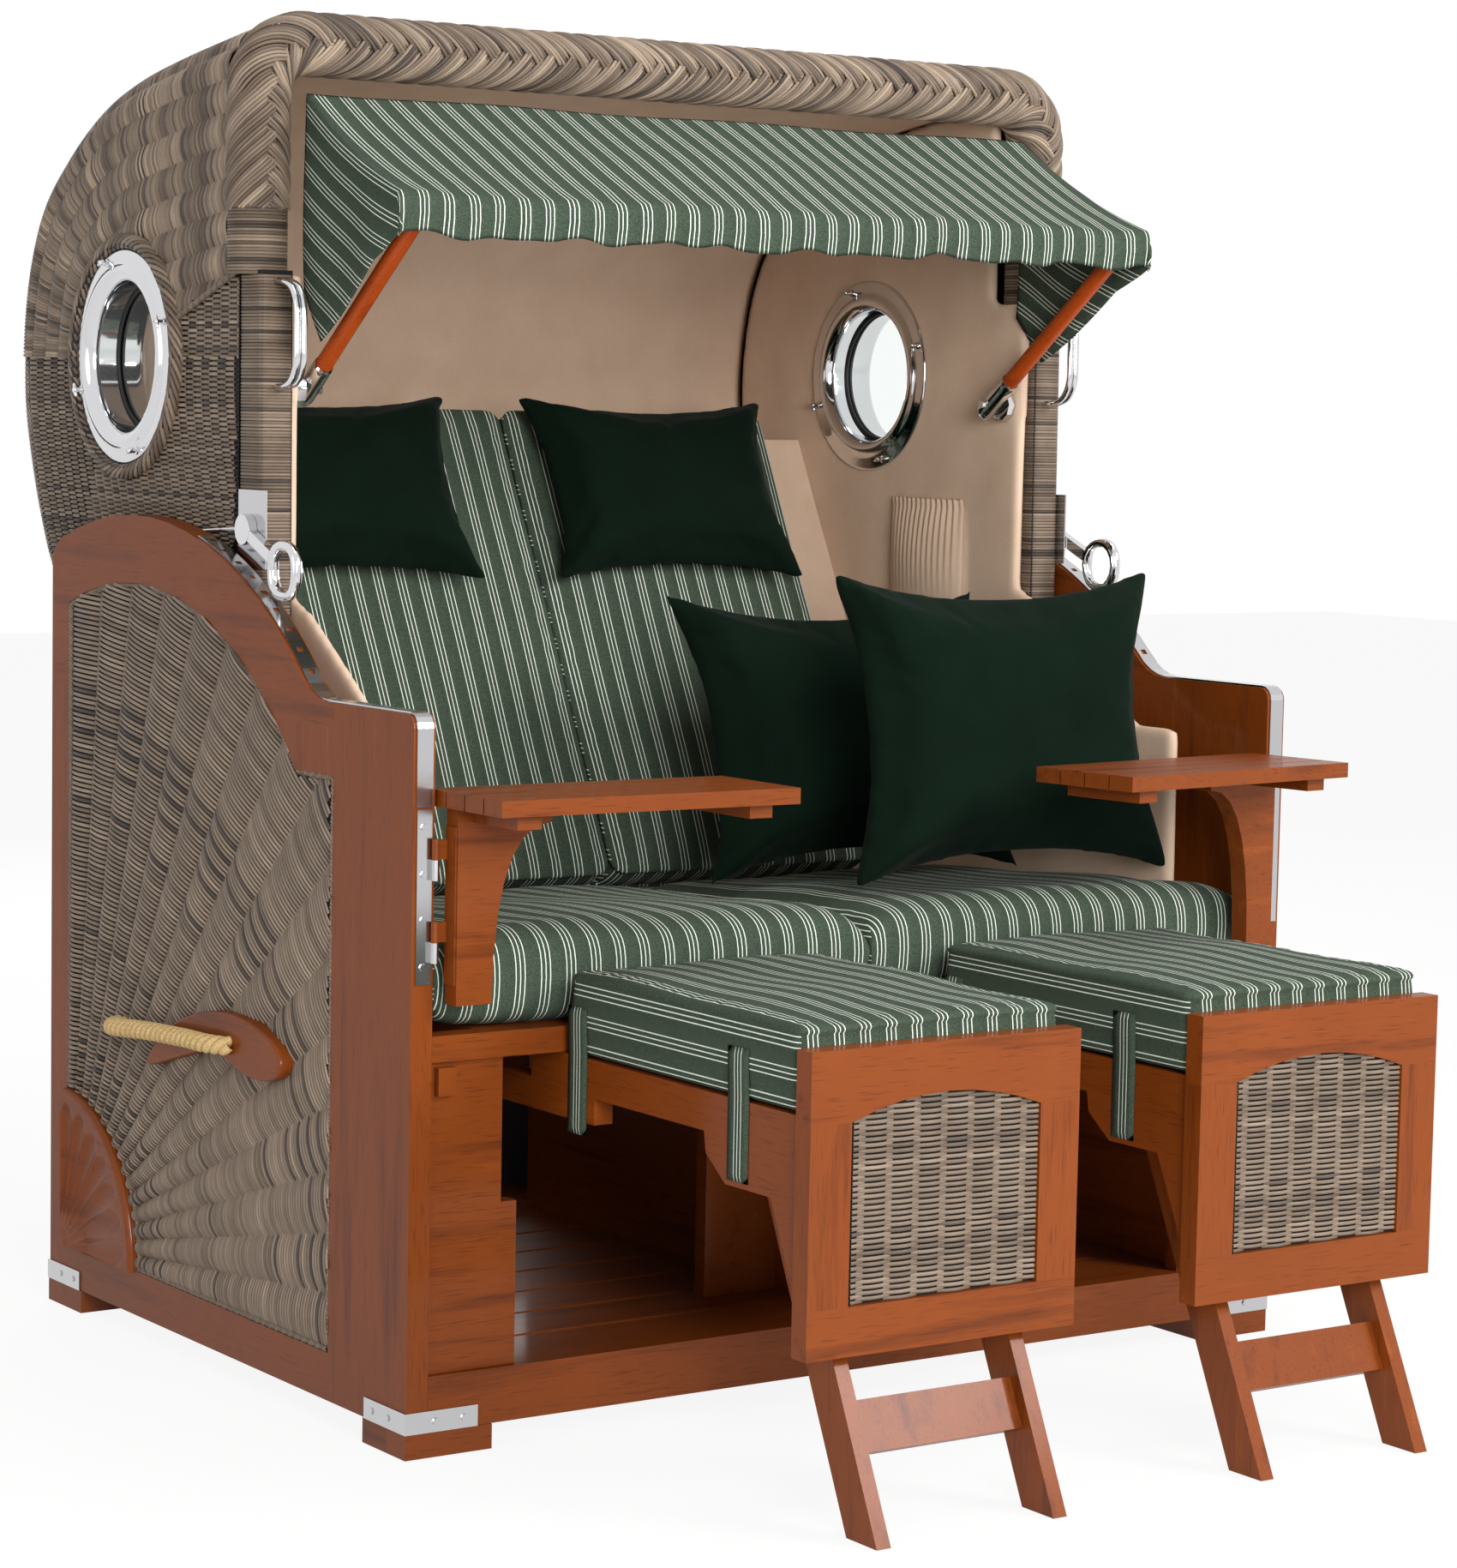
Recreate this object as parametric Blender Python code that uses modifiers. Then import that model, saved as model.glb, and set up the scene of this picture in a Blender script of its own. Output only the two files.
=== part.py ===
"""Hooded beach chair: a two-seat wicker hood that reclines on a wooden base.

The base carries the seat, two pull-out footrests with folding legs and two swing-out tables.
The hood carries the lining, the portholes, the back cushions and a small folding awning.
Units are metres. X runs across the chair, Y from the front to the back, Z up.
Every Y below is counted from the front plane of the base, every Z from the ground.
"""
import math

import bmesh
import bpy
from mathutils import Matrix, Vector

# Overall
WIDTH = 1.25
DEPTH = 0.914
HEIGHT = 1.597
HOOD_DEPTH = 1.10
FRONT_REACH = 0.54
GAP = 0.0003
OVERRUN = 0.01
SINK = 0.001
WELD = 0.000002
SIDE = WIDTH / 2

# Feet and corner brackets
FOOT_LENGTH = 0.109
FOOT_DEPTH = 0.094
FOOT_HEIGHT = 0.028
BOARD_BOTTOM = FOOT_HEIGHT + GAP
BRACKET_ARM = 0.09
BRACKET_HEIGHT = 0.024
SHEET = 0.002
SCREW_RADIUS = 0.004
SCREW_HEAD = 0.0015
SHOE_SCREW_SHARES = (0.4, 0.8)
LEAF_SCREW_SHARES = (0.1, 0.37, 0.63, 0.9)

# Side panels
PANEL = 0.027
PANEL_INNER = SIDE - PANEL
PIVOT_Y = 0.68
PIVOT_Z = 0.382
ARCH_RADIUS = 0.627
ARCH_RIM = 0.082
ARCH_START = math.radians(134.0)
ARCH_END = math.radians(71.3)
HORN_HEIGHT = 0.817
HORN_DEPTH = 0.20
HORN_ROUND = 0.015
STILE = 0.178
REAR_STILE = 0.05
SILL = 0.083
LEDGE_HEIGHT = 0.735
REAR_TOP = 0.944
REAR_ROUND = 0.022
CROSS_RAIL_LOW = 0.34
CROSS_RAIL_HIGH = 0.425
CROSS_RAIL = 0.0087
TENON = 0.008
WICKER = 0.012
CARVING_RADIUS = 0.20
CARVING = 0.009

def slotted_deck(low, high, slats, rim):
    """A slatted board between two corners: slots across it, closed by a rim at both sides."""
    run = high[1] - low[1]
    width = (run - SLAT_SPACE * (slats - 1)) / slats
    loops = [[(low[0], low[1]), (high[0], low[1]), (high[0], high[1]), (low[0], high[1])]]
    for i in range(1, slats):
        start = low[1] + i * (width + SLAT_SPACE) - SLAT_SPACE
        end = start + SLAT_SPACE
        loops.append([(low[0] + rim, start), (high[0] - rim, start), (high[0] - rim, end), (low[0] + rim, end)])
    return slab(loops, low[2], high[2], "Z")


# Bottom and rear of the base
RAIL_TOP = 0.09
RAIL = 0.03
BEARER_HEIGHT = 0.0464
BEARER_WIDTH = 0.034
FLOOR_SLAT = 0.0147
FLOOR_SLATS = 9
SLAT_SPACE = 0.008
REAR_FRAME_TOP = 0.27
REAR_WINDOW_TOP = 0.23
REAR_WINDOW_SIDE = 0.05

# Seat
SEAT_TOP = 0.466
SEAT_RAIL_BOTTOM = 0.4373
SEAT_SLAT = 0.0157
SEAT_SLATS = 6
SEAT_SLAT_REACH = 0.5285
SEAT_DECK_DEPTH = 0.57
BEARER_OUTER = 0.529
BEARER_BOARD = 0.025
BEARER_BACK = 0.75
DIVIDER = 0.024
STAND_OUTER_NARROW = 0.503
STAND_OUTER_WIDE = 0.483
STAND_NOTCH = 0.274
STAND = 0.022
STOP_BLOCK_INNER = 0.567
STOP_BLOCK_OUTER = 0.59
STOP_BLOCK_LOW = 0.40
STOP_BLOCK_HIGH = 0.431
STOP_BLOCK = 0.01
RUNNER_LOW = 0.340
RUNNER_HIGH = 0.3645
RUNNER_FRONT = 0.175
RUNNER_OUTER_EDGE = 0.404
RUNNER_INNER_EDGE = 0.116

# Locking rails, carry handles and table hinges
RAIL_STRIP_WIDTH = 0.020
RAIL_STRIP_END = 0.717
RAIL_STRIP_START = math.radians(104.8)
RAIL_HOLES = 9
RAIL_HOLE = 0.008
CAM = 0.0185
CAM_LENGTH = 0.339
CAM_HEIGHT = 0.09
CAM_BACK = 0.612
CAM_LOW = 0.35
CAM_SHARES = ((0.0, 0.0), (0.233, 0.7), (0.59, 1.0), (0.9, 0.86), (1.0, 0.6), (0.97, 0.34), (0.785, 0.24),
              (0.47, 0.41))
ROPE_RADIUS = 0.0095
ROPE_BACK = 0.708
ROPE_FRONT = 0.386
ROPE_BACK_Z = 0.384
ROPE_FRONT_Z = 0.403
ROPE_STANDOFF = 0.0025
ROPE_BEND_SHARES = ((0.0, 0.0), (0.02, 0.4), (0.06, 0.8), (0.14, 1.0), (0.4, 1.0), (0.7, 1.0), (0.87, 1.0),
                    (0.95, 0.78), (0.985, 0.5))
LEAF_WIDTH = 0.020
LEAF_LOW = 0.524
LEAF_HIGH = 0.7145
KNUCKLE_RADIUS = 0.0045
KNUCKLE_LENGTH = 0.0225
LEAF_SETBACK = 0.0015
KNUCKLE_HEIGHTS = (0.57, 0.66)
HINGE_X = 0.6005
HINGE_Y = -0.0075

# Pivot bolts
BOLT_RADIUS = 0.006
BOLT_CLEARANCE = 0.0006
BOLT_HEAD_RADIUS = 0.014
BOLT_HEAD = 0.01
BOLT_SIDES = 24

# Hood shell
SKIN_REACH = 0.592
SKIN = 0.014
SKIN_FRONT = 0.4753
SKIN_ROOF_FRONT = 0.4988
SKIN_ROUND_SHARES = (0.0, 1 / 3, 2 / 3, 1.0)
SKIN_EDGE_ROUND = 0.05
ROOF_DROP = 0.017
ROOF_HEIGHT = HEIGHT - ROOF_DROP
HOOD_SHARES = ((0.4535, 1.0), (0.601, 0.986), (0.706, 0.973), (0.794, 0.954), (0.873, 0.926), (0.937, 0.889),
               (0.977, 0.842), (0.998, 0.784), (1.0, 0.7215), (0.975, 0.659), (0.939, 0.604), (0.908, 0.570),
               (0.8545, 0.494), (0.823, 0.411), (0.8045, 0.316), (0.795, 0.209))
HOOD_LOW_Y = 0.68
HOOD_LOW_Z = 0.29
HOOD_FRONT_LOW_Y = 0.60
HOOD_FRONT_LOW_Z = 0.30
LINER_OUTER = 0.5482
LINER = 0.0142
LINER_INNER = LINER_OUTER - LINER
LINER_INSET = SKIN + 0.0045
BACK_LINER = 0.004
EAR_FRONT = 0.105
EAR_LOW = 0.455
EAR_HIGH = 0.76
EAR_ROUND = 0.018
EAR_SHELF = 0.182
EAR_SLOPE_Y = 0.385
EAR_SLOPE_Z = 0.902
EAR_POST_Y = 0.434
EAR_POST_Z = 0.921
LINER_EDGE = 0.4265

# Posts, braid and grab bows
POST_FRONT = 0.42
POST_BACK = 0.475
POST_LEAN = 0.006
POST_BOTTOM = 0.60
BRAID_RISE = 0.301
COLLAR = HEIGHT - BRAID_RISE
BRAID_RADIUS = 0.0405
BRAID_X = 0.575
BRAID_Y = 0.458
BRAID_BEND = 0.075
BRAID_SIDES = 10
BOW_RADIUS = 0.0042
BOW_X = 0.570
BOW_DROP = 0.004
BOW_HEIGHT = 0.131
BOW_HIGH = COLLAR - BOW_DROP
BOW_LOW = BOW_HIGH - BOW_HEIGHT
BOW_REACH = 0.052
BOW_SHARES = ((0.0, 0.0), (0.35, 0.01), (0.75, 0.07), (0.98, 0.24), (1.0, 0.5), (0.98, 0.76), (0.75, 0.93),
              (0.35, 0.99), (0.0, 1.0))

# Portholes
PORT_Y = 0.765
PORT_DROP = 0.38
PORT_Z = ROOF_HEIGHT - PORT_DROP
PORT_BORE = 0.089
PORT_WALL = 0.006
PORT_FLANGE = 0.1305
PORT_FLANGE_PLATE = 0.004
PORT_RING = 0.105
PORT_RING_WIDTH = 0.012
PORT_RING_RISE = 0.006
PORT_CLEARANCE = 0.0008
PORT_STEPS = 20
GLASS = 0.003
PORT_JOINT = 0.560
THUMB_RADIUS = 0.005
THUMB_LENGTH = 0.012
THUMB_CIRCLE = 0.119
THUMB_ANGLES = (20.0, 110.0, 200.0, 290.0)
WREATH_RADIUS = 0.009
WREATH_CIRCLE = 0.1405
WREATH_STEPS = 20
WREATH_LIFT_SHARE = 0.75

# Pocket on the right lining
POCKET_BACK = 0.701
POCKET_FRONT = 0.541
POCKET_TOP = 1.036
POCKET_BOTTOM = 0.87
POCKET_DEPTH = 0.018

# Back cushions and head pillows, on the sloping back
BACK_SLOPE = math.atan(0.507)
BACK_FOOT_Y = 0.56
BACK_FOOT_Z = 0.54
BACK_CUSHION_START = 0.0155
BACK_CUSHION_LENGTH = 0.665
BACK_CUSHION_REACH = 0.42
BACK_CUSHION = 0.075
CUSHION_SPACE = 0.002
PILLOW_SHARES = (-1.0, -0.8, 0.0, 0.8, 1.0)
BACK_BOARD = 0.012
BACK_BOARD_LENGTH = 0.66
PILLOW_START = 0.404
PILLOW_LENGTH = 0.28
PILLOW = 0.085
PILLOW_SINK = 0.0043
LEFT_PILLOW_LOW = -0.515
LEFT_PILLOW_HIGH = -0.107
RIGHT_PILLOW_LOW = 0.0
RIGHT_PILLOW_HIGH = 0.395

# Seat cushion and loose cushions
SEAT_CUSHION_FRONT = 0.004
SEAT_CUSHION_BACK = 0.555
SEAT_CUSHION_WIDE = 0.592
SEAT_CUSHION_NARROW = 0.530
SEAT_CUSHION_STEP = 0.081
SEAT_CUSHION_TOP = 0.578
SEAT_CUSHION_FALL = 0.033
SEAT_CUSHION_NOSE = 0.012
SEAT_STEP_FRONT = 0.015
SEAT_STEP_MIDDLE = 0.006
SEAT_STEP_BACK = 0.003
LOOSE_CUSHION = 0.115
FRONT_LOOSE_WIDTH = 0.485
FRONT_LOOSE_HEIGHT = 0.385
FRONT_LOOSE_X = 0.281
FRONT_LOOSE_Y = 0.095
FRONT_LOOSE_TILT = math.radians(9.0)
FRONT_LOOSE_SINK = 0.0027
REAR_LOOSE_WIDTH = 0.475
REAR_LOOSE_HEIGHT = 0.375
REAR_LOOSE_X = 0.23
REAR_LOOSE_Y = 0.33
REAR_LOOSE_TILT = math.radians(18.0)
REAR_LOOSE_SINK = 0.010

# Awning
AWNING_Y = 0.46
AWNING_DROP = 0.417
AWNING_Z = ROOF_HEIGHT - AWNING_DROP
AWNING_ARM = 0.021
AWNING_TAIL = 0.018
AWNING_SOCKET = 0.05
AWNING_ARM_REACH = 0.520
AWNING_BAR_Y = 0.20
AWNING_BAR_DROP = 0.218
AWNING_BAR_Z = ROOF_HEIGHT - AWNING_BAR_DROP
AWNING_BAR_RADIUS = 0.009
AWNING_PIN_RADIUS = 0.005
AWNING_PIN_CLEARANCE = 0.0007
AWNING_PLATE_RADIUS = 0.022
AWNING_CAP_RADIUS = 0.0125
AWNING_CAP = 0.007
CLOTH = 0.003
CLOTH_BACK_Y = 0.436
CLOTH_BACK_DROP = 0.0742
CLOTH_BACK_Z = ROOF_HEIGHT - CLOTH_BACK_DROP
CLOTH_FRONT_Y = 0.185
CLOTH_FRONT_DROP = 0.196
CLOTH_FRONT_Z = ROOF_HEIGHT - CLOTH_FRONT_DROP
CLOTH_NARROW = 0.5285
CLOTH_WIDE = 0.545
CLOTH_SAG = 0.012
CLOTH_CHEEK = 0.23
CLOTH_DEPTH_SHARES = (0.0, 0.2, 0.45, 0.75, 1.0)
CLOTH_WIDTH_SHARES = (-1.0, -0.8, -0.45, 0.0, 0.45, 0.8, 1.0)
CLOTH_CHEEK_SHARES = (1.0, 1.12, 0.82, 0.42, 0.16)

def awning_cloth():
    """The stretched roof of the awning with a hanging cheek at each side, one thin sheet."""
    bm = bmesh.new()
    grid = []
    for share, cheek in zip(CLOTH_DEPTH_SHARES, CLOTH_CHEEK_SHARES):
        y = CLOTH_BACK_Y + (CLOTH_FRONT_Y - CLOTH_BACK_Y) * share
        sag = CLOTH_SAG * math.sin(math.pi * share)
        z = CLOTH_BACK_Z + (CLOTH_FRONT_Z - CLOTH_BACK_Z) * share - sag
        reach = CLOTH_NARROW if share < CLOTH_DEPTH_SHARES[2] else CLOTH_WIDE
        cheek_low = z - CLOTH_CHEEK * cheek
        line = [bm.verts.new((-reach, y, cheek_low)), bm.verts.new((-reach, y, (z + cheek_low) / 2))]
        for across in CLOTH_WIDTH_SHARES:
            line.append(bm.verts.new((reach * across, y, z - sag * across * across)))
        line += [bm.verts.new((reach, y, (z + cheek_low) / 2)), bm.verts.new((reach, y, cheek_low))]
        grid.append(line)
    for near, far in zip(grid, grid[1:]):
        for i in range(len(near) - 1):
            bm.faces.new((near[i], near[i + 1], far[i + 1], far[i]))
    mesh = bpy.data.meshes.new("cloth")
    bm.to_mesh(mesh)
    bm.free()

    def sew(holder):
        wall = holder.modifiers.new("cloth", "SOLIDIFY")
        wall.thickness = CLOTH
        wall.offset = -1
        wall.use_even_offset = True

    return settled(mesh, None, sew)


# Latches
LATCH_Y = 0.44
LATCH_Z = 1.0
LATCH_PLATE_LOW = 0.955
LATCH_PLATE_HIGH = 1.046
LATCH_PLATE_FRONT = 0.402
LATCH_PLATE_BACK = 0.470
LATCH_BOSS = 0.018
LATCH_THICK = 0.011
LATCH_STEM_HALF = 0.007
LATCH_RING_Y = 0.338
LATCH_RING_Z = 0.956
LATCH_RING_RADIUS = 0.031
LATCH_RING_BAND = 0.004
LATCH_ROD_RADIUS = 0.0024
LATCH_ROD_X = 0.5951
LATCH_ROD_LENGTH = 0.119
LATCH_ROD_DROP = 0.046
LATCH_ROD_INSET = 0.004
LATCH_ROD_BEND = 0.0072

# Footrests
REST_INNER = 0.085
REST_OUTER = 0.435
REST_FRONT = -0.48
REST_BOARD = 0.026
REST_LOW = 0.187
REST_HIGH = 0.506
REST_STILE = 0.052
REST_WINDOW_LOW = 0.239
REST_WINDOW_HIGH = 0.430
REST_WINDOW_CROWN = 0.023
REST_WICKER = 0.012
REST_RAIL_OUTER = 0.430
REST_RAIL = 0.024
REST_RAIL_TOP = 0.4367
REST_RAIL_BOTTOM = 0.344
REST_RAIL_GUSSET_LOW = 0.24
REST_RAIL_GUSSET = 0.049
REST_RAIL_DEEP_END = -0.322
REST_RAIL_CHAMFER_Y = -0.285
REST_RAIL_CHAMFER_Z = 0.371
REST_RAIL_SHALLOW = 0.394
REST_RAIL_SHALLOW_Y = -0.281
REST_HEEL_START = -0.066
REST_HEEL_END = 0.30
REST_HEEL_TOP = 0.400
REST_DECK_END = -0.012
REST_SLATS = 5
REST_SLAT = 0.0145
REST_CUSHION_TOP = 0.532
STRAP = 0.0018
STRAP_WIDTH = 0.04
STRAP_FRONT_Y = -0.365
STRAP_BACK_Y = -0.052
STRAP_BOTTOM = 0.35
STRAP_TOP = 0.486
STRAP_TAB = 0.025

# Footrest legs
LEG_Y = -0.340
LEG_Z = 0.372
LEG_LEAN = math.radians(25.0)
LEG_HALF = 0.024
LEG_OUTER = 0.384
LEG_INNER = 0.136
LEG_BOARD = 0.018
LEG_BAR_LOW = 0.081
LEG_BAR_HIGH = 0.131
LEG_BAR_HALF = 0.009
LEG_PIN_RADIUS = 0.0045
LEG_PIN_CLEARANCE = 0.0006

# Tables
TABLE_TOP = 0.735
TABLE_PLANK = 0.018
TABLE_PLANKS = 4
TABLE_PLANK_SPACE = 0.003
TABLE_INNER = 0.21
TABLE_OUTER = 0.595
TABLE_FRONT = -0.135
TABLE_BACK = 0.02
BATTEN = 0.0155
BATTEN_WIDTH = 0.03
BATTEN_INSET = 0.028
TABLE_BRACKET_FRONT = -0.028
TABLE_BRACKET_BACK = -0.004
TABLE_BRACKET_LOW = 0.502
TABLE_BRACKET_OUTER = 0.585
TABLE_BRACKET_TIP = 0.466
TABLE_BRACKET_FOOT = 0.045
TABLE_BRACKET_NOSE = 0.02
RIGHT_TABLE_SWING = math.radians(7.0)

for item in list(bpy.data.objects):
    bpy.data.objects.remove(item, do_unlink=True)

PARTS = bpy.data.collections.new("hooded_beach_chair")
CUTTERS = bpy.data.collections.new("cutters")
bpy.context.scene.collection.children.link(PARTS)
bpy.context.scene.collection.children.link(CUTTERS)

# A plane drawn in two coordinates, turned so that its normal lies along the named axis
PLANES = {
    "X": Matrix(((0, 0, 1, 0), (1, 0, 0, 0), (0, 1, 0, 0), (0, 0, 0, 1))),
    "Y": Matrix(((1, 0, 0, 0), (0, 0, -1, 0), (0, 1, 0, 0), (0, 0, 0, 1))),
    "Z": Matrix.Identity(4),
}

# Sides of round rods and steps of curves
ROD_SIDES = 8
PIN_SIDES = 10
SCREW_SIDES = 6
RING_SIDES = 16
ARCH_STEPS = 14
OPENING_STEPS = 16
CORNER_STEPS = 4
FILLET_STEPS = 3
BRAID_BEND_STEPS = 5
WINDOW_STEPS = 8
BRACKET_STEPS = 7
SMOOTH_STEPS = 3
ROPE_STEPS = 2
SHARP_ANGLE = math.radians(35.0)

# Shares of soft forms
PLUMP_SHARE = 0.04
BACK_CROWN_SHARE = 0.4
BACK_PULL_SHARE = 0.012
HEAD_CROWN_SHARE = 0.6
HEAD_PULL_SHARE = 0.04
PAD_CROWN_SHARE = 0.35
PAD_PULL_SHARE = 0.012
LOOSE_CROWN_SHARE = 0.72
LOOSE_PULL_SHARE = 0.05
POCKET_BELLY_SHARE = 0.5
POCKET_GATHER_SHARE = 0.45
POCKET_SHARES = (0.0, 0.3, 0.65, 1.0)
SEAT_SHARES = (0.0, 0.03, 0.25, 0.485, 0.5, 0.515, 0.75, 0.97, 1.0)
SEAT_EDGE_SHARE = 0.03
SEAT_FLAT_SHARE = 0.72
SEAT_CROWN_SHARE = 0.14
SEAT_SEAM_SHARE = 0.1
SEAT_BEHIND_SHARE = 1.5
SEAT_REAR_SHARE = 0.97


def finish(name, colour, roughness, metallic=0.0):
    """A plain surface: its colour, its roughness and how metallic it is."""
    material = bpy.data.materials.new(name)
    material.use_nodes = True
    shader = material.node_tree.nodes["Principled BSDF"]
    shader.inputs["Base Color"].default_value = (*colour, 1.0)
    shader.inputs["Roughness"].default_value = roughness
    shader.inputs["Metallic"].default_value = metallic
    return material


def tidy(bm, matrix=None):
    """Weld a shape's loose caps, put it in place and turn its faces outwards."""
    bmesh.ops.remove_doubles(bm, verts=bm.verts, dist=WELD)
    if matrix is not None:
        bmesh.ops.transform(bm, matrix=matrix, verts=bm.verts)
    bmesh.ops.recalc_face_normals(bm, faces=bm.faces)
    mesh = bpy.data.meshes.new("shape")
    bm.to_mesh(mesh)
    bm.free()
    return mesh


def settled(data, matrix=None, modify=None):
    """The mesh that an object holding this curve or mesh shows, welded and put in place."""
    holder = bpy.data.objects.new("holder", data)
    bpy.context.scene.collection.objects.link(holder)
    if modify is not None:
        modify(holder)
    graph = bpy.context.evaluated_depsgraph_get()
    shown = bpy.data.meshes.new_from_object(holder.evaluated_get(graph))
    bm = bmesh.new()
    bm.from_mesh(shown)
    bpy.data.objects.remove(holder, do_unlink=True)
    return tidy(bm, matrix)


def slab(loops, low, high, axis):
    """A board with this outline, and holes for the loops after the first, from low to high along the axis."""
    curve = bpy.data.curves.new("outline", "CURVE")
    curve.dimensions = "2D"
    curve.fill_mode = "BOTH"
    curve.extrude = (high - low) / 2
    for loop in loops:
        spline = curve.splines.new("POLY")
        spline.points.add(len(loop) - 1)
        spline.use_cyclic_u = True
        for point, (first, second) in zip(spline.points, loop):
            point.co = (first, second, 0, 1)
    middle = Vector([(high + low) / 2 if letter == axis else 0 for letter in "XYZ"])
    return settled(curve, Matrix.Translation(middle) @ PLANES[axis])


def block(low, high):
    """A box between two opposite corners."""
    low, high = Vector(low), Vector(high)
    bm = bmesh.new()
    scale = Matrix.Diagonal((*(high - low), 1))
    bmesh.ops.create_cube(bm, size=1, matrix=Matrix.Translation((low + high) / 2) @ scale)
    return tidy(bm)


def rod(points, radius, sides=8):
    """A round rod or rope through these points, with flat ends."""
    curve = bpy.data.curves.new("rod", "CURVE")
    curve.dimensions = "3D"
    curve.bevel_depth = radius
    curve.bevel_resolution = (sides - 4) // 2
    curve.use_fill_caps = True
    spline = curve.splines.new("POLY")
    spline.points.add(len(points) - 1)
    for point, place in zip(spline.points, points):
        point.co = (*place, 1)
    return settled(curve)


def turned(profile, steps, matrix):
    """A ring: a closed outline of radius and height, turned about the height axis, then put in place."""
    mesh = bpy.data.meshes.new("profile")
    count = len(profile)
    edges = [(i, (i + 1) % count) for i in range(count)]
    mesh.from_pydata([(radius, 0, height) for radius, height in profile], edges, [])

    def screw(holder):
        spin = holder.modifiers.new("turn", "SCREW")
        spin.steps = steps
        spin.render_steps = steps
        spin.use_merge_vertices = True
        spin.merge_threshold = WELD

    return settled(mesh, matrix, screw)


def spindle(profile, steps):
    """A solid of revolution: radius and height pairs from one flat end to the other."""
    bm = bmesh.new()
    rings = []
    for radius, height in profile:
        ring = [bm.verts.new((x, y, height)) for x, y in circle((0, 0), radius, steps)]
        rings.append(ring)
    for lower, upper in zip(rings, rings[1:]):
        for i in range(steps):
            k = (i + 1) % steps
            bm.faces.new((lower[i], lower[k], upper[k], upper[i]))
    bm.faces.new(rings[0])
    bm.faces.new(rings[-1])
    return tidy(bm)


def mirrored(mesh):
    """The same shape on the chair's other side."""
    bm = bmesh.new()
    bm.from_mesh(mesh)
    return tidy(bm, Matrix.Diagonal((-1, 1, 1, 1)))


def both_sides(meshes):
    """The right-hand shapes and their mirror images."""
    return meshes + [mirrored(mesh) for mesh in meshes]


def moved(mesh, matrix):
    """A copy of a shape, put somewhere else."""
    bm = bmesh.new()
    bm.from_mesh(mesh)
    return tidy(bm, matrix)


def joint_frame(name, place, parent):
    """An empty on a joint's axis, which carries what moves with it."""
    empty = bpy.data.objects.new(name, None)
    empty.location = place
    PARTS.objects.link(empty)
    if parent is not None:
        bpy.context.view_layer.update()
        empty.parent = parent
        empty.matrix_parent_inverse = parent.matrix_world.inverted()
    bpy.context.view_layer.update()
    return empty


def boolean(body, tool, operation):
    """One shape with another cut out of it, or joined to it."""
    cutter = bpy.data.objects.new("cutter", tool)
    CUTTERS.objects.link(cutter)
    cutter.hide_render = True
    cutter.display_type = "WIRE"

    def combine(holder):
        modifier = holder.modifiers.new(operation.lower(), "BOOLEAN")
        modifier.operation = operation
        modifier.solver = "EXACT"
        modifier.object = cutter

    result = settled(body, None, combine)
    bpy.data.objects.remove(cutter, do_unlink=True)
    return result


def united(meshes):
    """Shapes that overlap a little, joined into one solid."""
    body = meshes[0]
    for mesh in meshes[1:]:
        body = boolean(body, mesh, "UNION")
    return body


def piece(name, meshes, material, parent):
    """One named sub-part made of these shapes, carried by its parent."""
    shape = united(meshes)
    shape.name = name
    shape.shade_smooth()
    shape.set_sharp_from_angle(angle=SHARP_ANGLE)
    shape.materials.clear()
    shape.materials.append(material)
    result = bpy.data.objects.new(name, shape)
    PARTS.objects.link(result)
    result.parent = parent
    result.matrix_parent_inverse = parent.matrix_world.inverted()
    return result


def pair(name, meshes, material, parent):
    """A sub-part on the right and its mirror image on the left."""
    right = united(meshes)
    piece(name + "_right", [right], material, parent)
    piece(name + "_left", [mirrored(right)], material, parent)


def arc(centre, radius, start, end, steps):
    """Points round part of a circle, both ends included."""
    angles = [start + (end - start) * i / steps for i in range(steps + 1)]
    return [(centre[0] + radius * math.cos(a), centre[1] + radius * math.sin(a)) for a in angles]


def circle(centre, radius, sides):
    """Points right round a circle."""
    return arc(centre, radius, 0, math.tau, sides)[:-1]


def bend(start, corner, end, steps=4):
    """Points on a curve that leaves start towards the corner and arrives at end from it."""
    points = []
    for i in range(steps + 1):
        t = i / steps
        mix = [(1 - t) ** 2 * s + 2 * t * (1 - t) * c + t ** 2 * e for s, c, e in zip(start, corner, end)]
        points.append(tuple(mix))
    return points


def through(points, steps):
    """Points on a smooth curve that passes through every given point."""
    result = []
    for i in range(len(points) - 1):
        before, start = Vector(points[max(i - 1, 0)]), Vector(points[i])
        end, after = Vector(points[i + 1]), Vector(points[min(i + 2, len(points) - 1)])
        for k in range(steps):
            t = k / steps
            pull = (end - before) * t * (1 - t) ** 2 - (after - start) * t ** 2 * (1 - t)
            ease = t * t * (3 - 2 * t)
            result.append(tuple(start * (1 - ease) + end * ease + pull / 2))
    result.append(tuple(points[-1]))
    return result


def offset(points, distance):
    """An open line moved sideways by a distance, to the right of its direction."""
    result = []
    for i, point in enumerate(points):
        before, after = Vector(points[max(i - 1, 0)]), Vector(points[min(i + 1, len(points) - 1)])
        along = (after - before).normalized()
        result.append((point[0] + along.y * distance, point[1] - along.x * distance))
    return result


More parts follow.
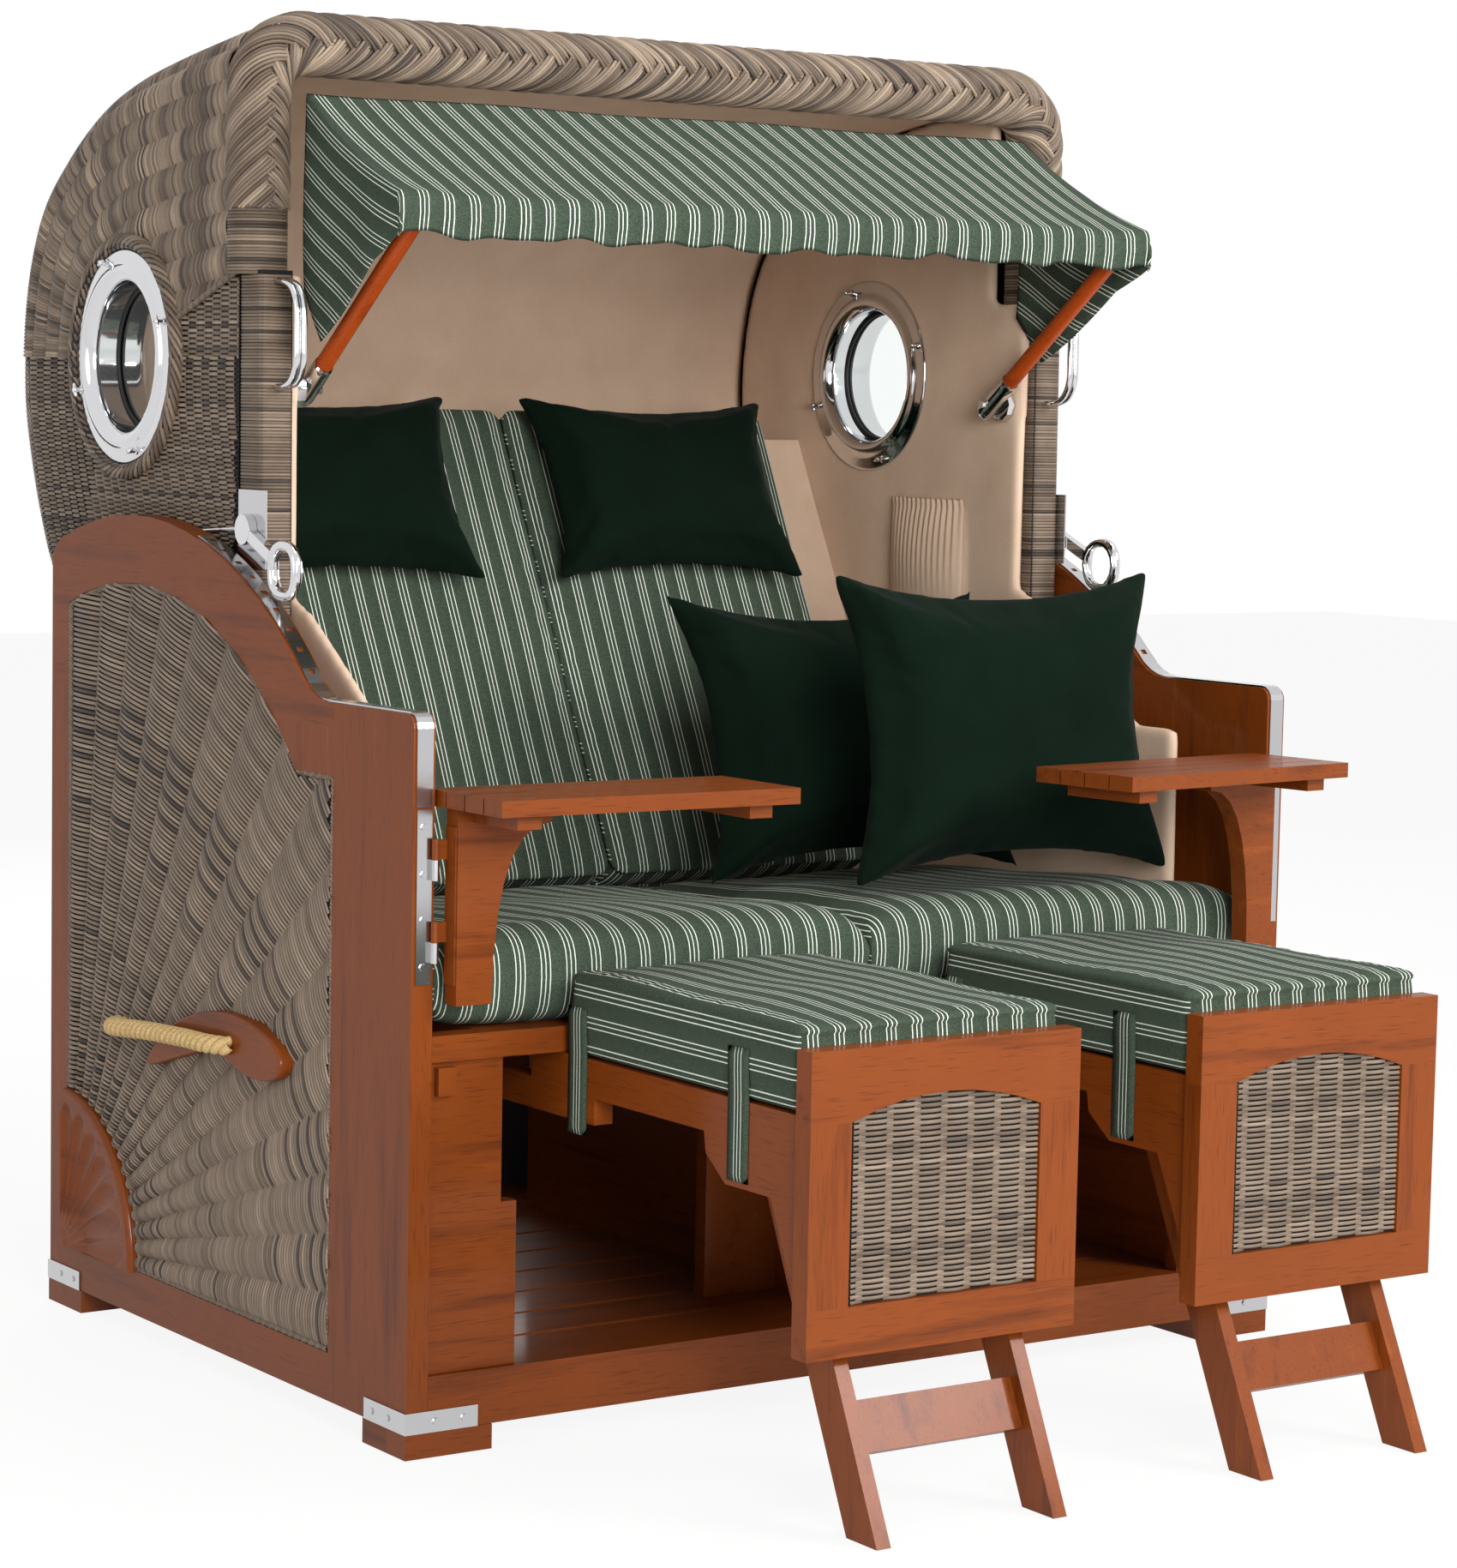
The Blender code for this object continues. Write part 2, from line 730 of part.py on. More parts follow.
def cushion(rows, columns, top, bottom, plump, matrix=None):
    """A padded form: a grid of rows (y, low x, high x) and column shares, closed by a plump side.

    top and bottom give the height of each point from its column share and its row share. The
    finished surface is a subdivision of this cage and so stays inside it.
    """
    bm = bmesh.new()
    faces = []
    last = len(rows) - 1
    for height in (top, bottom):
        grid = []
        for j, (y, low, high) in enumerate(rows):
            line = [bm.verts.new((low + (high - low) * share, y, height(share, j / last))) for share in columns]
            grid.append(line)
        faces.append(grid)
    upper, lower = faces
    across = range(len(columns) - 1)
    for j in range(last):
        for i in across:
            bm.faces.new((upper[j][i], upper[j][i + 1], upper[j + 1][i + 1], upper[j + 1][i]))
            bm.faces.new((lower[j][i], lower[j + 1][i], lower[j + 1][i + 1], lower[j][i + 1]))

    def rim(grid):
        front = list(grid[0])
        right = [line[-1] for line in grid[1:]]
        back = list(reversed(grid[-1]))[1:]
        left = [line[0] for line in reversed(grid[1:-1])]
        return front + right + back + left

    high_rim, low_rim = rim(upper), rim(lower)
    count = len(high_rim)
    middle = sum((v.co for v in high_rim), Vector()) / count
    belt = []
    for above, below in zip(high_rim, low_rim):
        out = (above.co - middle) * Vector((1, 1, 0))
        belt.append(bm.verts.new((above.co + below.co) / 2 + out.normalized() * plump))
    for i in range(count):
        k = (i + 1) % count
        bm.faces.new((high_rim[k], high_rim[i], belt[i], belt[k]))
        bm.faces.new((belt[k], belt[i], low_rim[i], low_rim[k]))
    return tidy(bm, matrix)


def pillow(width, length, thick, matrix, flat_back, crown, pull):
    """A cushion about its own centre: crowned, with sides that pull in between its corners."""
    rows = []
    for v in PILLOW_SHARES:
        drawn = width / 2 * (1 - pull * (1 - v * v))
        rows.append((length / 2 * v, -drawn, drawn))
    columns = [(u + 1) / 2 for u in PILLOW_SHARES]

    def swell(share, row):
        u = 2 * share - 1
        v = PILLOW_SHARES[round(row * (len(PILLOW_SHARES) - 1))]
        return thick / 2 * (1 - crown * (1 - (1 - u ** 4) * (1 - v ** 4)))

    def below(share, row):
        return -thick / 2 if flat_back else -swell(share, row)

    return cushion(rows, columns, swell, below, thick * PLUMP_SHARE, matrix)


def soften(target):
    """Round a cushion's cage off."""
    subdivision = target.modifiers.new("soften", "SUBSURF")
    subdivision.levels = 1
    subdivision.render_levels = 1


WOOD = finish("varnished_mahogany", (0.24, 0.055, 0.014), 0.3)
CANE = finish("woven_polyrattan", (0.13, 0.09, 0.065), 0.55)
BRAIDED = finish("braided_polyrattan", (0.17, 0.12, 0.085), 0.55)
STEEL = finish("polished_stainless_steel", (0.62, 0.62, 0.62), 0.12, 1.0)
LINING = finish("beige_lining_cloth", (0.55, 0.42, 0.33), 0.9)
STRIPED = finish("striped_awning_cloth", (0.13, 0.16, 0.12), 0.9)
GREEN = finish("dark_green_cloth", (0.016, 0.026, 0.018), 0.9)
GLASS_CLEAR = finish("clear_glass", (0.8, 0.85, 0.85), 0.05)

BASE = joint_frame("base_root", (0, 0, 0), None)
HOOD = joint_frame("hood_pivot", (0, PIVOT_Y, PIVOT_Z), BASE)
AWNING = joint_frame("awning_pivot", (0, AWNING_Y, AWNING_Z), HOOD)


# Side panels

def arch_point(angle, radius=ARCH_RADIUS):
    """A point on the arch round the hood's pivot."""
    return PIVOT_Y + radius * math.cos(angle), PIVOT_Z + radius * math.sin(angle)


def panel_top(start):
    """The panel's upper edge from an angle on the arch, forwards over the horn to its front corner."""
    arch = arc((PIVOT_Y, PIVOT_Z), ARCH_RADIUS, start, ARCH_START, ARCH_STEPS)
    horn_end = (HORN_DEPTH, HORN_HEIGHT)
    fillet = bend(arch[-1], ((arch[-1][0] + HORN_DEPTH) / 2, HORN_HEIGHT), horn_end, FILLET_STEPS)
    corner = arc((HORN_ROUND, HORN_HEIGHT - HORN_ROUND), HORN_ROUND, math.pi / 2, math.pi, CORNER_STEPS)
    return arch[:-1] + fillet + corner


def panel_outline():
    """The side panel seen from its side."""
    arch_end = arch_point(ARCH_END)
    rear = bend((DEPTH, REAR_TOP), (DEPTH, REAR_TOP + REAR_ROUND), arch_end, FILLET_STEPS)
    return [(0, BOARD_BOTTOM), (DEPTH, BOARD_BOTTOM)] + rear[:-1] + panel_top(ARCH_END)


def opening_outline(inset=0.0):
    """The panel's opening, or what fills it with an inset all round."""
    radius = ARCH_RADIUS - ARCH_RIM - inset
    back = DEPTH - REAR_STILE - inset
    low, ledge = SILL + inset, LEDGE_HEIGHT - inset
    start = math.acos((back - PIVOT_Y) / radius)
    end = math.pi - math.asin((ledge - PIVOT_Z) / radius)
    front = STILE + inset
    return [(front, low), (back, low)] + arc((PIVOT_Y, PIVOT_Z), radius, start, end, OPENING_STEPS)\
        + [(front, ledge)]


def carving_outline():
    """A quarter-round carved board in the opening's lower rear corner, let into the panel's edges."""
    corner = (DEPTH - REAR_STILE + SINK, SILL - SINK)
    return [corner] + arc(corner, CARVING_RADIUS, math.pi / 2, math.pi, OPENING_STEPS)


def side_panels():
    wicker_inner = PANEL_INNER + CROSS_RAIL + 2 * GAP
    face = wicker_inner + WICKER + GAP
    board = slab([panel_outline(), opening_outline()], PANEL_INNER, SIDE, "X")
    back = DEPTH - REAR_STILE + TENON
    rail_outline = [(STILE - TENON, CROSS_RAIL_LOW), (back, CROSS_RAIL_LOW), (back, CROSS_RAIL_HIGH),
                    (STILE - TENON, CROSS_RAIL_HIGH)]
    hole = circle((PIVOT_Y, PIVOT_Z), BOLT_RADIUS + BOLT_CLEARANCE, BOLT_SIDES)
    rail = slab([rail_outline, hole], PANEL_INNER + GAP, PANEL_INNER + CROSS_RAIL, "X")
    shell = slab([carving_outline()], face, face + CARVING, "X")
    fill = slab([opening_outline(GAP)], wicker_inner, wicker_inner + WICKER, "X")
    pair("side_frame", [board, rail, shell], WOOD, BASE)
    pair("side_wicker", [fill], CANE, BASE)
    return face


WICKER_FACE = side_panels()


# Bottom and rear of the base

def wooden_feet():
    """The four corner feet, each let into the rail above it."""
    inner = PANEL_INNER - GAP
    rim = GAP + SHEET / 2
    feet = []
    for corner, sign in ((0, 1), (DEPTH, -1)):
        spots = sorted((corner - sign * rim, corner + sign * FOOT_DEPTH))
        foot = block((SIDE - FOOT_LENGTH, spots[0], 0), (SIDE + rim, spots[1], FOOT_HEIGHT))
        spots = sorted((corner + sign * GAP, corner + sign * (RAIL - SINK)))
        tenon = block((SIDE - FOOT_LENGTH + SINK, spots[0], FOOT_HEIGHT - SINK),
                      (inner - SINK, spots[1], BOARD_BOTTOM + SINK))
        feet.append(united([foot, tenon]))
    return both_sides(feet)


def bottom_and_rear():
    inner = PANEL_INNER - GAP
    slat_low = BOARD_BOTTOM + BEARER_HEIGHT + GAP
    slat_top = slat_low + FLOOR_SLAT
    rear_front = DEPTH - PANEL
    outer = [(-inner, BOARD_BOTTOM), (inner, BOARD_BOTTOM), (inner, REAR_FRAME_TOP), (-inner, REAR_FRAME_TOP)]
    side = inner - REAR_WINDOW_SIDE

    def window(inset):
        low, high = RAIL_TOP + inset, REAR_WINDOW_TOP - inset
        return [(-side + inset, low), (side - inset, low), (side - inset, high), (-side + inset, high)]

    boards = [slab([outer, window(0)], rear_front, DEPTH, "Y"),
              block((-inner, 0, BOARD_BOTTOM), (inner, RAIL, RAIL_TOP))]
    for centre in (-inner + GAP + BEARER_WIDTH / 2, 0, inner - GAP - BEARER_WIDTH / 2):
        low = (centre - BEARER_WIDTH / 2, RAIL - SINK, BOARD_BOTTOM + GAP)
        high = (centre + BEARER_WIDTH / 2, rear_front + SINK, BOARD_BOTTOM + BEARER_HEIGHT)
        boards.insert(1, block(low, high))
    boards = [boards[-1]] + boards[1:-1] + [boards[0]] + wooden_feet()
    piece("base_frame", boards, WOOD, BASE)
    middle = DEPTH - PANEL / 2
    fill = slab([window(GAP)], middle - WICKER / 2, middle + WICKER / 2, "Y")
    piece("rear_wicker", [fill], CANE, BASE)
    deck = slotted_deck((-inner, RAIL + GAP, slat_low), (inner, rear_front - GAP, slat_top), FLOOR_SLATS,
                        BEARER_WIDTH)
    piece("floor_deck", [deck], WOOD, BASE)
    return slat_top


FLOOR_TOP = bottom_and_rear()


def corner_brackets():
    """The screwed steel angle that holds the panel and the rail together at each corner."""
    top = BOARD_BOTTOM + BRACKET_HEIGHT
    height = BOARD_BOTTOM + BRACKET_HEIGHT / 2
    outside = SIDE + GAP
    for end, corner, sign in (("front", 0, 1), ("rear", DEPTH, -1)):
        face = corner - sign * GAP
        arm_end = corner + sign * BRACKET_ARM
        outline = [(SIDE - BRACKET_ARM, face), (SIDE - BRACKET_ARM, face - sign * SHEET),
                   (outside + SHEET, face - sign * SHEET), (outside + SHEET, arm_end), (outside, arm_end),
                   (outside, face)]
        shapes = [slab([outline], FOOT_HEIGHT + GAP, top, "Z")]
        for share in SHOE_SCREW_SHARES:
            reach = BRACKET_ARM * share
            start = outside + SHEET / 2
            spot = corner + sign * reach
            side_end = outside + SHEET + SCREW_HEAD
            shapes.append(rod([(start, spot, height), (side_end, spot, height)], SCREW_RADIUS, SCREW_SIDES))
            spot = SIDE - reach
            start = face - sign * SHEET / 2
            head = face - sign * (SHEET + SCREW_HEAD)
            shapes.append(rod([(spot, start, height), (spot, head, height)], SCREW_RADIUS, SCREW_SIDES))
        pair("corner_bracket_" + end, shapes, STEEL, BASE)


corner_brackets()


# Seat structure

def seat_structure():
    inner = PANEL_INNER - GAP
    slat_low = SEAT_TOP - SEAT_SLAT
    low = FLOOR_TOP + GAP
    front_rail = block((-inner, 0, SEAT_RAIL_BOTTOM), (inner, RAIL, SEAT_TOP))
    bearer_inner = BEARER_OUTER - BEARER_BOARD
    bearer = block((bearer_inner, RAIL - SINK, low), (BEARER_OUTER, BEARER_BACK, slat_low - GAP))
    divider = block((-DIVIDER / 2, RAIL - SINK, low), (DIVIDER / 2, BEARER_BACK, slat_low - GAP))
    stand_low = RAIL_TOP + GAP
    stand_high = SEAT_RAIL_BOTTOM + SINK
    outline = [(STAND_OUTER_WIDE, stand_low), (inner - GAP, stand_low), (inner - GAP, stand_high),
               (STAND_OUTER_NARROW, stand_high), (STAND_OUTER_NARROW, STAND_NOTCH),
               (STAND_OUTER_WIDE, STAND_NOTCH)]
    stand_face = RAIL - STAND
    stand = slab([outline], stand_face, RAIL - GAP, "Y")
    stop = block((STOP_BLOCK_INNER, stand_face - STOP_BLOCK, STOP_BLOCK_LOW),
                 (STOP_BLOCK_OUTER, stand_face + SINK, STOP_BLOCK_HIGH))
    outer_runner = block((RUNNER_OUTER_EDGE, RUNNER_FRONT, RUNNER_LOW),
                         (bearer_inner + SINK, BEARER_BACK - SINK, RUNNER_HIGH))
    middle_runner = block((-RUNNER_INNER_EDGE, RUNNER_FRONT, RUNNER_LOW),
                          (RUNNER_INNER_EDGE, BEARER_BACK - SINK, RUNNER_HIGH))
    edge = RUNNER_INNER_EDGE - SINK
    middle_stand = block((-edge, RUNNER_FRONT + SINK, low + GAP), (edge, RUNNER_FRONT + STAND, RUNNER_LOW + SINK))
    boards = [front_rail] + both_sides([bearer, stand, stop, outer_runner])
    piece("seat_frame", boards + [divider, middle_runner, middle_stand], WOOD, BASE)
    deck = slotted_deck((-SEAT_SLAT_REACH, RAIL + GAP, slat_low), (SEAT_SLAT_REACH, SEAT_DECK_DEPTH, SEAT_TOP),
                        SEAT_SLATS, BEARER_BOARD)
    piece("seat_deck", [deck], WOOD, BASE)


seat_structure()


# Metalwork, handles and hinges of the base

def locking_rails():
    """A strip of steel along each panel's upper edge, punched for the hood's latches."""
    line = panel_top(RAIL_STRIP_START) + [(0, RAIL_STRIP_END)]
    inner_edge = offset(line, GAP)
    outer_edge = offset(line, GAP + SHEET)
    middle = PANEL_INNER + PANEL / 2
    half = RAIL_STRIP_WIDTH / 2
    strip = slab([inner_edge + outer_edge[::-1]], middle - half, middle + half, "X")
    side = RAIL_HOLE / 2
    for i in range(RAIL_HOLES):
        share = (i + 0.5) / RAIL_HOLES
        angle = RAIL_STRIP_START + (ARCH_START - RAIL_STRIP_START) * share
        y, z = arch_point(angle)
        punch = block((-side, -side, -OVERRUN), (side, side, OVERRUN))
        turn = Matrix.Rotation(angle - math.pi / 2, 4, "X")
        strip = boolean(strip, moved(punch, Matrix.Translation((middle, y, z)) @ turn), "DIFFERENCE")
    pair("locking_rail", [strip], STEEL, BASE)


def carry_handles():
    """A shaped wooden cheek outside each panel, with a rope bow let into its front end."""
    outline = [(CAM_BACK - CAM_LENGTH * along, CAM_LOW + CAM_HEIGHT * up) for along, up in CAM_SHARES]
    smooth = through(outline + outline[:1], SMOOTH_STEPS)[:-1]
    cam = slab([smooth], WICKER_FACE, WICKER_FACE + CAM, "X")
    base_x = WICKER_FACE + ROPE_RADIUS / 2
    out = CAM + ROPE_STANDOFF + ROPE_RADIUS
    points = []
    for along, stand in ROPE_BEND_SHARES:
        y = ROPE_BACK + (ROPE_FRONT - ROPE_BACK) * along
        z = ROPE_BACK_Z + (ROPE_FRONT_Z - ROPE_BACK_Z) * along
        points.append((base_x + out * stand, y, z))
    rope = rod(through(points, ROPE_STEPS), ROPE_RADIUS, ROD_SIDES)
    pair("carry_handle", [cam, rope], WOOD, BASE)


def hinge_and_bolts():
    leaf_inner = HINGE_X + LEAF_SETBACK
    leaf = block((leaf_inner, -GAP - SHEET, LEAF_LOW), (HINGE_X + LEAF_WIDTH, -GAP, LEAF_HIGH))
    shapes = [leaf]
    for height in KNUCKLE_HEIGHTS:
        low, high = height - KNUCKLE_LENGTH, height - GAP / 2
        shapes.append(block((HINGE_X, HINGE_Y, low + GAP), (leaf_inner + SHEET, -GAP - SHEET / 2, high - GAP)))
        shapes.append(rod([(HINGE_X, HINGE_Y, low), (HINGE_X, HINGE_Y, high)], KNUCKLE_RADIUS, ROD_SIDES))
    leaf_face = -GAP - SHEET
    for share in LEAF_SCREW_SHARES:
        z = LEAF_LOW + (LEAF_HIGH - LEAF_LOW) * share
        x = HINGE_X + LEAF_WIDTH / 2 + SCREW_RADIUS / 2
        ends = [(x, leaf_face + SHEET / 2, z), (x, leaf_face - SCREW_HEAD, z)]
        shapes.append(rod(ends, SCREW_RADIUS, SCREW_SIDES))
    pair("hinge_post_leaf", shapes, STEEL, BASE)
    start = LINER_OUTER + BOLT_CLEARANCE
    neck = start + BOLT_HEAD
    end = PANEL_INNER + CROSS_RAIL - GAP
    profile = [(BOLT_HEAD_RADIUS, start), (BOLT_HEAD_RADIUS, neck), (BOLT_RADIUS, neck), (BOLT_RADIUS, end)]
    place = Matrix.Translation((0, PIVOT_Y, PIVOT_Z)) @ PLANES["X"]
    pair("pivot_bolt", [moved(spindle(profile, BOLT_SIDES), place)], STEEL, BASE)


locking_rails()
carry_handles()
hinge_and_bolts()


# Hood shell

def hood_profile(steps=2):
    """The hood's outer roof and back line, from the roof's front edge to the bottom of the back."""
    return through([(HOOD_DEPTH * y, ROOF_HEIGHT * z) for y, z in HOOD_SHARES], steps)


def low_edge_height(y):
    """The hood's lower front edge, which rises towards the front of the ear."""
    share = (HOOD_FRONT_LOW_Y - y) / (HOOD_FRONT_LOW_Y - EAR_FRONT)
    return HOOD_FRONT_LOW_Z + (EAR_LOW - HOOD_FRONT_LOW_Z) * share


def portholes():
    """Bolted steel rings inside and outside each side of the hood, with glass clamped between them."""
    place = Matrix.Translation((0, PORT_Y, PORT_Z)) @ PLANES["X"]
    wall = PORT_BORE + PORT_WALL
    face = SKIN_REACH + GAP
    plate = face + PORT_FLANGE_PLATE
    crest = plate + PORT_RING_RISE
    half = PORT_RING_WIDTH / 2
    joint = PORT_JOINT + GLASS + GAP
    outer = [(PORT_BORE, joint), (wall, joint), (wall, face), (PORT_FLANGE, face), (PORT_FLANGE, plate),
             (PORT_RING + half, plate), (PORT_RING + half / 2, crest), (PORT_RING - half / 2, crest),
             (PORT_RING - half, plate), (PORT_BORE, plate)]
    shapes = [turned(outer, PORT_STEPS, place)]
    for angle in THUMB_ANGLES:
        y = PORT_Y - THUMB_CIRCLE * math.cos(math.radians(angle))
        z = PORT_Z + THUMB_CIRCLE * math.sin(math.radians(angle))
        shapes.append(rod([(plate - SINK, y, z), (plate + THUMB_LENGTH, y, z)], THUMB_RADIUS, ROD_SIDES))
    pair("porthole_outer", shapes, STEEL, HOOD)
    near = LINER_INNER - GAP
    inner_plate = near - PORT_FLANGE_PLATE
    inner = [(PORT_BORE, inner_plate), (PORT_FLANGE, inner_plate), (PORT_FLANGE, near), (wall, near),
             (wall, PORT_JOINT - GAP), (PORT_BORE, PORT_JOINT - GAP)]
    pair("porthole_inner", [turned(inner, PORT_STEPS, place)], STEEL, HOOD)
    disc = spindle([(wall - GAP, PORT_JOINT), (wall - GAP, PORT_JOINT + GLASS)], PORT_STEPS)
    pair("porthole_glass", [moved(disc, place)], GLASS_CLEAR, HOOD)


def wreath():
    """The braided ring round a porthole's flange, as a plain ring sunk a little into the wicker."""
    place = Matrix.Translation((0, PORT_Y, PORT_Z)) @ PLANES["X"]
    height = SKIN_REACH + WREATH_RADIUS * WREATH_LIFT_SHARE
    ring = [(WREATH_CIRCLE + radius, up) for radius, up in circle((0, height), WREATH_RADIUS, SCREW_SIDES)]
    return turned(ring, WREATH_STEPS, place)


def hood_shell():
    roof = hood_profile()
    roof[0] = (SKIN_ROOF_FRONT, roof[0][1])
    low = [(HOOD_LOW_Y, HOOD_LOW_Z), (HOOD_FRONT_LOW_Y, HOOD_FRONT_LOW_Z), (SKIN_FRONT, low_edge_height(SKIN_FRONT))]
    step = [(SKIN_FRONT, COLLAR), (SKIN_ROOF_FRONT, COLLAR)]
    bm = bmesh.new()
    rows = []
    for turn in SKIN_ROUND_SHARES:
        angle = math.pi / 2 * turn
        line = offset(roof, SKIN_EDGE_ROUND * (1 - math.sin(angle)))
        line[0] = (SKIN_ROOF_FRONT, line[0][1])
        x = SKIN_REACH - SKIN_EDGE_ROUND * (1 - math.cos(angle))
        rows.append([bm.verts.new((x, y, z)) for y, z in line])
    for turn in reversed(SKIN_ROUND_SHARES):
        source = rows[SKIN_ROUND_SHARES.index(turn)]
        rows.append([bm.verts.new((-vert.co.x, vert.co.y, vert.co.z)) for vert in source])
    for first, second in zip(rows, rows[1:]):
        for i in range(len(roof) - 1):
            bm.faces.new((first[i], first[i + 1], second[i + 1], second[i]))
    for row, sign in ((rows[0], 1), (rows[-1], -1)):
        rest = [bm.verts.new((sign * SKIN_REACH, y, z)) for y, z in low + step]
        bm.faces.new((row + rest)[::-sign])
    mesh = bpy.data.meshes.new("hood_skin")
    bm.to_mesh(mesh)
    bm.free()

    def thicken(holder):
        wall = holder.modifiers.new("wall", "SOLIDIFY")
        wall.thickness = SKIN
        wall.offset = -1
        wall.use_even_offset = True

    shell = settled(mesh, None, thicken)
    reach = SKIN_REACH + OVERRUN
    bore = PORT_BORE + PORT_WALL + PORT_CLEARANCE
    port = Matrix.Translation((0, PORT_Y, PORT_Z)) @ PLANES["X"]
    shell = boolean(shell, moved(spindle([(bore, -reach), (bore, reach)], PORT_STEPS), port), "DIFFERENCE")
    bore = BOLT_RADIUS + BOLT_CLEARANCE
    pivot = Matrix.Translation((0, PIVOT_Y, PIVOT_Z)) @ PLANES["X"]
    shell = boolean(shell, moved(spindle([(bore, -reach), (bore, reach)], BOLT_SIDES), pivot), "DIFFERENCE")
    piece("hood_wicker", [shell] + both_sides([wreath()]), CANE, HOOD)


def liner_outline():
    roof = offset(hood_profile(), LINER_INSET)
    roof = [(max(y, SKIN_ROOF_FRONT), z) for y, z in roof]
    low = [(HOOD_LOW_Y, HOOD_LOW_Z), (HOOD_FRONT_LOW_Y, HOOD_FRONT_LOW_Z), (EAR_FRONT, EAR_LOW)]
    corner = bend((EAR_FRONT, EAR_HIGH - EAR_ROUND), (EAR_FRONT, EAR_HIGH),
                  (EAR_FRONT + EAR_ROUND, EAR_HIGH), FILLET_STEPS)
    rise = [(EAR_SHELF, EAR_HIGH), (EAR_SLOPE_Y, EAR_SLOPE_Z), (EAR_POST_Y, EAR_POST_Z)]
    edge = [(LINER_EDGE, COLLAR), (SKIN_ROOF_FRONT, COLLAR)]
    return roof + low + corner + rise + edge


def port_hole():
    return circle((PORT_Y, PORT_Z), PORT_BORE + PORT_WALL + PORT_CLEARANCE, PORT_STEPS)


def pocket():
    """A soft pocket, gathered at its mouth, sewn on the right-hand lining."""
    face = LINER_INNER + SINK
    rows = [(y, POCKET_BOTTOM, POCKET_TOP) for y in (POCKET_FRONT, (POCKET_FRONT + POCKET_BACK) / 2, POCKET_BACK)]

    def belly(share, row):
        swell = POCKET_BELLY_SHARE * (1 + math.sin(math.pi * row))
        return SINK + POCKET_DEPTH * swell * (1 - POCKET_GATHER_SHARE * share)

    def against(share, row):
        return 0

    # Drawn with its height along -X, its rows along Y and its columns along Z
    turn = Matrix(((0, 0, -1, face), (0, 1, 0, 0), (1, 0, 0, 0), (0, 0, 0, 1)))
    return settled(cushion(rows, POCKET_SHARES, belly, against, 0, turn), None, soften)


def hood_lining():
    board = slab([liner_outline(), port_hole()], LINER_INNER, LINER_OUTER, "X")
    piece("liner_left", [mirrored(board)], LINING, HOOD)
    piece("liner_right", [board, pocket()], LINING, HOOD)
    line = hood_profile()
    front = offset(line, LINER_INSET + BACK_LINER)
    behind = offset(line, LINER_INSET)
    inner = LINER_INNER - GAP
    sheet = slab([[(max(y, SKIN_ROOF_FRONT), z) for y, z in front + behind[::-1]]], -inner, inner, "X")
    piece("liner_back", [sheet], LINING, HOOD)


def hood_posts():
    low = LINER_OUTER + GAP
    outline = [(POST_FRONT - POST_LEAN, POST_BOTTOM), (POST_BACK - POST_LEAN, POST_BOTTOM),
               (POST_BACK - GAP, COLLAR + SINK), (POST_FRONT, COLLAR + SINK)]
    post = slab([outline], low, SKIN_REACH, "X")
    top = HEIGHT - BRAID_RADIUS
    start = (BRAID_X, BRAID_Y, COLLAR + GAP)
    corner = arc((BRAID_X - BRAID_BEND, top - BRAID_BEND), BRAID_BEND, 0, math.pi / 2, BRAID_BEND_STEPS)
    right = [start] + [(x, BRAID_Y, z) for x, z in corner]
    left = [(-x, y, z) for x, y, z in reversed(right)]
    braid = rod(right + left, BRAID_RADIUS, BRAID_SIDES)
    piece("hood_bow", [braid] + both_sides([post]), BRAIDED, HOOD)
    points = []
    span = BOW_HIGH - BOW_LOW
    for out, up in BOW_SHARES:
        z = BOW_LOW + BOW_RADIUS + (span - 2 * BOW_RADIUS) * up
        face = POST_FRONT - POST_LEAN * (COLLAR - z) / (COLLAR - POST_BOTTOM) - GAP * 2
        points.append((BOW_X, face - BOW_REACH * out, z))
    pair("grab_bow", [rod(points, BOW_RADIUS, ROD_SIDES)], STEEL, HOOD)


# Back of the seat

def slope_matrix(x, along, out):
    """Local X across, local Y up the sloping back, local Z out of its front."""
    up = Vector((0, math.sin(BACK_SLOPE), math.cos(BACK_SLOPE)))
    face = Vector((0, -math.cos(BACK_SLOPE), math.sin(BACK_SLOPE)))
    place = Vector((x, BACK_FOOT_Y, BACK_FOOT_Z)) + up * along + face * out
    turn = Matrix((Vector((1, 0, 0)), up, face)).transposed().to_4x4()
    return Matrix.Translation(place) @ turn


